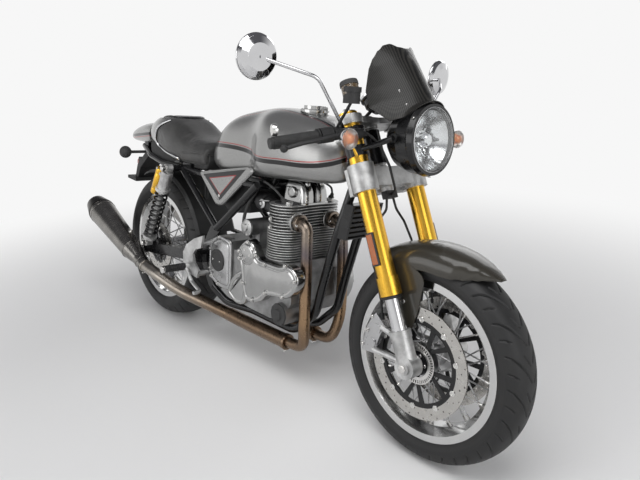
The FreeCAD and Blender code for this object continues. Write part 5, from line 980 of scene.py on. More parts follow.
def drilled_band(stock, axle, side, thickness, inner, outer, rows, columns, hole_r):
    """Flat ring whose every second cell is bored through."""
    low, high = side - thickness / 2, side + thickness / 2

    def at(radius, angle, y):
        return axle + Vector((radius * cos(angle), y, radius * sin(angle)))

    for row in range(rows):
        r0 = inner + (outer - inner) * row / rows
        r1 = inner + (outer - inner) * (row + 1) / rows
        middle_r = (r0 + r1) / 2
        for column in range(columns):
            a0, a1 = tau * column / columns, tau * (column + 1) / columns
            middle_a = (a0 + a1) / 2
            edge = [(r0, a0), (r0, middle_a), (r0, a1), (middle_r, a1), (r1, a1), (r1, middle_a), (r1, a0),
                    (middle_r, a0)]
            if (column + row * 2) % 3:
                stock.add([at(r, a, high) for r, a in edge], [tuple(range(8))])
                stock.add([at(r, a, low) for r, a in edge], [tuple(reversed(range(8)))])
                continue
            hole = []
            for r, a in edge:
                out, round_way = r - middle_r, (a - middle_a) * middle_r
                length = hypot(out, round_way)
                hole.append((middle_r + out / length * hole_r, middle_a + round_way / length * hole_r / middle_r))
            points = [at(r, a, y) for y in (high, low) for r, a in edge + hole]
            faces = []
            for k in range(8):
                n = (k + 1) % 8
                faces += [(k, n, 8 + n, 8 + k), (16 + k, 24 + k, 24 + n, 16 + n), (8 + k, 8 + n, 24 + n, 24 + k)]
            stock.add(points, faces)
    for radius in (inner, outer):
        rings = [[at(radius, tau * k / (columns * 2), y) for k in range(columns * 2)] for y in (low, high)]
        stock.rings(rings)


def flat_bar(stock, axle, side, thickness, marks):
    """Plate in the plane of a wheel, its corners given as radius and angle."""
    corners = [around(axle, radius, angle, side) for radius, angle in marks]
    stock.plate([(corner.x, corner.z) for corner in corners], side, thickness)


def brake_disc(axle, radius, side, hub_half):
    """Drilled band, black swept carrier and bright bobbins."""
    stock = Stock()
    thickness, band = DISC_THICKNESS, DISC_BAND
    drilled_band(stock, axle, side, thickness, radius - band, radius, BAND_ROWS, BAND_CELLS, BAND_HOLE_R)
    stock.tone = 1
    facing = 1 if side > 0 else -1
    ring_r = radius - band + 2
    profile = [(-2.4, ring_r - 15), (-2.4, ring_r), (2.4, ring_r), (2.4, ring_r - 15)]
    stock.lathe(profile, axle + LEFT * side, LEFT, 60, joined=True)
    for index in range(10):
        angle = 36 * index
        lead = 15 if index % 2 else -15
        flat_bar(stock, axle, side - 0.2, thickness - 1.4,
                 [(26, angle + lead * 2.6), (ring_r - 10, angle + lead * 0.2 - 4),
                  (ring_r - 10, angle + lead * 0.2 + 4), (26, angle + lead * 2.6 + 22)])
    stock.lathe([(0, 18), (0, 34), (abs(side) - hub_half, 34), (abs(side) - hub_half + 1, 30),
                 (abs(side) - hub_half + 1, 18)], axle + LEFT * facing * hub_half, LEFT * facing, 40, joined=True)
    stock.tone = 2
    for index in range(10):
        centre = around(axle, radius - band + 1.5, 36 * index + 18, side)
        for way in (-1, 1):
            stock.lathe([(0, 8.4), (1.4, 8.4), (2.2, 7.4), (2.2, 4.4), (0.8, 4)],
                        centre + LEFT * way * thickness / 2, LEFT * way, 16)
    for index in range(5):
        stock.bolt(around(axle, 25.5, 72 * index, facing * (abs(side) + 1)), LEFT * facing, 5.2, 4.5)
    return stock


def build_wheels():
    steel = worn_metal("drilled_steel", (0.56, 0.545, 0.52), 0.24, 0.05, patches=0.2, edge_mm=0.3)
    carrier = gloss_black("carrier_black", roughness=0.3)
    disc_finishes = [steel, carrier, "bright_fasteners"]
    discs = brake_disc(FRONT_AXLE, FRONT_DISC_R, FRONT_DISC_SIDE, FRONT_HUB_HALF)
    discs.mirrored()
    piece("front_disc_set", discs, "front_wheel", disc_finishes, node="front_discs")
    disc = brake_disc(REAR_AXLE, REAR_DISC_R, REAR_DISC_SIDE, REAR_HUB_HALF)
    piece("rear_disc_set", disc, "rear_wheel", disc_finishes, node="rear_disc")
    for name, axle, rim_half, hub_half, body in (
            ("front", FRONT_AXLE, FRONT_RIM_HALF, FRONT_HUB_HALF, "front_wheel"),
            ("rear", REAR_AXLE, REAR_RIM_HALF, REAR_HUB_HALF, "rear_wheel")):
        fittings = Stock()
        for index in range(SPOKES):
            side = 1 if index % 2 else -1
            angle = 360 / SPOKES * index
            lead = 46 if index % 4 < 2 else -46
            tip = around(axle, RIM_BED_R, angle, side * rim_half * 0.25)
            root = around(axle, 48, angle + lead, side * (hub_half - 4))
            way = (root - tip).normalized()
            fittings.lathe([(0, 4.4), (3, 3.6), (15, 3.2), (17, 2.4)], tip - way * 1, way, 8)
        if name == "front":
            for k in range(48):
                start, end = 7.5 * k, 7.5 * k + 3.6
                flat_bar(fittings, axle, TONE_RING_SIDE, 2, [(47, start), (56, start), (56, end), (47, end)])
            for low, high in ((38, 47.2), (55.6, 59)):
                fittings.lathe([(-1, low), (-1, high), (1, high), (1, low)], axle + LEFT * TONE_RING_SIDE, LEFT, 48,
                               joined=True)
        fittings.tone = 1
        stem = around(axle, RIM_BED_R, VALVE_ANGLE, VALVE_SIDE)
        inward = (axle + LEFT * VALVE_SIDE - stem).normalized()
        fittings.lathe([(-1, 5), (4, 4.6), (6, 2.6), (26, 2.6), (27, 4), (36, 4), (38, 3)], stem, inward, 12)
        piece(name + "_wheel_fittings", fittings, body, ["bright_fasteners", "cap_rubber"])


class MOTORCYCLE_OT_wheels(Operator):
    """Drilled discs, spoke nipples, tone ring, valves and hub caps."""
    bl_idname = "motorcycle.wheels"
    bl_label = "Wheels and discs"

    def execute(self, context):
        build_wheels()
        return {"FINISHED"}


# Lamp and indicators

LAMP_CENTRE = Vector((1346, 0, 899))
LAMP_TILT = radians(3.8)
LAMP_AHEAD = Vector((cos(LAMP_TILT), 0, sin(LAMP_TILT)))
LAMP_RIM_R = 86.2
LAMP_SCREW_R = 98.4
LAMP_LENS_R = 84.4
FRONT_INDICATOR = Vector((1260.2, 235, 894))
TAIL_INDICATOR = Vector((-196, 152, 708))


def wobble(*seeds):
    """Repeatable value from minus one to one."""
    return sin(sum((index + 1.7) * 12.9898 * seed for index, seed in enumerate(seeds)) * 7.31)


def build_lamp():
    mirror = worn_metal("reflector_chrome", (0.84, 0.85, 0.86), 0.2, patches=0.15, edge_mm=0.2)
    glass = clear_glass("lens_glass")
    black = gloss_black("lamp_shield_black")
    bulb = plain_finish("bulb_glass", (1, 0.96, 0.88), 0.05, 0.05, 0.12, Transmission_Weight=0.4, Coat_Weight=1)
    bowl = Stock()
    turn = axis_turn(LAMP_AHEAD)
    rings = []
    columns = 96
    for row in range(15):
        radius = 80.5 - row * 5
        deep = -9 - 74 * (1 - (radius / 82) ** 2)
        ring = []
        for column in range(columns):
            angle = tau * column / columns
            out, up = radius * cos(angle), radius * sin(angle)
            flute = 1.3 * cos(out * 0.62) if abs(up) > 20 else 0.7 * wobble(row // 2, column // 6)
            ring.append(LAMP_CENTRE + turn @ Vector((out, up, deep + flute * (0 < row < 14))))
        rings.append(ring)
    bowl.rings(rings, cap_end=True)
    piece("lamp_reflector", bowl, "steering", mirror, 14)
    inside = Stock()
    inside.lathe([(-86, 8), (-60, 8), (-58, 5), (-34, 5), (-33, 14.5), (-31, 16), (-20, 16), (-16, 13), (-14.5, 6),
                  (-14.5, 0.5)], LAMP_CENTRE, LAMP_AHEAD, 24)
    piece("lamp_bulb_shield", inside, "steering", mirror)
    side = LAMP_CENTRE - LAMP_AHEAD * 44 + LEFT * 44 - UP * 2
    pilot = Stock()
    pilot.lathe([(0, 9), (8, 9), (14, 7), (17, 3), (18, 0.4)], side - LAMP_AHEAD * 16, LAMP_AHEAD, 18)
    mask = Stock()
    for start, end, size in ((-70, -16, 9), (22, 66, 6)):
        mask.rod(LAMP_CENTRE - LAMP_AHEAD * 30 + LEFT * start, LAMP_CENTRE - LAMP_AHEAD * 36 + LEFT * end, size, 16,
                 size * 0.7)
    piece("lamp_shield_arms", mask, "steering", black, bevel_mm=1)
    piece("lamp_pilot_bulbs", pilot, "steering", bulb, bevel_mm=1)
    lens = Stock()
    outer = [(1.5 + 9.5 * (1 - (r / LAMP_LENS_R) ** 2), r) for r in (0.5, 18, 36, 52, 66, 77, 82.5, LAMP_LENS_R)]
    inner = [(along - 2.6, r) for along, r in reversed(outer[:-1])]
    lens.lathe(outer + [(-5.6, LAMP_LENS_R), (-5.6, 82), (-1.4, 81.6)] + inner[1:], LAMP_CENTRE, LAMP_AHEAD, 64)
    piece("lamp_lens", lens, "steering", glass, 50, node="headlamp_lens")
    trim = Stock()
    trim.tube(hoop(LAMP_CENTRE, LAMP_AHEAD, LAMP_RIM_R, 72, 0.8), 0.9, 8, closed=True)
    piece("lamp_trim_ring", trim, "steering", "satin_alloy")
    screws = Stock()
    for angle in (35, 145, 270):
        across = turn @ Vector((LAMP_SCREW_R * cos(radians(angle)), LAMP_SCREW_R * sin(radians(angle)), 0))
        seat = LAMP_CENTRE - LAMP_AHEAD * 9 + across
        screws.bolt(seat, seat - LAMP_CENTRE, 4, 2.6)
    bright_piece("lamp_bezel_screws", screws, "steering")
    fit_indicators()


def fit_indicators():
    """Clear round indicators with an orange bulb, on chrome stalks in front and black bodies behind."""
    clear = clear_glass("indicator_clear", (0.97, 0.95, 0.92), 0.3)
    orange = plain_finish("bulb_orange", (0.85, 0.3, 0.12), 0.1, 0.2, 0.35, Coat_Weight=1, Subsurface_Weight=0.2)
    for name, centre, ahead, shell_finish, body in (
            ("front", FRONT_INDICATOR, AHEAD, "chrome_plate", "steering"),
            ("tail", TAIL_INDICATOR, -AHEAD, "black_plastic", "chassis")):
        shell, lens, core = Stock(), Stock(), Stock()
        for facing in (-1, 1):
            middle = Vector((centre.x, centre.y * facing, centre.z))
            if name == "front":
                root = on_fork(FORK_OFFSET + 16, (FORK_HALF + 22) * facing, 593.5)
            else:
                root = Vector((centre.x, 44 * facing, centre.z))
            way = (root - middle).normalized()
            shell.lathe([(-24, 4), (-22.5, 12), (-16, 20), (-6, 25.6), (-1, 26.8), (1.5, 26.8), (1.5, 24.6), (-4, 22),
                         (-15, 8), (-16, 0.5)], middle, ahead, 36)
            shell.lathe([(20, 7.5), (26, 8.2), (30, 6.6), ((root - middle).length, 6.2)], middle, way, 16)
            lens.lathe([(0, 24.4), (1.8, 26.4), (5, 26.2), (10, 22.5), (14, 14.5), (16, 5), (16.2, 0.5)], middle,
                       ahead, 36)
            core.lathe([(-15, 4), (-10, 7), (-6, 9.5), (0, 11), (5, 9.5), (8.5, 5), (9.4, 0.5)], middle, ahead, 20)
        piece(name + "_indicator_shells", shell, body, shell_finish,
              node="front_indicators" if name == "front" else None)
        piece(name + "_indicator_lenses", lens, body, clear, 50)
        piece(name + "_indicator_bulbs", core, body, orange, 60)


class MOTORCYCLE_OT_lamp(Operator):
    """Faceted reflector, bulb shield, thin lens and bright trim ring."""
    bl_idname = "motorcycle.lamp"
    bl_label = "Head lamp"

    def execute(self, context):
        build_lamp()
        return {"FINISHED"}


# Places and surfaces the small pieces sit on

FORK_TURN = Matrix((STEER_AHEAD, LEFT, STEER_UP)).transposed()
SIDES = (-1, 1)


def skin_of(thing):
    """Search tree of an object's surface in upright millimetres."""
    place = STAND.inverted() @ thing.matrix_world
    mesh = thing.data
    return BVHTree.FromPolygons([place @ vertex.co for vertex in mesh.vertices],
                                [tuple(face.vertices) for face in mesh.polygons])


def lifted(tree, point, lift):
    """Nearest surface point, raised off the surface."""
    place, normal, _, _ = tree.find_nearest(Vector(point))
    return place + normal * lift


def inset_points(outline, inset):
    """Points of an outline moved toward its middle."""
    middle = sum(outline, Vector((0, 0, 0))) / len(outline)
    return [point + (middle - point).normalized() * inset for point in outline]


# Seat and tail

SEAT_REAR_X = -92
ABOVE_SEAT = 905
PIPING_LINE = ((240, 752), (290, 756), (330, 758), (365, 757), (388, 752))
HUMP_SEAM = ((110, -64), (60, -74), (0, -72), (-50, -58), (-78, -34), (-86, 0), (-78, 34), (-50, 58), (0, 72), (60, 74),
             (110, 64), (128, 0))
COWL_RIM = ((864, 104), (842, 58), (815, 26), (790, 11), (769, 12), (754, 36), (745, 82), (738, 146), (730, 204),
            (716, 206), (702, 180))


def evaluated_mesh(thing):
    graph = bpy.context.evaluated_depsgraph_get()
    return bpy.data.meshes.new_from_object(thing.evaluated_get(graph), depsgraph=graph)


def cushion(name, node, finish, cap_mm):
    """Seat pad from the CAD solid: even faces, blown up softly as cloth, every point kept near where it was."""
    source = frame["nodes"][node]
    mesh = source.data.copy()
    mesh.transform(source.matrix_world)
    mesh.materials.clear()
    thing = new_thing(name, mesh)
    even = thing.modifiers.new("Even faces", "REMESH")
    even.mode = "VOXEL"
    even.voxel_size = 6 * MM
    soft = thing.modifiers.new("Soft corners", "SMOOTH")
    soft.factor = 0.5
    soft.iterations = 8
    thing.data = evaluated_mesh(thing)
    thing.modifiers.clear()
    start = [vertex.co.copy() for vertex in thing.data.vertices]
    cloth = thing.modifiers.new("Blown up", "CLOTH")
    cloth.settings.use_pressure = True
    cloth.settings.uniform_pressure_force = 4
    cloth.settings.effector_weights.gravity = 0
    for step in range(1, 21):
        bpy.context.scene.frame_set(step)
    blown = evaluated_mesh(thing)
    thing.modifiers.clear()
    for vertex, before in zip(blown.vertices, start):
        move = vertex.co - before
        if move.length > cap_mm * MM:
            vertex.co = before + move.normalized() * cap_mm * MM
    thing.data = blown
    bpy.context.scene.frame_set(1)
    thing.data.materials.clear()
    thing.data.materials.append(finish)
    skin = thing.modifiers.new("Smooth skin", "SUBSURF")
    skin.levels = 1
    skin.render_levels = 1
    thing.data = evaluated_mesh(thing)
    thing.modifiers.clear()
    thing.data.shade_smooth()
    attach(thing, "chassis")
    return thing


def side_hit(tree, x, z, facing):
    """Where a line from the side meets the surface, with the outward direction there."""
    outward = Vector((0, facing, 0))
    for rise in range(0, 96, 4):
        place, normal, _, _ = tree.ray_cast(Vector((x, 190 * facing, z + rise)), -outward)
        if place is not None and abs(place.y) > 40:
            return (place, normal) if rise == 0 else (Vector((x, place.y, z)), outward)
    place, normal, _, _ = tree.find_nearest(Vector((x, 60 * facing, z)))
    return place, normal


def stitches(stock, path, length=4.2, gap=3.4, radius=0.75):
    """Short thread stitches along a path."""
    travelled = 0
    for before, after in zip(path, path[1:]):
        span = (after - before).length
        while travelled < span:
            share = travelled / span
            start = before.lerp(after, share)
            end = start + (after - before).normalized() * length
            stock.rod(start, end, radius, 6)
            travelled += length + gap
        travelled -= span


def build_seat():
    hide = seat_hide()
    pad = cushion("seat_cushion", "seat_pad", hide, 5)
    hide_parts("seat_pad")
    tree = skin_of(pad)
    radius = bpy.context.scene.motorcycle_seat.piping_radius
    piping, thread = Stock(), Stock()
    for facing in SIDES:
        line = []
        for x, z in PIPING_LINE:
            place, normal = side_hit(tree, x, z, facing)
            line.append(place + normal * radius * 0.4)
        line = [lifted(tree, point, radius * 0.4) for point in smooth_path(line, 8)]
        piping.tube(line, radius, 8)
        stitches(thread, [lifted(tree, point + UP * 7.5, 0.3) for point in line])
    loop = [lifted(tree, (x, y, ABOVE_SEAT), 0.8) for x, y in HUMP_SEAM]
    loop = [lifted(tree, point, 0.8) for point in smooth_path(loop, 8, closed=True)]
    border = Stock()
    border.tube([point + UP * 0.4 for point in loop], radius * 1.5, 10, closed=True)
    piece("hump_border", border, "chassis", "black_enamel", 60)
    stitches(thread, [lifted(tree, point, 0.3) for point in inset_points(loop, 6.5)])
    piece("seat_piping", piping, "chassis", hide)
    cotton = Finish("seat_thread", Sheen_Weight=0.2)
    cotton.done(cotton.blend(cotton.noise(0.2), tint(0.05, 0.05, 0.05), tint(0.11, 0.11, 0.108)),
                cotton.between(cotton.noise(0.4), 0.3, 0.7, 0.6, 0.8))
    piece("seat_stitching", thread, "chassis", "seat_thread")
    wrap_tail(tree)


def wrap_tail(tree):
    """Painted sheet that wraps the hump, ending in a bright bead."""
    sheet, bead = Stock(), Stock()
    columns = 14
    for facing in SIDES:
        outer, inner, rim = [], [], []
        for z, reach in smooth_path(COWL_RIM, 3):
            for column in range(columns + 1):
                x = SEAT_REAR_X - 6 + (reach - SEAT_REAR_X + 6) * column / columns
                place, normal = side_hit(tree, x, z, facing)
                outer.append(place + normal * 7)
                inner.append(place + normal * 0.8)
            rim.append(outer[-1] - (outer[-1] - inner[-1]) * 0.3)
        shell(sheet, outer, inner, columns + 1)
        bead.tube(rim, 4.2, 10)
    top = [lifted(tree, (104 - abs(y) * 0.02, y, ABOVE_SEAT), 3) for y in range(-62, 63, 6)]
    bead.tube(top, 3, 10)
    piece("tail_wings", sheet, "chassis", silver_paint("wing_paint"), 50)
    piece("tail_rim_bead", bead, "chassis", "chrome_plate", 60)


class MOTORCYCLE_OT_seat(Operator):
    """Padded seat with piping and stitching, and the painted tail that wraps round its hump."""
    bl_idname = "motorcycle.seat"
    bl_label = "Seat and tail"

    def execute(self, context):
        build_seat()
        return {"FINISHED"}


# Suspension and chain

SHOCK_LOW = spot(0.038, 0.5057)
SHOCK_HIGH = spot(0.1606, 0.9857)
SHOCK_SIDE = 172
SPRING_START = 41
SPRING_STOP = 108
SPRING_MIDDLE_R = 23.6
CHAIN_SIDE = 104
CHAIN_REAR_R = 111.8
CHAIN_FRONT_R = 45.8
CHAIN_FRONT = Vector((520, 0, 372))
CHAIN_PITCH = 17.3


def chain_line():
    """Roller centres along the loop."""
    apart = CHAIN_FRONT - REAR_AXLE
    base = atan2(apart.z, apart.x)
    spread = acos((CHAIN_REAR_R - CHAIN_FRONT_R) / apart.length)
    arcs = ((REAR_AXLE, CHAIN_REAR_R, base + spread, tau + base - spread),
            (CHAIN_FRONT, CHAIN_FRONT_R, base - spread, base + spread))
    path = []
    for centre, radius, start, end in arcs:
        for step in range(41):
            angle = start + (end - start) * step / 40
            path.append(centre + Vector((radius * cos(angle), 0, radius * sin(angle))))
    path.append(path[0])
    return spaced(path, CHAIN_PITCH, 2)[0][:-1]


def build_running_gear():
    sizes = bpy.context.scene.motorcycle_springs
    coils, gold, nuts = Stock(), Stock(), Stock()
    way = (SHOCK_HIGH - SHOCK_LOW).normalized()
    turn = axis_turn(way)
    reach = (SHOCK_HIGH - SHOCK_LOW).length - SPRING_START - SPRING_STOP
    back = Vector((-way.z, 0, way.x)) * 49
    for facing in SIDES:
        low = SHOCK_LOW + LEFT * SHOCK_SIDE * facing
        high = SHOCK_HIGH + LEFT * SHOCK_SIDE * facing
        steps = int(sizes.turns * 22)
        coil = []
        for step in range(steps + 1):
            share = step / steps
            angle = tau * sizes.turns * share
            along = SPRING_START + sizes.wire_radius + (reach - sizes.wire_radius * 2) * share
            coil.append(low + turn @ Vector((SPRING_MIDDLE_R * cos(angle), SPRING_MIDDLE_R * sin(angle), along)))
        coils.tube(coil, sizes.wire_radius, 9)
        top = high - way * 34 + back
        gold.lathe([(-1, 12), (-1, 17.6), (0.6, 18.3), (20, 18.3), (21, 17.8), (24, 17.8), (25, 18.3), (90, 18.3),
                    (91, 17.7), (95, 17.7), (96, 18.6), (113, 18.6), (117, 16.5), (118, 11), (118, 0.5)],
                   top - way * 116, way, 32)
        gold.lathe([(-6, 21), (-6, 24), (-1, 24.6), (0, 24.6), (0, 21)], high - way * 96, way, 32, joined=True)
        for eye in (low, high):
            nuts.lathe([(0, 13.5), (3, 13.5), (4, 11), (17.5, 11), (19.5, 8.5), (20, 0.5)],
                       eye + LEFT * facing * 13.2, LEFT * facing, 24)
        nuts.bolt(high - way * 22 + back - way * 10 + LEFT * facing * 17.5, LEFT * facing, 5, 3)
    piece("spring_coils", coils, "chassis", "black_enamel", 60, node="springs")
    piece("shock_reservoirs", gold, "chassis", "gold_anodised")
    bright_piece("shock_nuts", nuts, "chassis")
    links = Stock()
    line = chain_line()
    for index, here in enumerate(line):
        ahead = line[(index + 1) % len(line)]
        heading = atan2(ahead.z - here.z, ahead.x - here.x)
        outline = []
        for centre, start in ((ahead, -70), (here, 110)):
            for step in range(5):
                angle = heading + radians(start + 35 * step)
                outline.append((centre.x + 7.2 * cos(angle), centre.z + 7.2 * sin(angle)))
            waist = here.lerp(ahead, 0.5)
            angle = heading + radians(start + 160)
            outline.append((waist.x + 4.8 * cos(angle), waist.z + 4.8 * sin(angle)))
        offset = 7.2 if index % 2 else 4.8
        for way_out in SIDES:
            links.plate(outline, CHAIN_SIDE + offset * way_out, 1.9)
        links.lathe([(-4, 2.5), (-4, 5), (4, 5), (4, 2.5)], here + LEFT * CHAIN_SIDE, LEFT, 8, joined=True)
        links.rod(here + LEFT * (CHAIN_SIDE - 9), here + LEFT * (CHAIN_SIDE + 9), 2.5, 8)
    piece("chain_links", links, "chassis", "plain_steel", node="chain")


class MOTORCYCLE_OT_running_gear(Operator):
    """Coil springs, gold reservoirs, shock nuts and a chain of separate links."""
    bl_idname = "motorcycle.running_gear"
    bl_label = "Springs and chain"

    def execute(self, context):
        build_running_gear()
        return {"FINISHED"}


# Fork, calipers and controls

CALIPER_FACE = 101
CALIPER_ANGLE = 163
DIAL_TILT = radians(52)
BAR_SWEEP = radians(20)
BAR_REACH = 224


def build_front_end():
    black = "black_plastic"
    soft = "cap_rubber"
    amber = stained_lens("amber_reflector", (0.85, 0.2, 0.015), 0.1)
    seals, frames, lenses, bolts = Stock(), Stock(), Stock(), Stock()
    for facing in SIDES:
        side = FORK_HALF * facing
        leg = on_fork(FORK_OFFSET, side, 0)
        seals.lathe([(188, 21.6), (188, 27), (190, 29), (195, 29.6), (197.5, 28), (197.5, 21.6)], leg, STEER_UP, 36,
                    joined=True)
        place = on_fork(FORK_OFFSET, side + 29.5 * facing, 329)
        frames.box(place, (27, 6, 93), FORK_TURN)
        lenses.box(place + LEFT * 1.6 * facing, (20, 6, 84), FORK_TURN)
        bolts.lathe([(0, 24), (3, 24), (5, 21), (5, 13), (9, 12), (13, 11), (13, 6), (15, 5), (16, 0.5)],
                    on_fork(FORK_OFFSET, side, 716), STEER_UP, 32)
        for up in (508, 546):
            bolts.bolt(on_fork(FORK_OFFSET - 42, side - 12 * facing, up), -STEER_AHEAD, 5.5, 5)
        for up in (30, 52):
            bolts.bolt(on_fork(FORK_OFFSET - 22, side, up), -STEER_AHEAD, 5, 5)
        bolts.nut(FRONT_AXLE + LEFT * 133 * facing, LEFT * facing, 12, 6)
        for spread in (-16, 16):
            for radius in (132, 176):
                seat = around(FRONT_AXLE, radius, CALIPER_ANGLE + spread, CALIPER_FACE * facing)
                bolts.bolt(seat, LEFT * facing, 5.5, 5)
        seat = around(FRONT_AXLE, 170, CALIPER_ANGLE, CALIPER_FACE * facing)
        bolts.lathe([(0, 7), (3, 7), (3, 4.4), (12, 4), (12, 2.6), (15, 2.4)], seat, LEFT * facing, 12)
    rear_bolts = Stock()
    for radius in (90, 112):
        for angle in (104, 132):
            rear_bolts.bolt(around(REAR_AXLE, radius, angle, -114.5), -LEFT, 5, 4.5)
    bright_piece("rear_caliper_bolts", rear_bolts, "chassis")
    piece("fork_dust_seals", seals, "steering", soft)
    piece("reflector_frames", frames, "steering", black, bevel_mm=2.4)
    piece("reflector_lenses", lenses, "steering", amber, bevel_mm=2)
    bright_piece("front_end_bolts", bolts, "steering")
    fit_dials()
    fit_controls()


def fit_dials():
    """Two dials with raised marks, needles, bright rings and flat glasses."""
    face = matt_black("dial_black", (0.01, 0.01, 0.011), 0.02)
    mark = plain_finish("dial_marks", (0.8, 0.8, 0.78), 0.3, 0.45, 0.6)
    needle = plain_finish("dial_needle", (0.75, 0.1, 0.02), 0.3, 0.4, 0.55)
    axis = Vector((-cos(DIAL_TILT), 0, sin(DIAL_TILT)))
    turn = axis_turn(axis)
    dial, ring, glass = Stock(), Stock(), Stock()
    for facing in SIDES:
        centre = on_fork(92, 47 * facing, 746)

        def at(radius, angle, lift):
            return centre + turn @ Vector((radius * cos(angle), radius * sin(angle), lift))

        dial.tone = 0
        dial.lathe([(0.4, 0.5), (0.4, 37.5), (0.9, 37.5), (0.9, 0.5)], centre, axis, 40, joined=True)
        dial.tone = 1
        for index in range(33):
            angle = radians(-45 + 270 * index / 32)
            inner = 28 if index % 4 == 0 else 32
            dial.rod(at(inner, angle, 1.1), at(35, angle, 1.1), 0.7 if index % 4 == 0 else 0.4, 5)
        dial.tone = 2
        dial.rod(at(-6, radians(210), 2.6), at(29, radians(210), 2.6), 1.3, 6, 0.4)
        dial.tone = 0
        dial.lathe([(1, 5), (4, 5), (4.6, 4), (4.6, 0.5)], centre, axis, 16)
        ring.lathe([(-1, 38), (-1, 41.4), (4.5, 41.6), (6.2, 40.4), (6.2, 38), (3, 37.4)], centre, axis, 48,
                   joined=True)
        glass.lathe([(5, 0.5), (4.6, 37.6), (5.6, 37.8), (6, 0.5)], centre, axis, 40, joined=True)
    piece("dial_faces", dial, "steering", [face, mark, needle])
    piece("dial_rings", ring, "steering", "chrome_plate")
    piece("dial_glasses", glass, "steering", "lens_glass")


def fit_controls():
    """Fluid reservoir, switch buttons, bar ends."""
    fluid = stained_lens("smoked_reservoir", (0.2, 0.13, 0.06), 0.15)
    sleeve, cap, ends = Stock(), Stock(), Stock()
    base = on_fork(150, -205, 716)
    sleeve.lathe([(4, 21), (4, 22.6), (26, 22.6), (26, 21)], base, STEER_UP, 36, joined=True)
    cap.lathe([(26, 22), (26, 24.2), (34, 24.2), (38.6, 23), (39.4, 20), (39.4, 0.5)], base, STEER_UP, 24)
    for along, out in ((-9, -14), (9, 14)):
        ends.bolt(base + STEER_UP * 39.2 + STEER_AHEAD * along + LEFT * out, STEER_UP, 3.4, 1.8)
    for facing in SIDES:
        inner = on_fork(66, 132 * facing, 655)
        outer = inner + Vector((-sin(BAR_SWEEP) * BAR_REACH, cos(BAR_SWEEP) * BAR_REACH * facing, -6.7))
        way = (outer - inner).normalized()
        ends.lathe([(0, 12), (2, 15.8), (12, 15.8), (15, 14), (16, 9), (16, 0.5)], outer - way * 2, way, 28)
        switch = inner + way * 86
        for offset, size in ((6, 4.6), (-8, 3.6)):
            cap.lathe([(0, size), (3, size), (4, size * 0.7), (4.2, 0.5)],
                      switch + way * offset - STEER_AHEAD * 20.5, -STEER_AHEAD, 14)
    piece("reservoir_sleeve", sleeve, "steering", fluid)
    piece("reservoir_cap", cap, "steering", "black_plastic")
    bright_piece("bar_ends_and_screws", ends, "steering")


class MOTORCYCLE_OT_front_end(Operator):
    """Seals, reflectors, top caps, caliper bolts, dials and reservoir."""
    bl_idname = "motorcycle.front_end"
    bl_label = "Front end fittings"

    def execute(self, context):
        build_front_end()
        return {"FINISHED"}


# Engine and exhaust

TIMING_SPOTS = (
    (0.4768, 0.66), (0.493, 0.6986), (0.5141, 0.7257), (0.5338, 0.7114), (0.5465, 0.6771), (0.562, 0.6529),
    (0.5887, 0.65), (0.638, 0.6529), (0.6662, 0.67), (0.6901, 0.6543), (0.7021, 0.6114), (0.6866, 0.5471),
    (0.6606, 0.5086), (0.6296, 0.5), (0.593, 0.4829), (0.5718, 0.4443), (0.5394, 0.4186), (0.5099, 0.4243),
    (0.4958, 0.4929), (0.4887, 0.5714), (0.4782, 0.6229),
)
TIMING_FACE = 152
PRIMARY_SPOTS = (
    (0.431, 0.5314), (0.4352, 0.4357), (0.4683, 0.3771), (0.5352, 0.3657), (0.6141, 0.38), (0.6606, 0.4457),
    (0.6746, 0.5314), (0.6648, 0.6057), (0.6338, 0.6457), (0.5634, 0.6457), (0.493, 0.6371), (0.4493, 0.6114),
)
GEARBOX_SPOTS = (
    (0.3211, 0.4714), (0.331, 0.4286), (0.3662, 0.4), (0.4246, 0.6714), (0.3662, 0.68), (0.331, 0.6429), (0.3211, 0.6),
)
TIMING_LOBE = ((0.4408, 0.5014), (0.4169, 0.4), (0.4613, 0.3571), (0.4958, 0.3743), (0.5042, 0.4714), (0.4958, 0.5714))
GEARBOX_OUTLINE = ((0.319, 0.4714), (0.331, 0.426), (0.3662, 0.398), (0.4246, 0.398), (0.4246, 0.674),
                   (0.3662, 0.682), (0.331, 0.645), (0.319, 0.6))
GEARBOX_FACE = 126
TIMING_DISC = (0.5176, 0.6543)
PORT_SIDE = 74
PORT_HEIGHT = 592


def inward(outline, inset):
    """Closed outline of X and Z drawn in square to its own line."""
    count = len(outline)
    area = sum(a.x * b.z - b.x * a.z for a, b in zip(outline, outline[1:] + outline[:1]))
    facing = 1 if area > 0 else -1
    result = []
    for index, point in enumerate(outline):
        heading = (outline[(index + 1) % count] - outline[index - 1]).normalized()
        result.append(point + Vector((-heading.z, 0, heading.x)) * facing * inset)
    return result


def engine_cover(stock, outline, facing, low, face, crown):
    """Cast cover: upright wall, rolled edge, shallow channel and a gently raised middle."""
    rings = []
    for inset, side in ((0, low), (0, face - 9), (1.2, face - 4), (4, face - 1), (8, face), (13, face - 0.6),
                        (15, face - 2.2), (17.5, face - 2.2), (20, face - 0.4), (24, face + crown)):
        rings.append([Vector((point.x, side * facing, point.z)) for point in inward(outline, inset)])
    stock.rings(rings, capped=True)


def boss(ridge, screws, place, way, size=8.6, top=7.4, sides=20, screw=4.8):
    """Raised round seat with its cap screw."""
    ridge.lathe([(-3, size), (1.6, size), (2.6, top), (2.6, 0.5)], place, way, sides)
    screws.bolt(place + way * 2.4, way, screw, 3.4)


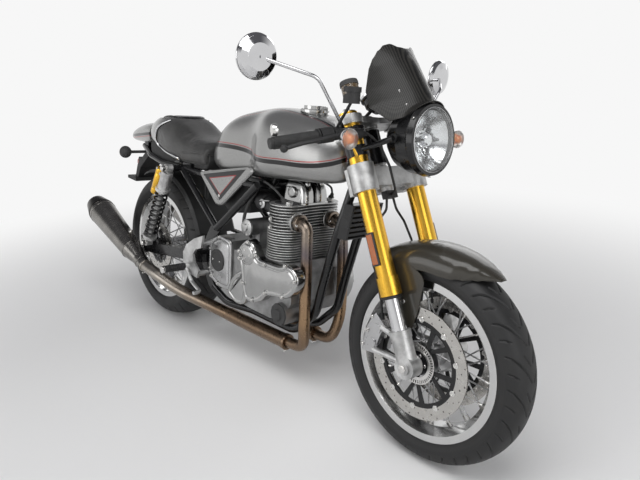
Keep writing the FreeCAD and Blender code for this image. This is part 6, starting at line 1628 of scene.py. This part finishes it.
def build_engine():
    screws, ridge, black, cast = Stock(), Stock(), Stock(), Stock()
    timing = [spot(along, up, -TIMING_FACE) for along, up in TIMING_SPOTS]
    for index, place in enumerate(inset_points(timing, 10.5)):
        if index % 2 == 0:
            boss(ridge, screws, place, -LEFT)
    covers = Stock()
    engine_cover(covers, smooth_path(timing, 6, closed=True), -1, 117, TIMING_FACE, 0.8)
    covers.lathe([(0, 38), (6, 38), (10, 36), (12, 32)], spot(*TIMING_DISC, -TIMING_FACE + 6), -LEFT, 48)
    engine_cover(covers, rounded([spot(*share) for share in TIMING_LOBE], 26), -1, 117, 139, 0.4)
    piece("timing_cover_shell", covers, "chassis", "polished_alloy", 50, node="timing_cover")
    gear = Stock()
    engine_cover(gear, rounded([spot(*share) for share in GEARBOX_OUTLINE], 58), -1, 92, GEARBOX_FACE + 2, 1)
    piece("gearbox_cover_shell", gear, "chassis", "satin_alloy", 50)
    disc = spot(*TIMING_DISC, -TIMING_FACE - 5)
    ridge.lathe([(-2, 33), (0.8, 33), (1.8, 31.5), (1.8, 27.5), (0, 26.5), (-2, 26.5)], disc, -LEFT, 48, joined=True)
    for index in range(3):
        screws.bolt(disc + Vector((18 * cos(2.1 * index), 0, 18 * sin(2.1 * index))), -LEFT, 4.2, 2.6)
    primary = [spot(along, up, TIMING_FACE) for along, up in PRIMARY_SPOTS]
    for place in inset_points(primary, 11):
        boss(ridge, screws, place, LEFT)
    dome = spot(0.6113, 0.52, TIMING_FACE + 12)
    ridge.lathe([(-2, 66), (0.8, 66), (1.8, 64.5), (1.8, 58), (0, 57), (-2, 57)], dome, LEFT, 64, joined=True)
    for index in range(5):
        angle = tau * index / 5 + 0.3
        screws.bolt(dome + Vector((48 * cos(angle), -0.5, 48 * sin(angle))), LEFT, 4.6, 3.2)
    for place in inset_points([spot(along, up, -GEARBOX_FACE) for along, up in GEARBOX_SPOTS], 9):
        boss(ridge, screws, place, -LEFT, 8, 7, 18, 4.6)
    cap = spot(0.3655, 0.5443, -GEARBOX_FACE + 1)
    black.lathe([(0, 42), (7, 42), (9, 40.4), (10, 36), (10, 30), (8.8, 28.5), (8.8, 0.5)], cap, -LEFT, 48)
    for out in (-23, 23):
        screws.bolt(cap + Vector((out, -8.6, 0)), -LEFT, 5, 3.6)
    for facing in SIDES:
        for z in (600, 572):
            screws.nut((838, 139.5 * facing, z), LEFT * facing, 5.5, 5)
        plug = Vector((868, 92 * facing, 640))
        black.lathe([(0, 9), (4, 11), (26, 10), (30, 7), (38, 6), (38, 0.5)], plug, (-0.25, 0.55 * facing, 0.8), 18)
        lead = [plug + Vector((-8, 20 * facing, 30)), (836, 122 * facing, 692), (780, 112 * facing, 706),
                (728, 88 * facing, 704)]
        black.tube(smooth_path(lead, 8), 3.6, 10)
        throttle = Vector((726, 89 * facing, 628))
        cast.lathe([(0, 16), (3, 16), (4, 14), (4, 6), (8, 5.5), (8, 0.5)], throttle, LEFT * facing, 24)
        cast.rod(throttle + Vector((-14, 3 * facing, 8)), throttle + Vector((40, 3 * facing, 16)), 2.2, 8)
        hose = [(640, 66 * facing, 486), (632, 96 * facing, 540), (660, 102 * facing, 610), (700, 96 * facing, 668)]
        black.tube(smooth_path(hose, 8), 6, 12)
    start = Vector((654, -96, 530))
    cast.lathe([(-2, 29.5), (1, 30.8), (5, 30.8), (7, 28), (9, 14), (14, 12), (15, 0.5)], start, -LEFT, 36)
    for angle in (40, 160, 280):
        screws.bolt(around(start, 24, angle, -5), -LEFT, 3.6, 3)
    filter_end = Vector((893, -132, 286))
    black.lathe([(-1, 36.5), (2, 38.6), (5, 37), (6, 20), (12, 18), (13, 0.5)], filter_end, -LEFT, 12)
    bright_piece("engine_screws", screws, "chassis")
    piece("engine_ridges", ridge, "chassis", "polished_alloy")
    piece("engine_caps_and_hoses", black, "chassis", "black_plastic")
    piece("engine_cast_fittings", cast, "chassis", "cast_alloy")
    fit_exhaust()


def fit_exhaust():
    """Dark end cones, weld seams and hanger bolts of the mufflers; rubber pegs with silver ends."""
    dark = worn_metal("muffler_end_steel", (0.085, 0.08, 0.075), 0.24, patches=0.3)
    cones, bores, seams, rubber_parts, ends = Stock(), Stock(), Stock(), Stock(), Stock()
    for facing in SIDES:
        start, end = (Vector((p.x, p.y * facing, p.z)) for p in (MUFFLER_START, MUFFLER_END))
        way = (end - start).normalized()
        length = (end - start).length
        profile = [(0.872, 59.4), (0.876, 60.6), (0.886, 60.4), (1.003, 44.6), (1.007, 41), (1.004, 36.8), (0.93, 35.8),
                   (0.93, 37.5), (0.99, 40.5), (0.9, 55)]
        cones.lathe([(length * along, radius) for along, radius in profile], start, way, 64, joined=True)
        # painted shade: a shallow matt black cup inside each outlet stands for the dark depth of the pipe
        bores.lathe([(length * 0.901, 0.5), (length * 0.901, 35.6), (length * 0.985, 36.6), (length * 0.985, 35.4),
                     (length * 0.912, 33), (length * 0.908, 0.5)], start, way, 48, joined=True)
        for along, radius in ((0.242, 45.2), (0.05, 29.6), (0.84, 60.2)):
            seams.tube(hoop(start, way, radius, 60, length * along), 1.5 if along < 0.5 else 1.1, 8, closed=True)
        hanger = start.lerp(end, 0.3) + UP * 44
        seams.box(hanger + UP * 6 - LEFT * 8 * facing, (34, 5, 44))
        ends.nut(hanger + UP * 18 - LEFT * 5.5 * facing, LEFT * facing, 7, 6)
        peg = Vector((378, 186 * facing, 330))
        rows = []
        for index in range(11):
            rows += [(index * 8, 12.4), (index * 8 + 1.2, 14.4), (index * 8 + 5.2, 14.4), (index * 8 + 6.4, 12.4)]
        rubber_parts.lathe(rows, peg, LEFT * facing, 24)
        ends.lathe([(88, 12.6), (89, 13.6), (95, 13.6), (97, 12), (97, 0.5)], peg, LEFT * facing, 28)
    piece("muffler_end_cones", cones, "chassis", dark)
    piece("muffler_bore_shade", bores, "chassis", "black_plastic")
    piece("muffler_seams", seams, "chassis", "muffler_steel", bevel_mm=0.4)
    piece("peg_rubbers", rubber_parts, "chassis", "cap_rubber")
    bright_piece("peg_ends_and_hanger_nuts", ends, "chassis")


class MOTORCYCLE_OT_engine(Operator):
    """Cover screws, ridges, caps, plug leads and the fittings of the exhaust."""
    bl_idname = "motorcycle.engine"
    bl_label = "Engine fittings"

    def execute(self, context):
        build_engine()
        return {"FINISHED"}


# Body trim

PANEL_OUTER = ((361, 692), (686, 750), (706, 735), (519, 587), (479, 582))
PANEL_INNER = ((388, 691), (674, 742), (668, 728), (515, 608), (494, 604))
PANEL_SIDE = 112
FILLER = Vector((868, 0, 951.5))
FILLER_SCREW_R = 42.6


def build_trim():
    covers, knobs = Stock(), Stock()
    outer = rounded(PANEL_OUTER, 16)
    inner = rounded(PANEL_INNER, 12)
    near = [a.lerp(b, 0.3) for a, b in zip(outer, inner)]
    for facing in SIDES:
        rings = []
        for points, side in ((outer, PANEL_SIDE - 5), (outer, PANEL_SIDE + 3), (near, PANEL_SIDE + 7.5),
                             (inner, PANEL_SIDE + 8), (inner, PANEL_SIDE + 6.2)):
            rings.append([Vector((point.x, side * facing, point.y)) for point in points])
        middle = sum(rings[-1], Vector((0, 0, 0))) / len(rings[-1])
        rings[-1] = [point.lerp(middle, 0.02) for point in rings[-1]]
        covers.rings(rings, capped=True)
        knobs.bolt((506, (PANEL_SIDE + 6.4) * facing, 622), LEFT * facing, 6, 3.5)
    panel_paint = silver_paint("panel_paint", panel_stripes)
    piece("side_cover_panels", covers, "chassis", panel_paint, 20, node="side_covers")
    trim = Stock()
    trim.lathe([(-6, 38), (-6, 47), (1.5, 47), (3.2, 45), (3.2, 39.5), (1.5, 38)], FILLER, UP, 56, joined=True)
    for index in range(6):
        angle = tau * (index + 0.5) / 6
        trim.bolt(FILLER + Vector((FILLER_SCREW_R * cos(angle), FILLER_SCREW_R * sin(angle), 2.5)), UP, 2.6, 1.6)
    piece("filler_trim", trim, "chassis", "polished_alloy")
    lamp, shell = Stock(), Stock()
    centre = Vector((-312, 0, 648))
    lamp.lathe([(-35, 5), (-34, 14), (-30, 18.6), (-24, 20), (24, 20), (30, 18.6), (34, 14), (35, 5)], centre, LEFT, 36)
    shell.box(centre + Vector((17, 0, 4)), (26, 74, 42))
    for facing in SIDES:
        shell.rod((-196, 44 * facing, 708), (-196, 128 * facing, 708), 6.6, 14)
        knobs.bolt((-331, 34 * facing, 572), UP, 4, 3)
    red = stained_lens("tail_lens", (0.55, 0.03, 0.02))
    piece("tail_lamp_lens", lamp, "chassis", red, node="tail_lights")
    piece("tail_lamp_shell", shell, "chassis", "black_plastic", bevel_mm=3)
    bright_piece("body_screws", knobs, "chassis")


class MOTORCYCLE_OT_trim(Operator):
    """Side covers with a bevelled margin, filler trim ring, tail lamp and plate bolts."""
    bl_idname = "motorcycle.trim"
    bl_label = "Body trim"

    def execute(self, context):
        build_trim()
        return {"FINISHED"}


# Bodywork shells

def sheet(stock, grid, thickness):
    """Thin shell over a grid of points, thickened along its own normals."""
    rows, columns = len(grid), len(grid[0])
    outer, inner = [], []
    for row in range(rows):
        for column in range(columns):
            down = grid[min(row + 1, rows - 1)][column] - grid[max(row - 1, 0)][column]
            across = grid[row][min(column + 1, columns - 1)] - grid[row][max(column - 1, 0)]
            normal = down.cross(across)
            normal = normal.normalized() if normal.length > 1e-6 else UP
            outer.append(grid[row][column])
            inner.append(grid[row][column] - normal * thickness)
    shell(stock, outer, inner, columns)


SCREEN_LOW = 642
SCREEN_HEIGHT = 216
SCREEN_SECTIONS = ((0, 240, 108, 172), (0.27, 232, 111, 118), (0.49, 222, 109, 118), (0.75, 208, 101, 140),
                   (1, 190, 90, 156))
SCREEN_TOP = ((0, 0.93), (0.22, 0.945), (0.5, 1), (0.68, 0.99), (0.84, 0.93), (0.95, 0.84), (1, 0.74))
LAMP_ROOM_R = 100.5
FENDER_CROWN_R = 333
FENDER_HALF = ((56, 12), (58, 22), (62, 38), (68, 57), (76, 71), (86, 75.5), (122, 75.5), (130, 70))
FENDER_EDGE = ((56, 329), (60, 314), (64, 297), (70, 279), (76, 267), (82, 262), (118, 262), (130, 284))
FENDER_ARCH = ((1, 0), (1, 0.22), (0.94, 0.5), (0.8, 0.74), (0.58, 0.9), (0.3, 0.98), (0, 1))
FENDER_STAY = ((1404, 425), (1420, 545), (1360, 572), (1262, 545), (1328, 452), (1348, 376), (1382, 364))


def build_shells():
    screen = Stock()
    grid = []
    for row in range(37):
        line = []
        for column in range(41):
            across = column / 20 - 1
            up = row / 36 * between_rows(SCREEN_TOP, abs(across), True)[0]
            front, half, back = between_rows(SCREEN_SECTIONS, up)
            point = on_fork(front - (front - back) * across * across, half * across, SCREEN_LOW + SCREEN_HEIGHT * up)
            reach = point - LAMP_CENTRE
            radial = reach - LAMP_AHEAD * reach.dot(LAMP_AHEAD)
            if radial.length < LAMP_ROOM_R:
                point = point + radial.normalized() * (LAMP_ROOM_R - radial.length)
            line.append(point)
        grid.append(line)
    sheet(screen, grid, 2.6)
    twill = carbon_weave("carbon_screen", 2.2, (0.022, 0.021, 0.019), (0.003, 0.003, 0.003), 0.08)
    piece("fly_screen_shell", screen, "steering", twill, 60, node="fly_screen")
    bolts = Stock()
    for side in (-62, 62):
        for up in (0.16, 0.36):
            front, half, back = between_rows(SCREEN_SECTIONS, up)
            across = side / half
            spot_on = on_fork(front - (front - back) * across * across, side, SCREEN_LOW + SCREEN_HEIGHT * up)
            bolts.bolt(spot_on, STEER_AHEAD + LEFT * across * 0.9, 4.6, 2.6)

    fender = Stock()
    grid = []
    arch = smooth_path(FENDER_ARCH, 4)
    arch = [(p.x, p.y) for p in arch] + [(-p.x, p.y) for p in reversed(arch[:-1])]
    for row in range(41):
        angle = 56 + 74 * row / 40
        half, edge = (between_rows(table, angle, True)[0] for table in (FENDER_HALF, FENDER_EDGE))
        grid.append([around(FRONT_AXLE, edge + (FENDER_CROWN_R - edge) * up, angle, half * side) for side, up in arch])
    sheet(fender, grid, 2.6)
    for facing in SIDES:
        stay = rounded(FENDER_STAY, 26, 8)
        fender.plate(stay, 75 * facing, 3)
        for x, z in ((1379, 388), (1358, 462)):
            bolts.bolt((x, 76.5 * facing, z), LEFT * facing, 6, 4)
    twill = carbon_weave("carbon_fender", 1.3, (0.034, 0.03, 0.022), (0.01, 0.009, 0.007), 0.7)
    piece("front_fender_shell", fender, "steering", twill, 42, node="front_fender")
    bright_piece("shell_bolts", bolts, "steering")
    fit_mirrors()


def fit_mirrors():
    """Looking glasses and rim beads on the back of the mirror shells."""
    glass, rims = Stock(), Stock()
    for facing in SIDES:
        centre = on_fork(33, 381 * facing, 859) - AHEAD * 8
        ahead = Vector((1, 0.12 * facing, -0.08))
        glass.lathe([(-1.4, 0.5), (-1.4, 52), (-0.2, 53.5), (0.4, 53.5), (0.4, 0.5)], centre, ahead, 56, joined=True)
        rims.lathe([(-3, 53), (-3.4, 55.5), (-1.5, 57.6), (2.5, 58), (4, 57), (0, 53)], centre, ahead, 56, joined=True)
    silvered = Finish("looking_glass", Metallic=1, Coat_Weight=1)
    silvered.done(silvered.blend(silvered.noise(0.02, 3), tint(0.62, 0.64, 0.65), tint(0.68, 0.69, 0.7)),
                  silvered.between(silvered.noise(0.05, 4), 0.3, 0.8, 0.02, 0.07))
    piece("mirror_glasses", glass, "steering", "looking_glass")
    piece("mirror_rims", rims, "steering", "chrome_plate", 60)


class MOTORCYCLE_OT_shells(Operator):
    """Fly screen with a waved top edge and the front fender."""
    bl_idname = "motorcycle.shells"
    bl_label = "Screen and fender"

    def execute(self, context):
        build_shells()
        return {"FINISHED"}


# Barrels and pipes

BARREL_X = 844
BARREL_REACH = 62
BARREL_OUT = 78
FIN_ROWS = ((466, 568, 13, 0), (578, 646, 8, 4))
PORT_FACE = 906
HEADER_PATH = ((PORT_FACE, PORT_SIDE, PORT_HEIGHT), (950, 78, 588), (964, 84, 430), (968, 84, 252), (950, 64, 168),
               (850, 66, 162))
COLLECTOR_PATH = ((866, 66, 162), (640, 76, 160), (545, 85, 165))
LINK_PATH = ((556, 84, 164), (430, 106, 174), (280, 150, 196), (150, 194, 246), (60, 194, 256))


def barrel_outline(inset):
    """Outline round both cylinders: a half round at each side, drawn in a little between them."""
    points = []
    for facing, start in ((1, 0), (-1, pi)):
        for step in range(17):
            angle = start + pi * step / 16
            reach = BARREL_REACH - inset
            points.append((BARREL_X + reach * cos(angle), BARREL_OUT * facing + reach * sin(angle)))
        points.append((BARREL_X - (BARREL_REACH - inset - 7) * facing, 26 * facing))
        points.append((BARREL_X - (BARREL_REACH - inset - 7) * facing, -26 * facing))
    return points


def slab(stock, low, high, inset, edge):
    """Flat layer with the outline of the barrels and softened rims."""
    rings = []
    for z, extra in ((low, edge), (low + edge, 0), (high - edge, 0), (high, edge)):
        rings.append([Vector((x, y, z)) for x, y in barrel_outline(inset + extra)])
    stock.rings(rings, capped=True)


def build_barrels():
    light = cast_metal("finned_castings", (0.62, 0.62, 0.61), 0.36, 0.06)
    # the core is the same cast alloy as the fins, painted far darker: painted shade in the gaps between the fins
    dark = cast_metal("barrel_core_painted_shade", (0.12, 0.12, 0.122), 0.5)
    for name, node, (low, high, count, inset) in (("barrel_fins", "cylinder_block", FIN_ROWS[0]),
                                                  ("head_fins", "cylinder_head", FIN_ROWS[1])):
        fins = Stock()
        pitch = (high - low) / (count - 1)
        for index in range(count):
            middle = low + pitch * index
            slab(fins, middle - 1.5, middle + 1.5, inset, 0.7)
        # core between the fins, in the darker finish: painted shade
        fins.tone = 1
        slab(fins, low - 4, high + 4, inset + 17, 1)
        fins.tone = 0
        if node == "cylinder_head":
            for facing in SIDES:
                port = Vector((874, PORT_SIDE * facing, PORT_HEIGHT))
                fins.lathe([(0, 30), (20, 34), (24, 34), (26, 32), (26, 21)], port, AHEAD, 32)
                fins.lathe([(0, 15), (10, 15), (12, 13), (12, 0.5)], (868, 92 * facing, 646), UP, 24)
        piece(name, fins, "chassis", [light, dark], node=node)
    boxes, bolts = Stock(), Stock()
    for facing in SIDES:
        rings = []
        for z, share in ((650, 1.02), (652, 1), (672, 0.985), (690, 0.935), (704, 0.85), (715, 0.73), (722, 0.58),
                         (726.5, 0.4), (728, 0.2)):
            corners = [(BARREL_X + 60 * share * sx, (29.5 + 26.5 * share * sy) * facing)
                       for sx, sy in ((-1, -1), (1, -1), (1, 1), (-1, 1))]
            rings.append([Vector((p.x, p.y, z)) for p in rounded(corners, 26.4 * share + 1, 8)])
        boxes.rings(rings, capped=True)
        for x in (802, 886):
            boxes.lathe([(-10, 9), (3, 9), (4.5, 7.5), (4.5, 0.5)], (x, 30 * facing, 720), UP, 20)
            bolts.nut((x, 30 * facing, 724), UP, 6, 6.5)
        boxes.lathe([(0, 19), (7, 19), (9, 17), (9, 12), (7.5, 11), (7.5, 0.5)], (BARREL_X, 54 * facing, 684),
                    LEFT * facing, 36)
    flange = rounded([(BARREL_X + x, y) for x, y in ((-64, -59), (62, -59), (62, 59), (-64, 59))], 22)
    boxes.rings([[Vector((p.x, p.y, z)) for p in flange] for z in (648.5, 654.5)], capped=True)
    piece("rocker_boxes", boxes, "chassis", "polished_alloy", 50, node="rocker_cover")

    pipes = Stock()
    for facing in SIDES:
        def sided(path):
            return [Vector((x, side * facing, z)) for x, side, z in path]

        pipes.tube(bent(sided(HEADER_PATH), 62, 10), 19, 28)
        pipes.tube(bent(sided(COLLECTOR_PATH), 60, 6), 26, 28)
        pipes.tube(bent(sided(LINK_PATH), 60, 10), 24, 28)
        port = Vector((PORT_FACE, PORT_SIDE * facing, PORT_HEIGHT))
        pipes.lathe([(-2, 20), (-2, 28), (0, 29), (10, 29), (12, 26), (12, 20)], port, AHEAD, 32, joined=True)
        for path, radius in ((COLLECTOR_PATH, 28.4), (LINK_PATH[::-1], 27)):
            start, after = sided(path)[0], sided(path)[1]
            way = (after - start).normalized()
            pipes.lathe([(0, 20), (0, radius - 1), (1.5, radius), (18, radius), (19.5, radius - 1), (19.5, 20)],
                        start - way * 6, way, 32, joined=True)
            low = start + way * 4 - UP * (radius + 4)
            bolts.rod(low - LEFT * 12, low + LEFT * 12, 3.2, 8)
        for out in (-22, 22):
            bolts.nut(port + Vector((11, out, -4)), AHEAD, 4.5, 7)
    piece("exhaust_pipes", pipes, "chassis", heat_tinted(), 50, node="header_pipes")
    bright_piece("barrel_and_pipe_bolts", bolts, "chassis")
    pan = Stock()
    outline = rounded(((-78, 770), (-70, 712), (40, 694), (372, 694), (392, 730), (386, 770)), 22, 5)
    pan.plate(outline, 0, 186)
    piece("seat_pan", pan, "chassis", "black_plastic", bevel_mm=8)


class MOTORCYCLE_OT_barrels(Operator):
    """Rounded cooling fins, rocker boxes and smooth exhaust pipes."""
    bl_idname = "motorcycle.barrels"
    bl_label = "Barrels and pipes"

    def execute(self, context):
        build_barrels()
        return {"FINISHED"}


# Panel and start-up

OPERATORS = (
    MOTORCYCLE_OT_stage, MOTORCYCLE_OT_metalwork, MOTORCYCLE_OT_tyres, MOTORCYCLE_OT_wheels, MOTORCYCLE_OT_lamp,
    MOTORCYCLE_OT_front_end, MOTORCYCLE_OT_running_gear, MOTORCYCLE_OT_seat, MOTORCYCLE_OT_engine, MOTORCYCLE_OT_trim,
    MOTORCYCLE_OT_shells, MOTORCYCLE_OT_barrels,
)


class MOTORCYCLE_PT_panel(Panel):
    """Lists the steps of the build and what can be changed in them."""
    bl_idname = "MOTORCYCLE_PT_panel"
    bl_label = "Cafe racer motorcycle"
    bl_space_type = "VIEW_3D"
    bl_region_type = "UI"
    bl_category = "Motorcycle"

    def draw(self, context):
        for operator in OPERATORS:
            self.layout.operator(operator.bl_idname)
        for name, group in SETTINGS:
            box = self.layout.box()
            for setting in group.__annotations__:
                box.prop(getattr(context.scene, name), setting)


def register():
    for name, group in SETTINGS:
        bpy.utils.register_class(group)
        setattr(Scene, name, PointerProperty(type=group))
    for thing in OPERATORS + (MOTORCYCLE_PT_panel,):
        bpy.utils.register_class(thing)


def unregister():
    for thing in reversed(OPERATORS + (MOTORCYCLE_PT_panel,)):
        bpy.utils.unregister_class(thing)
    for name, group in reversed(SETTINGS):
        delattr(Scene, name)
        bpy.utils.unregister_class(group)


def main():
    register()
    for operator in OPERATORS:
        group, name = operator.bl_idname.split(".")
        getattr(getattr(bpy.ops, group), name)()


if __name__ == "__main__":
    main()
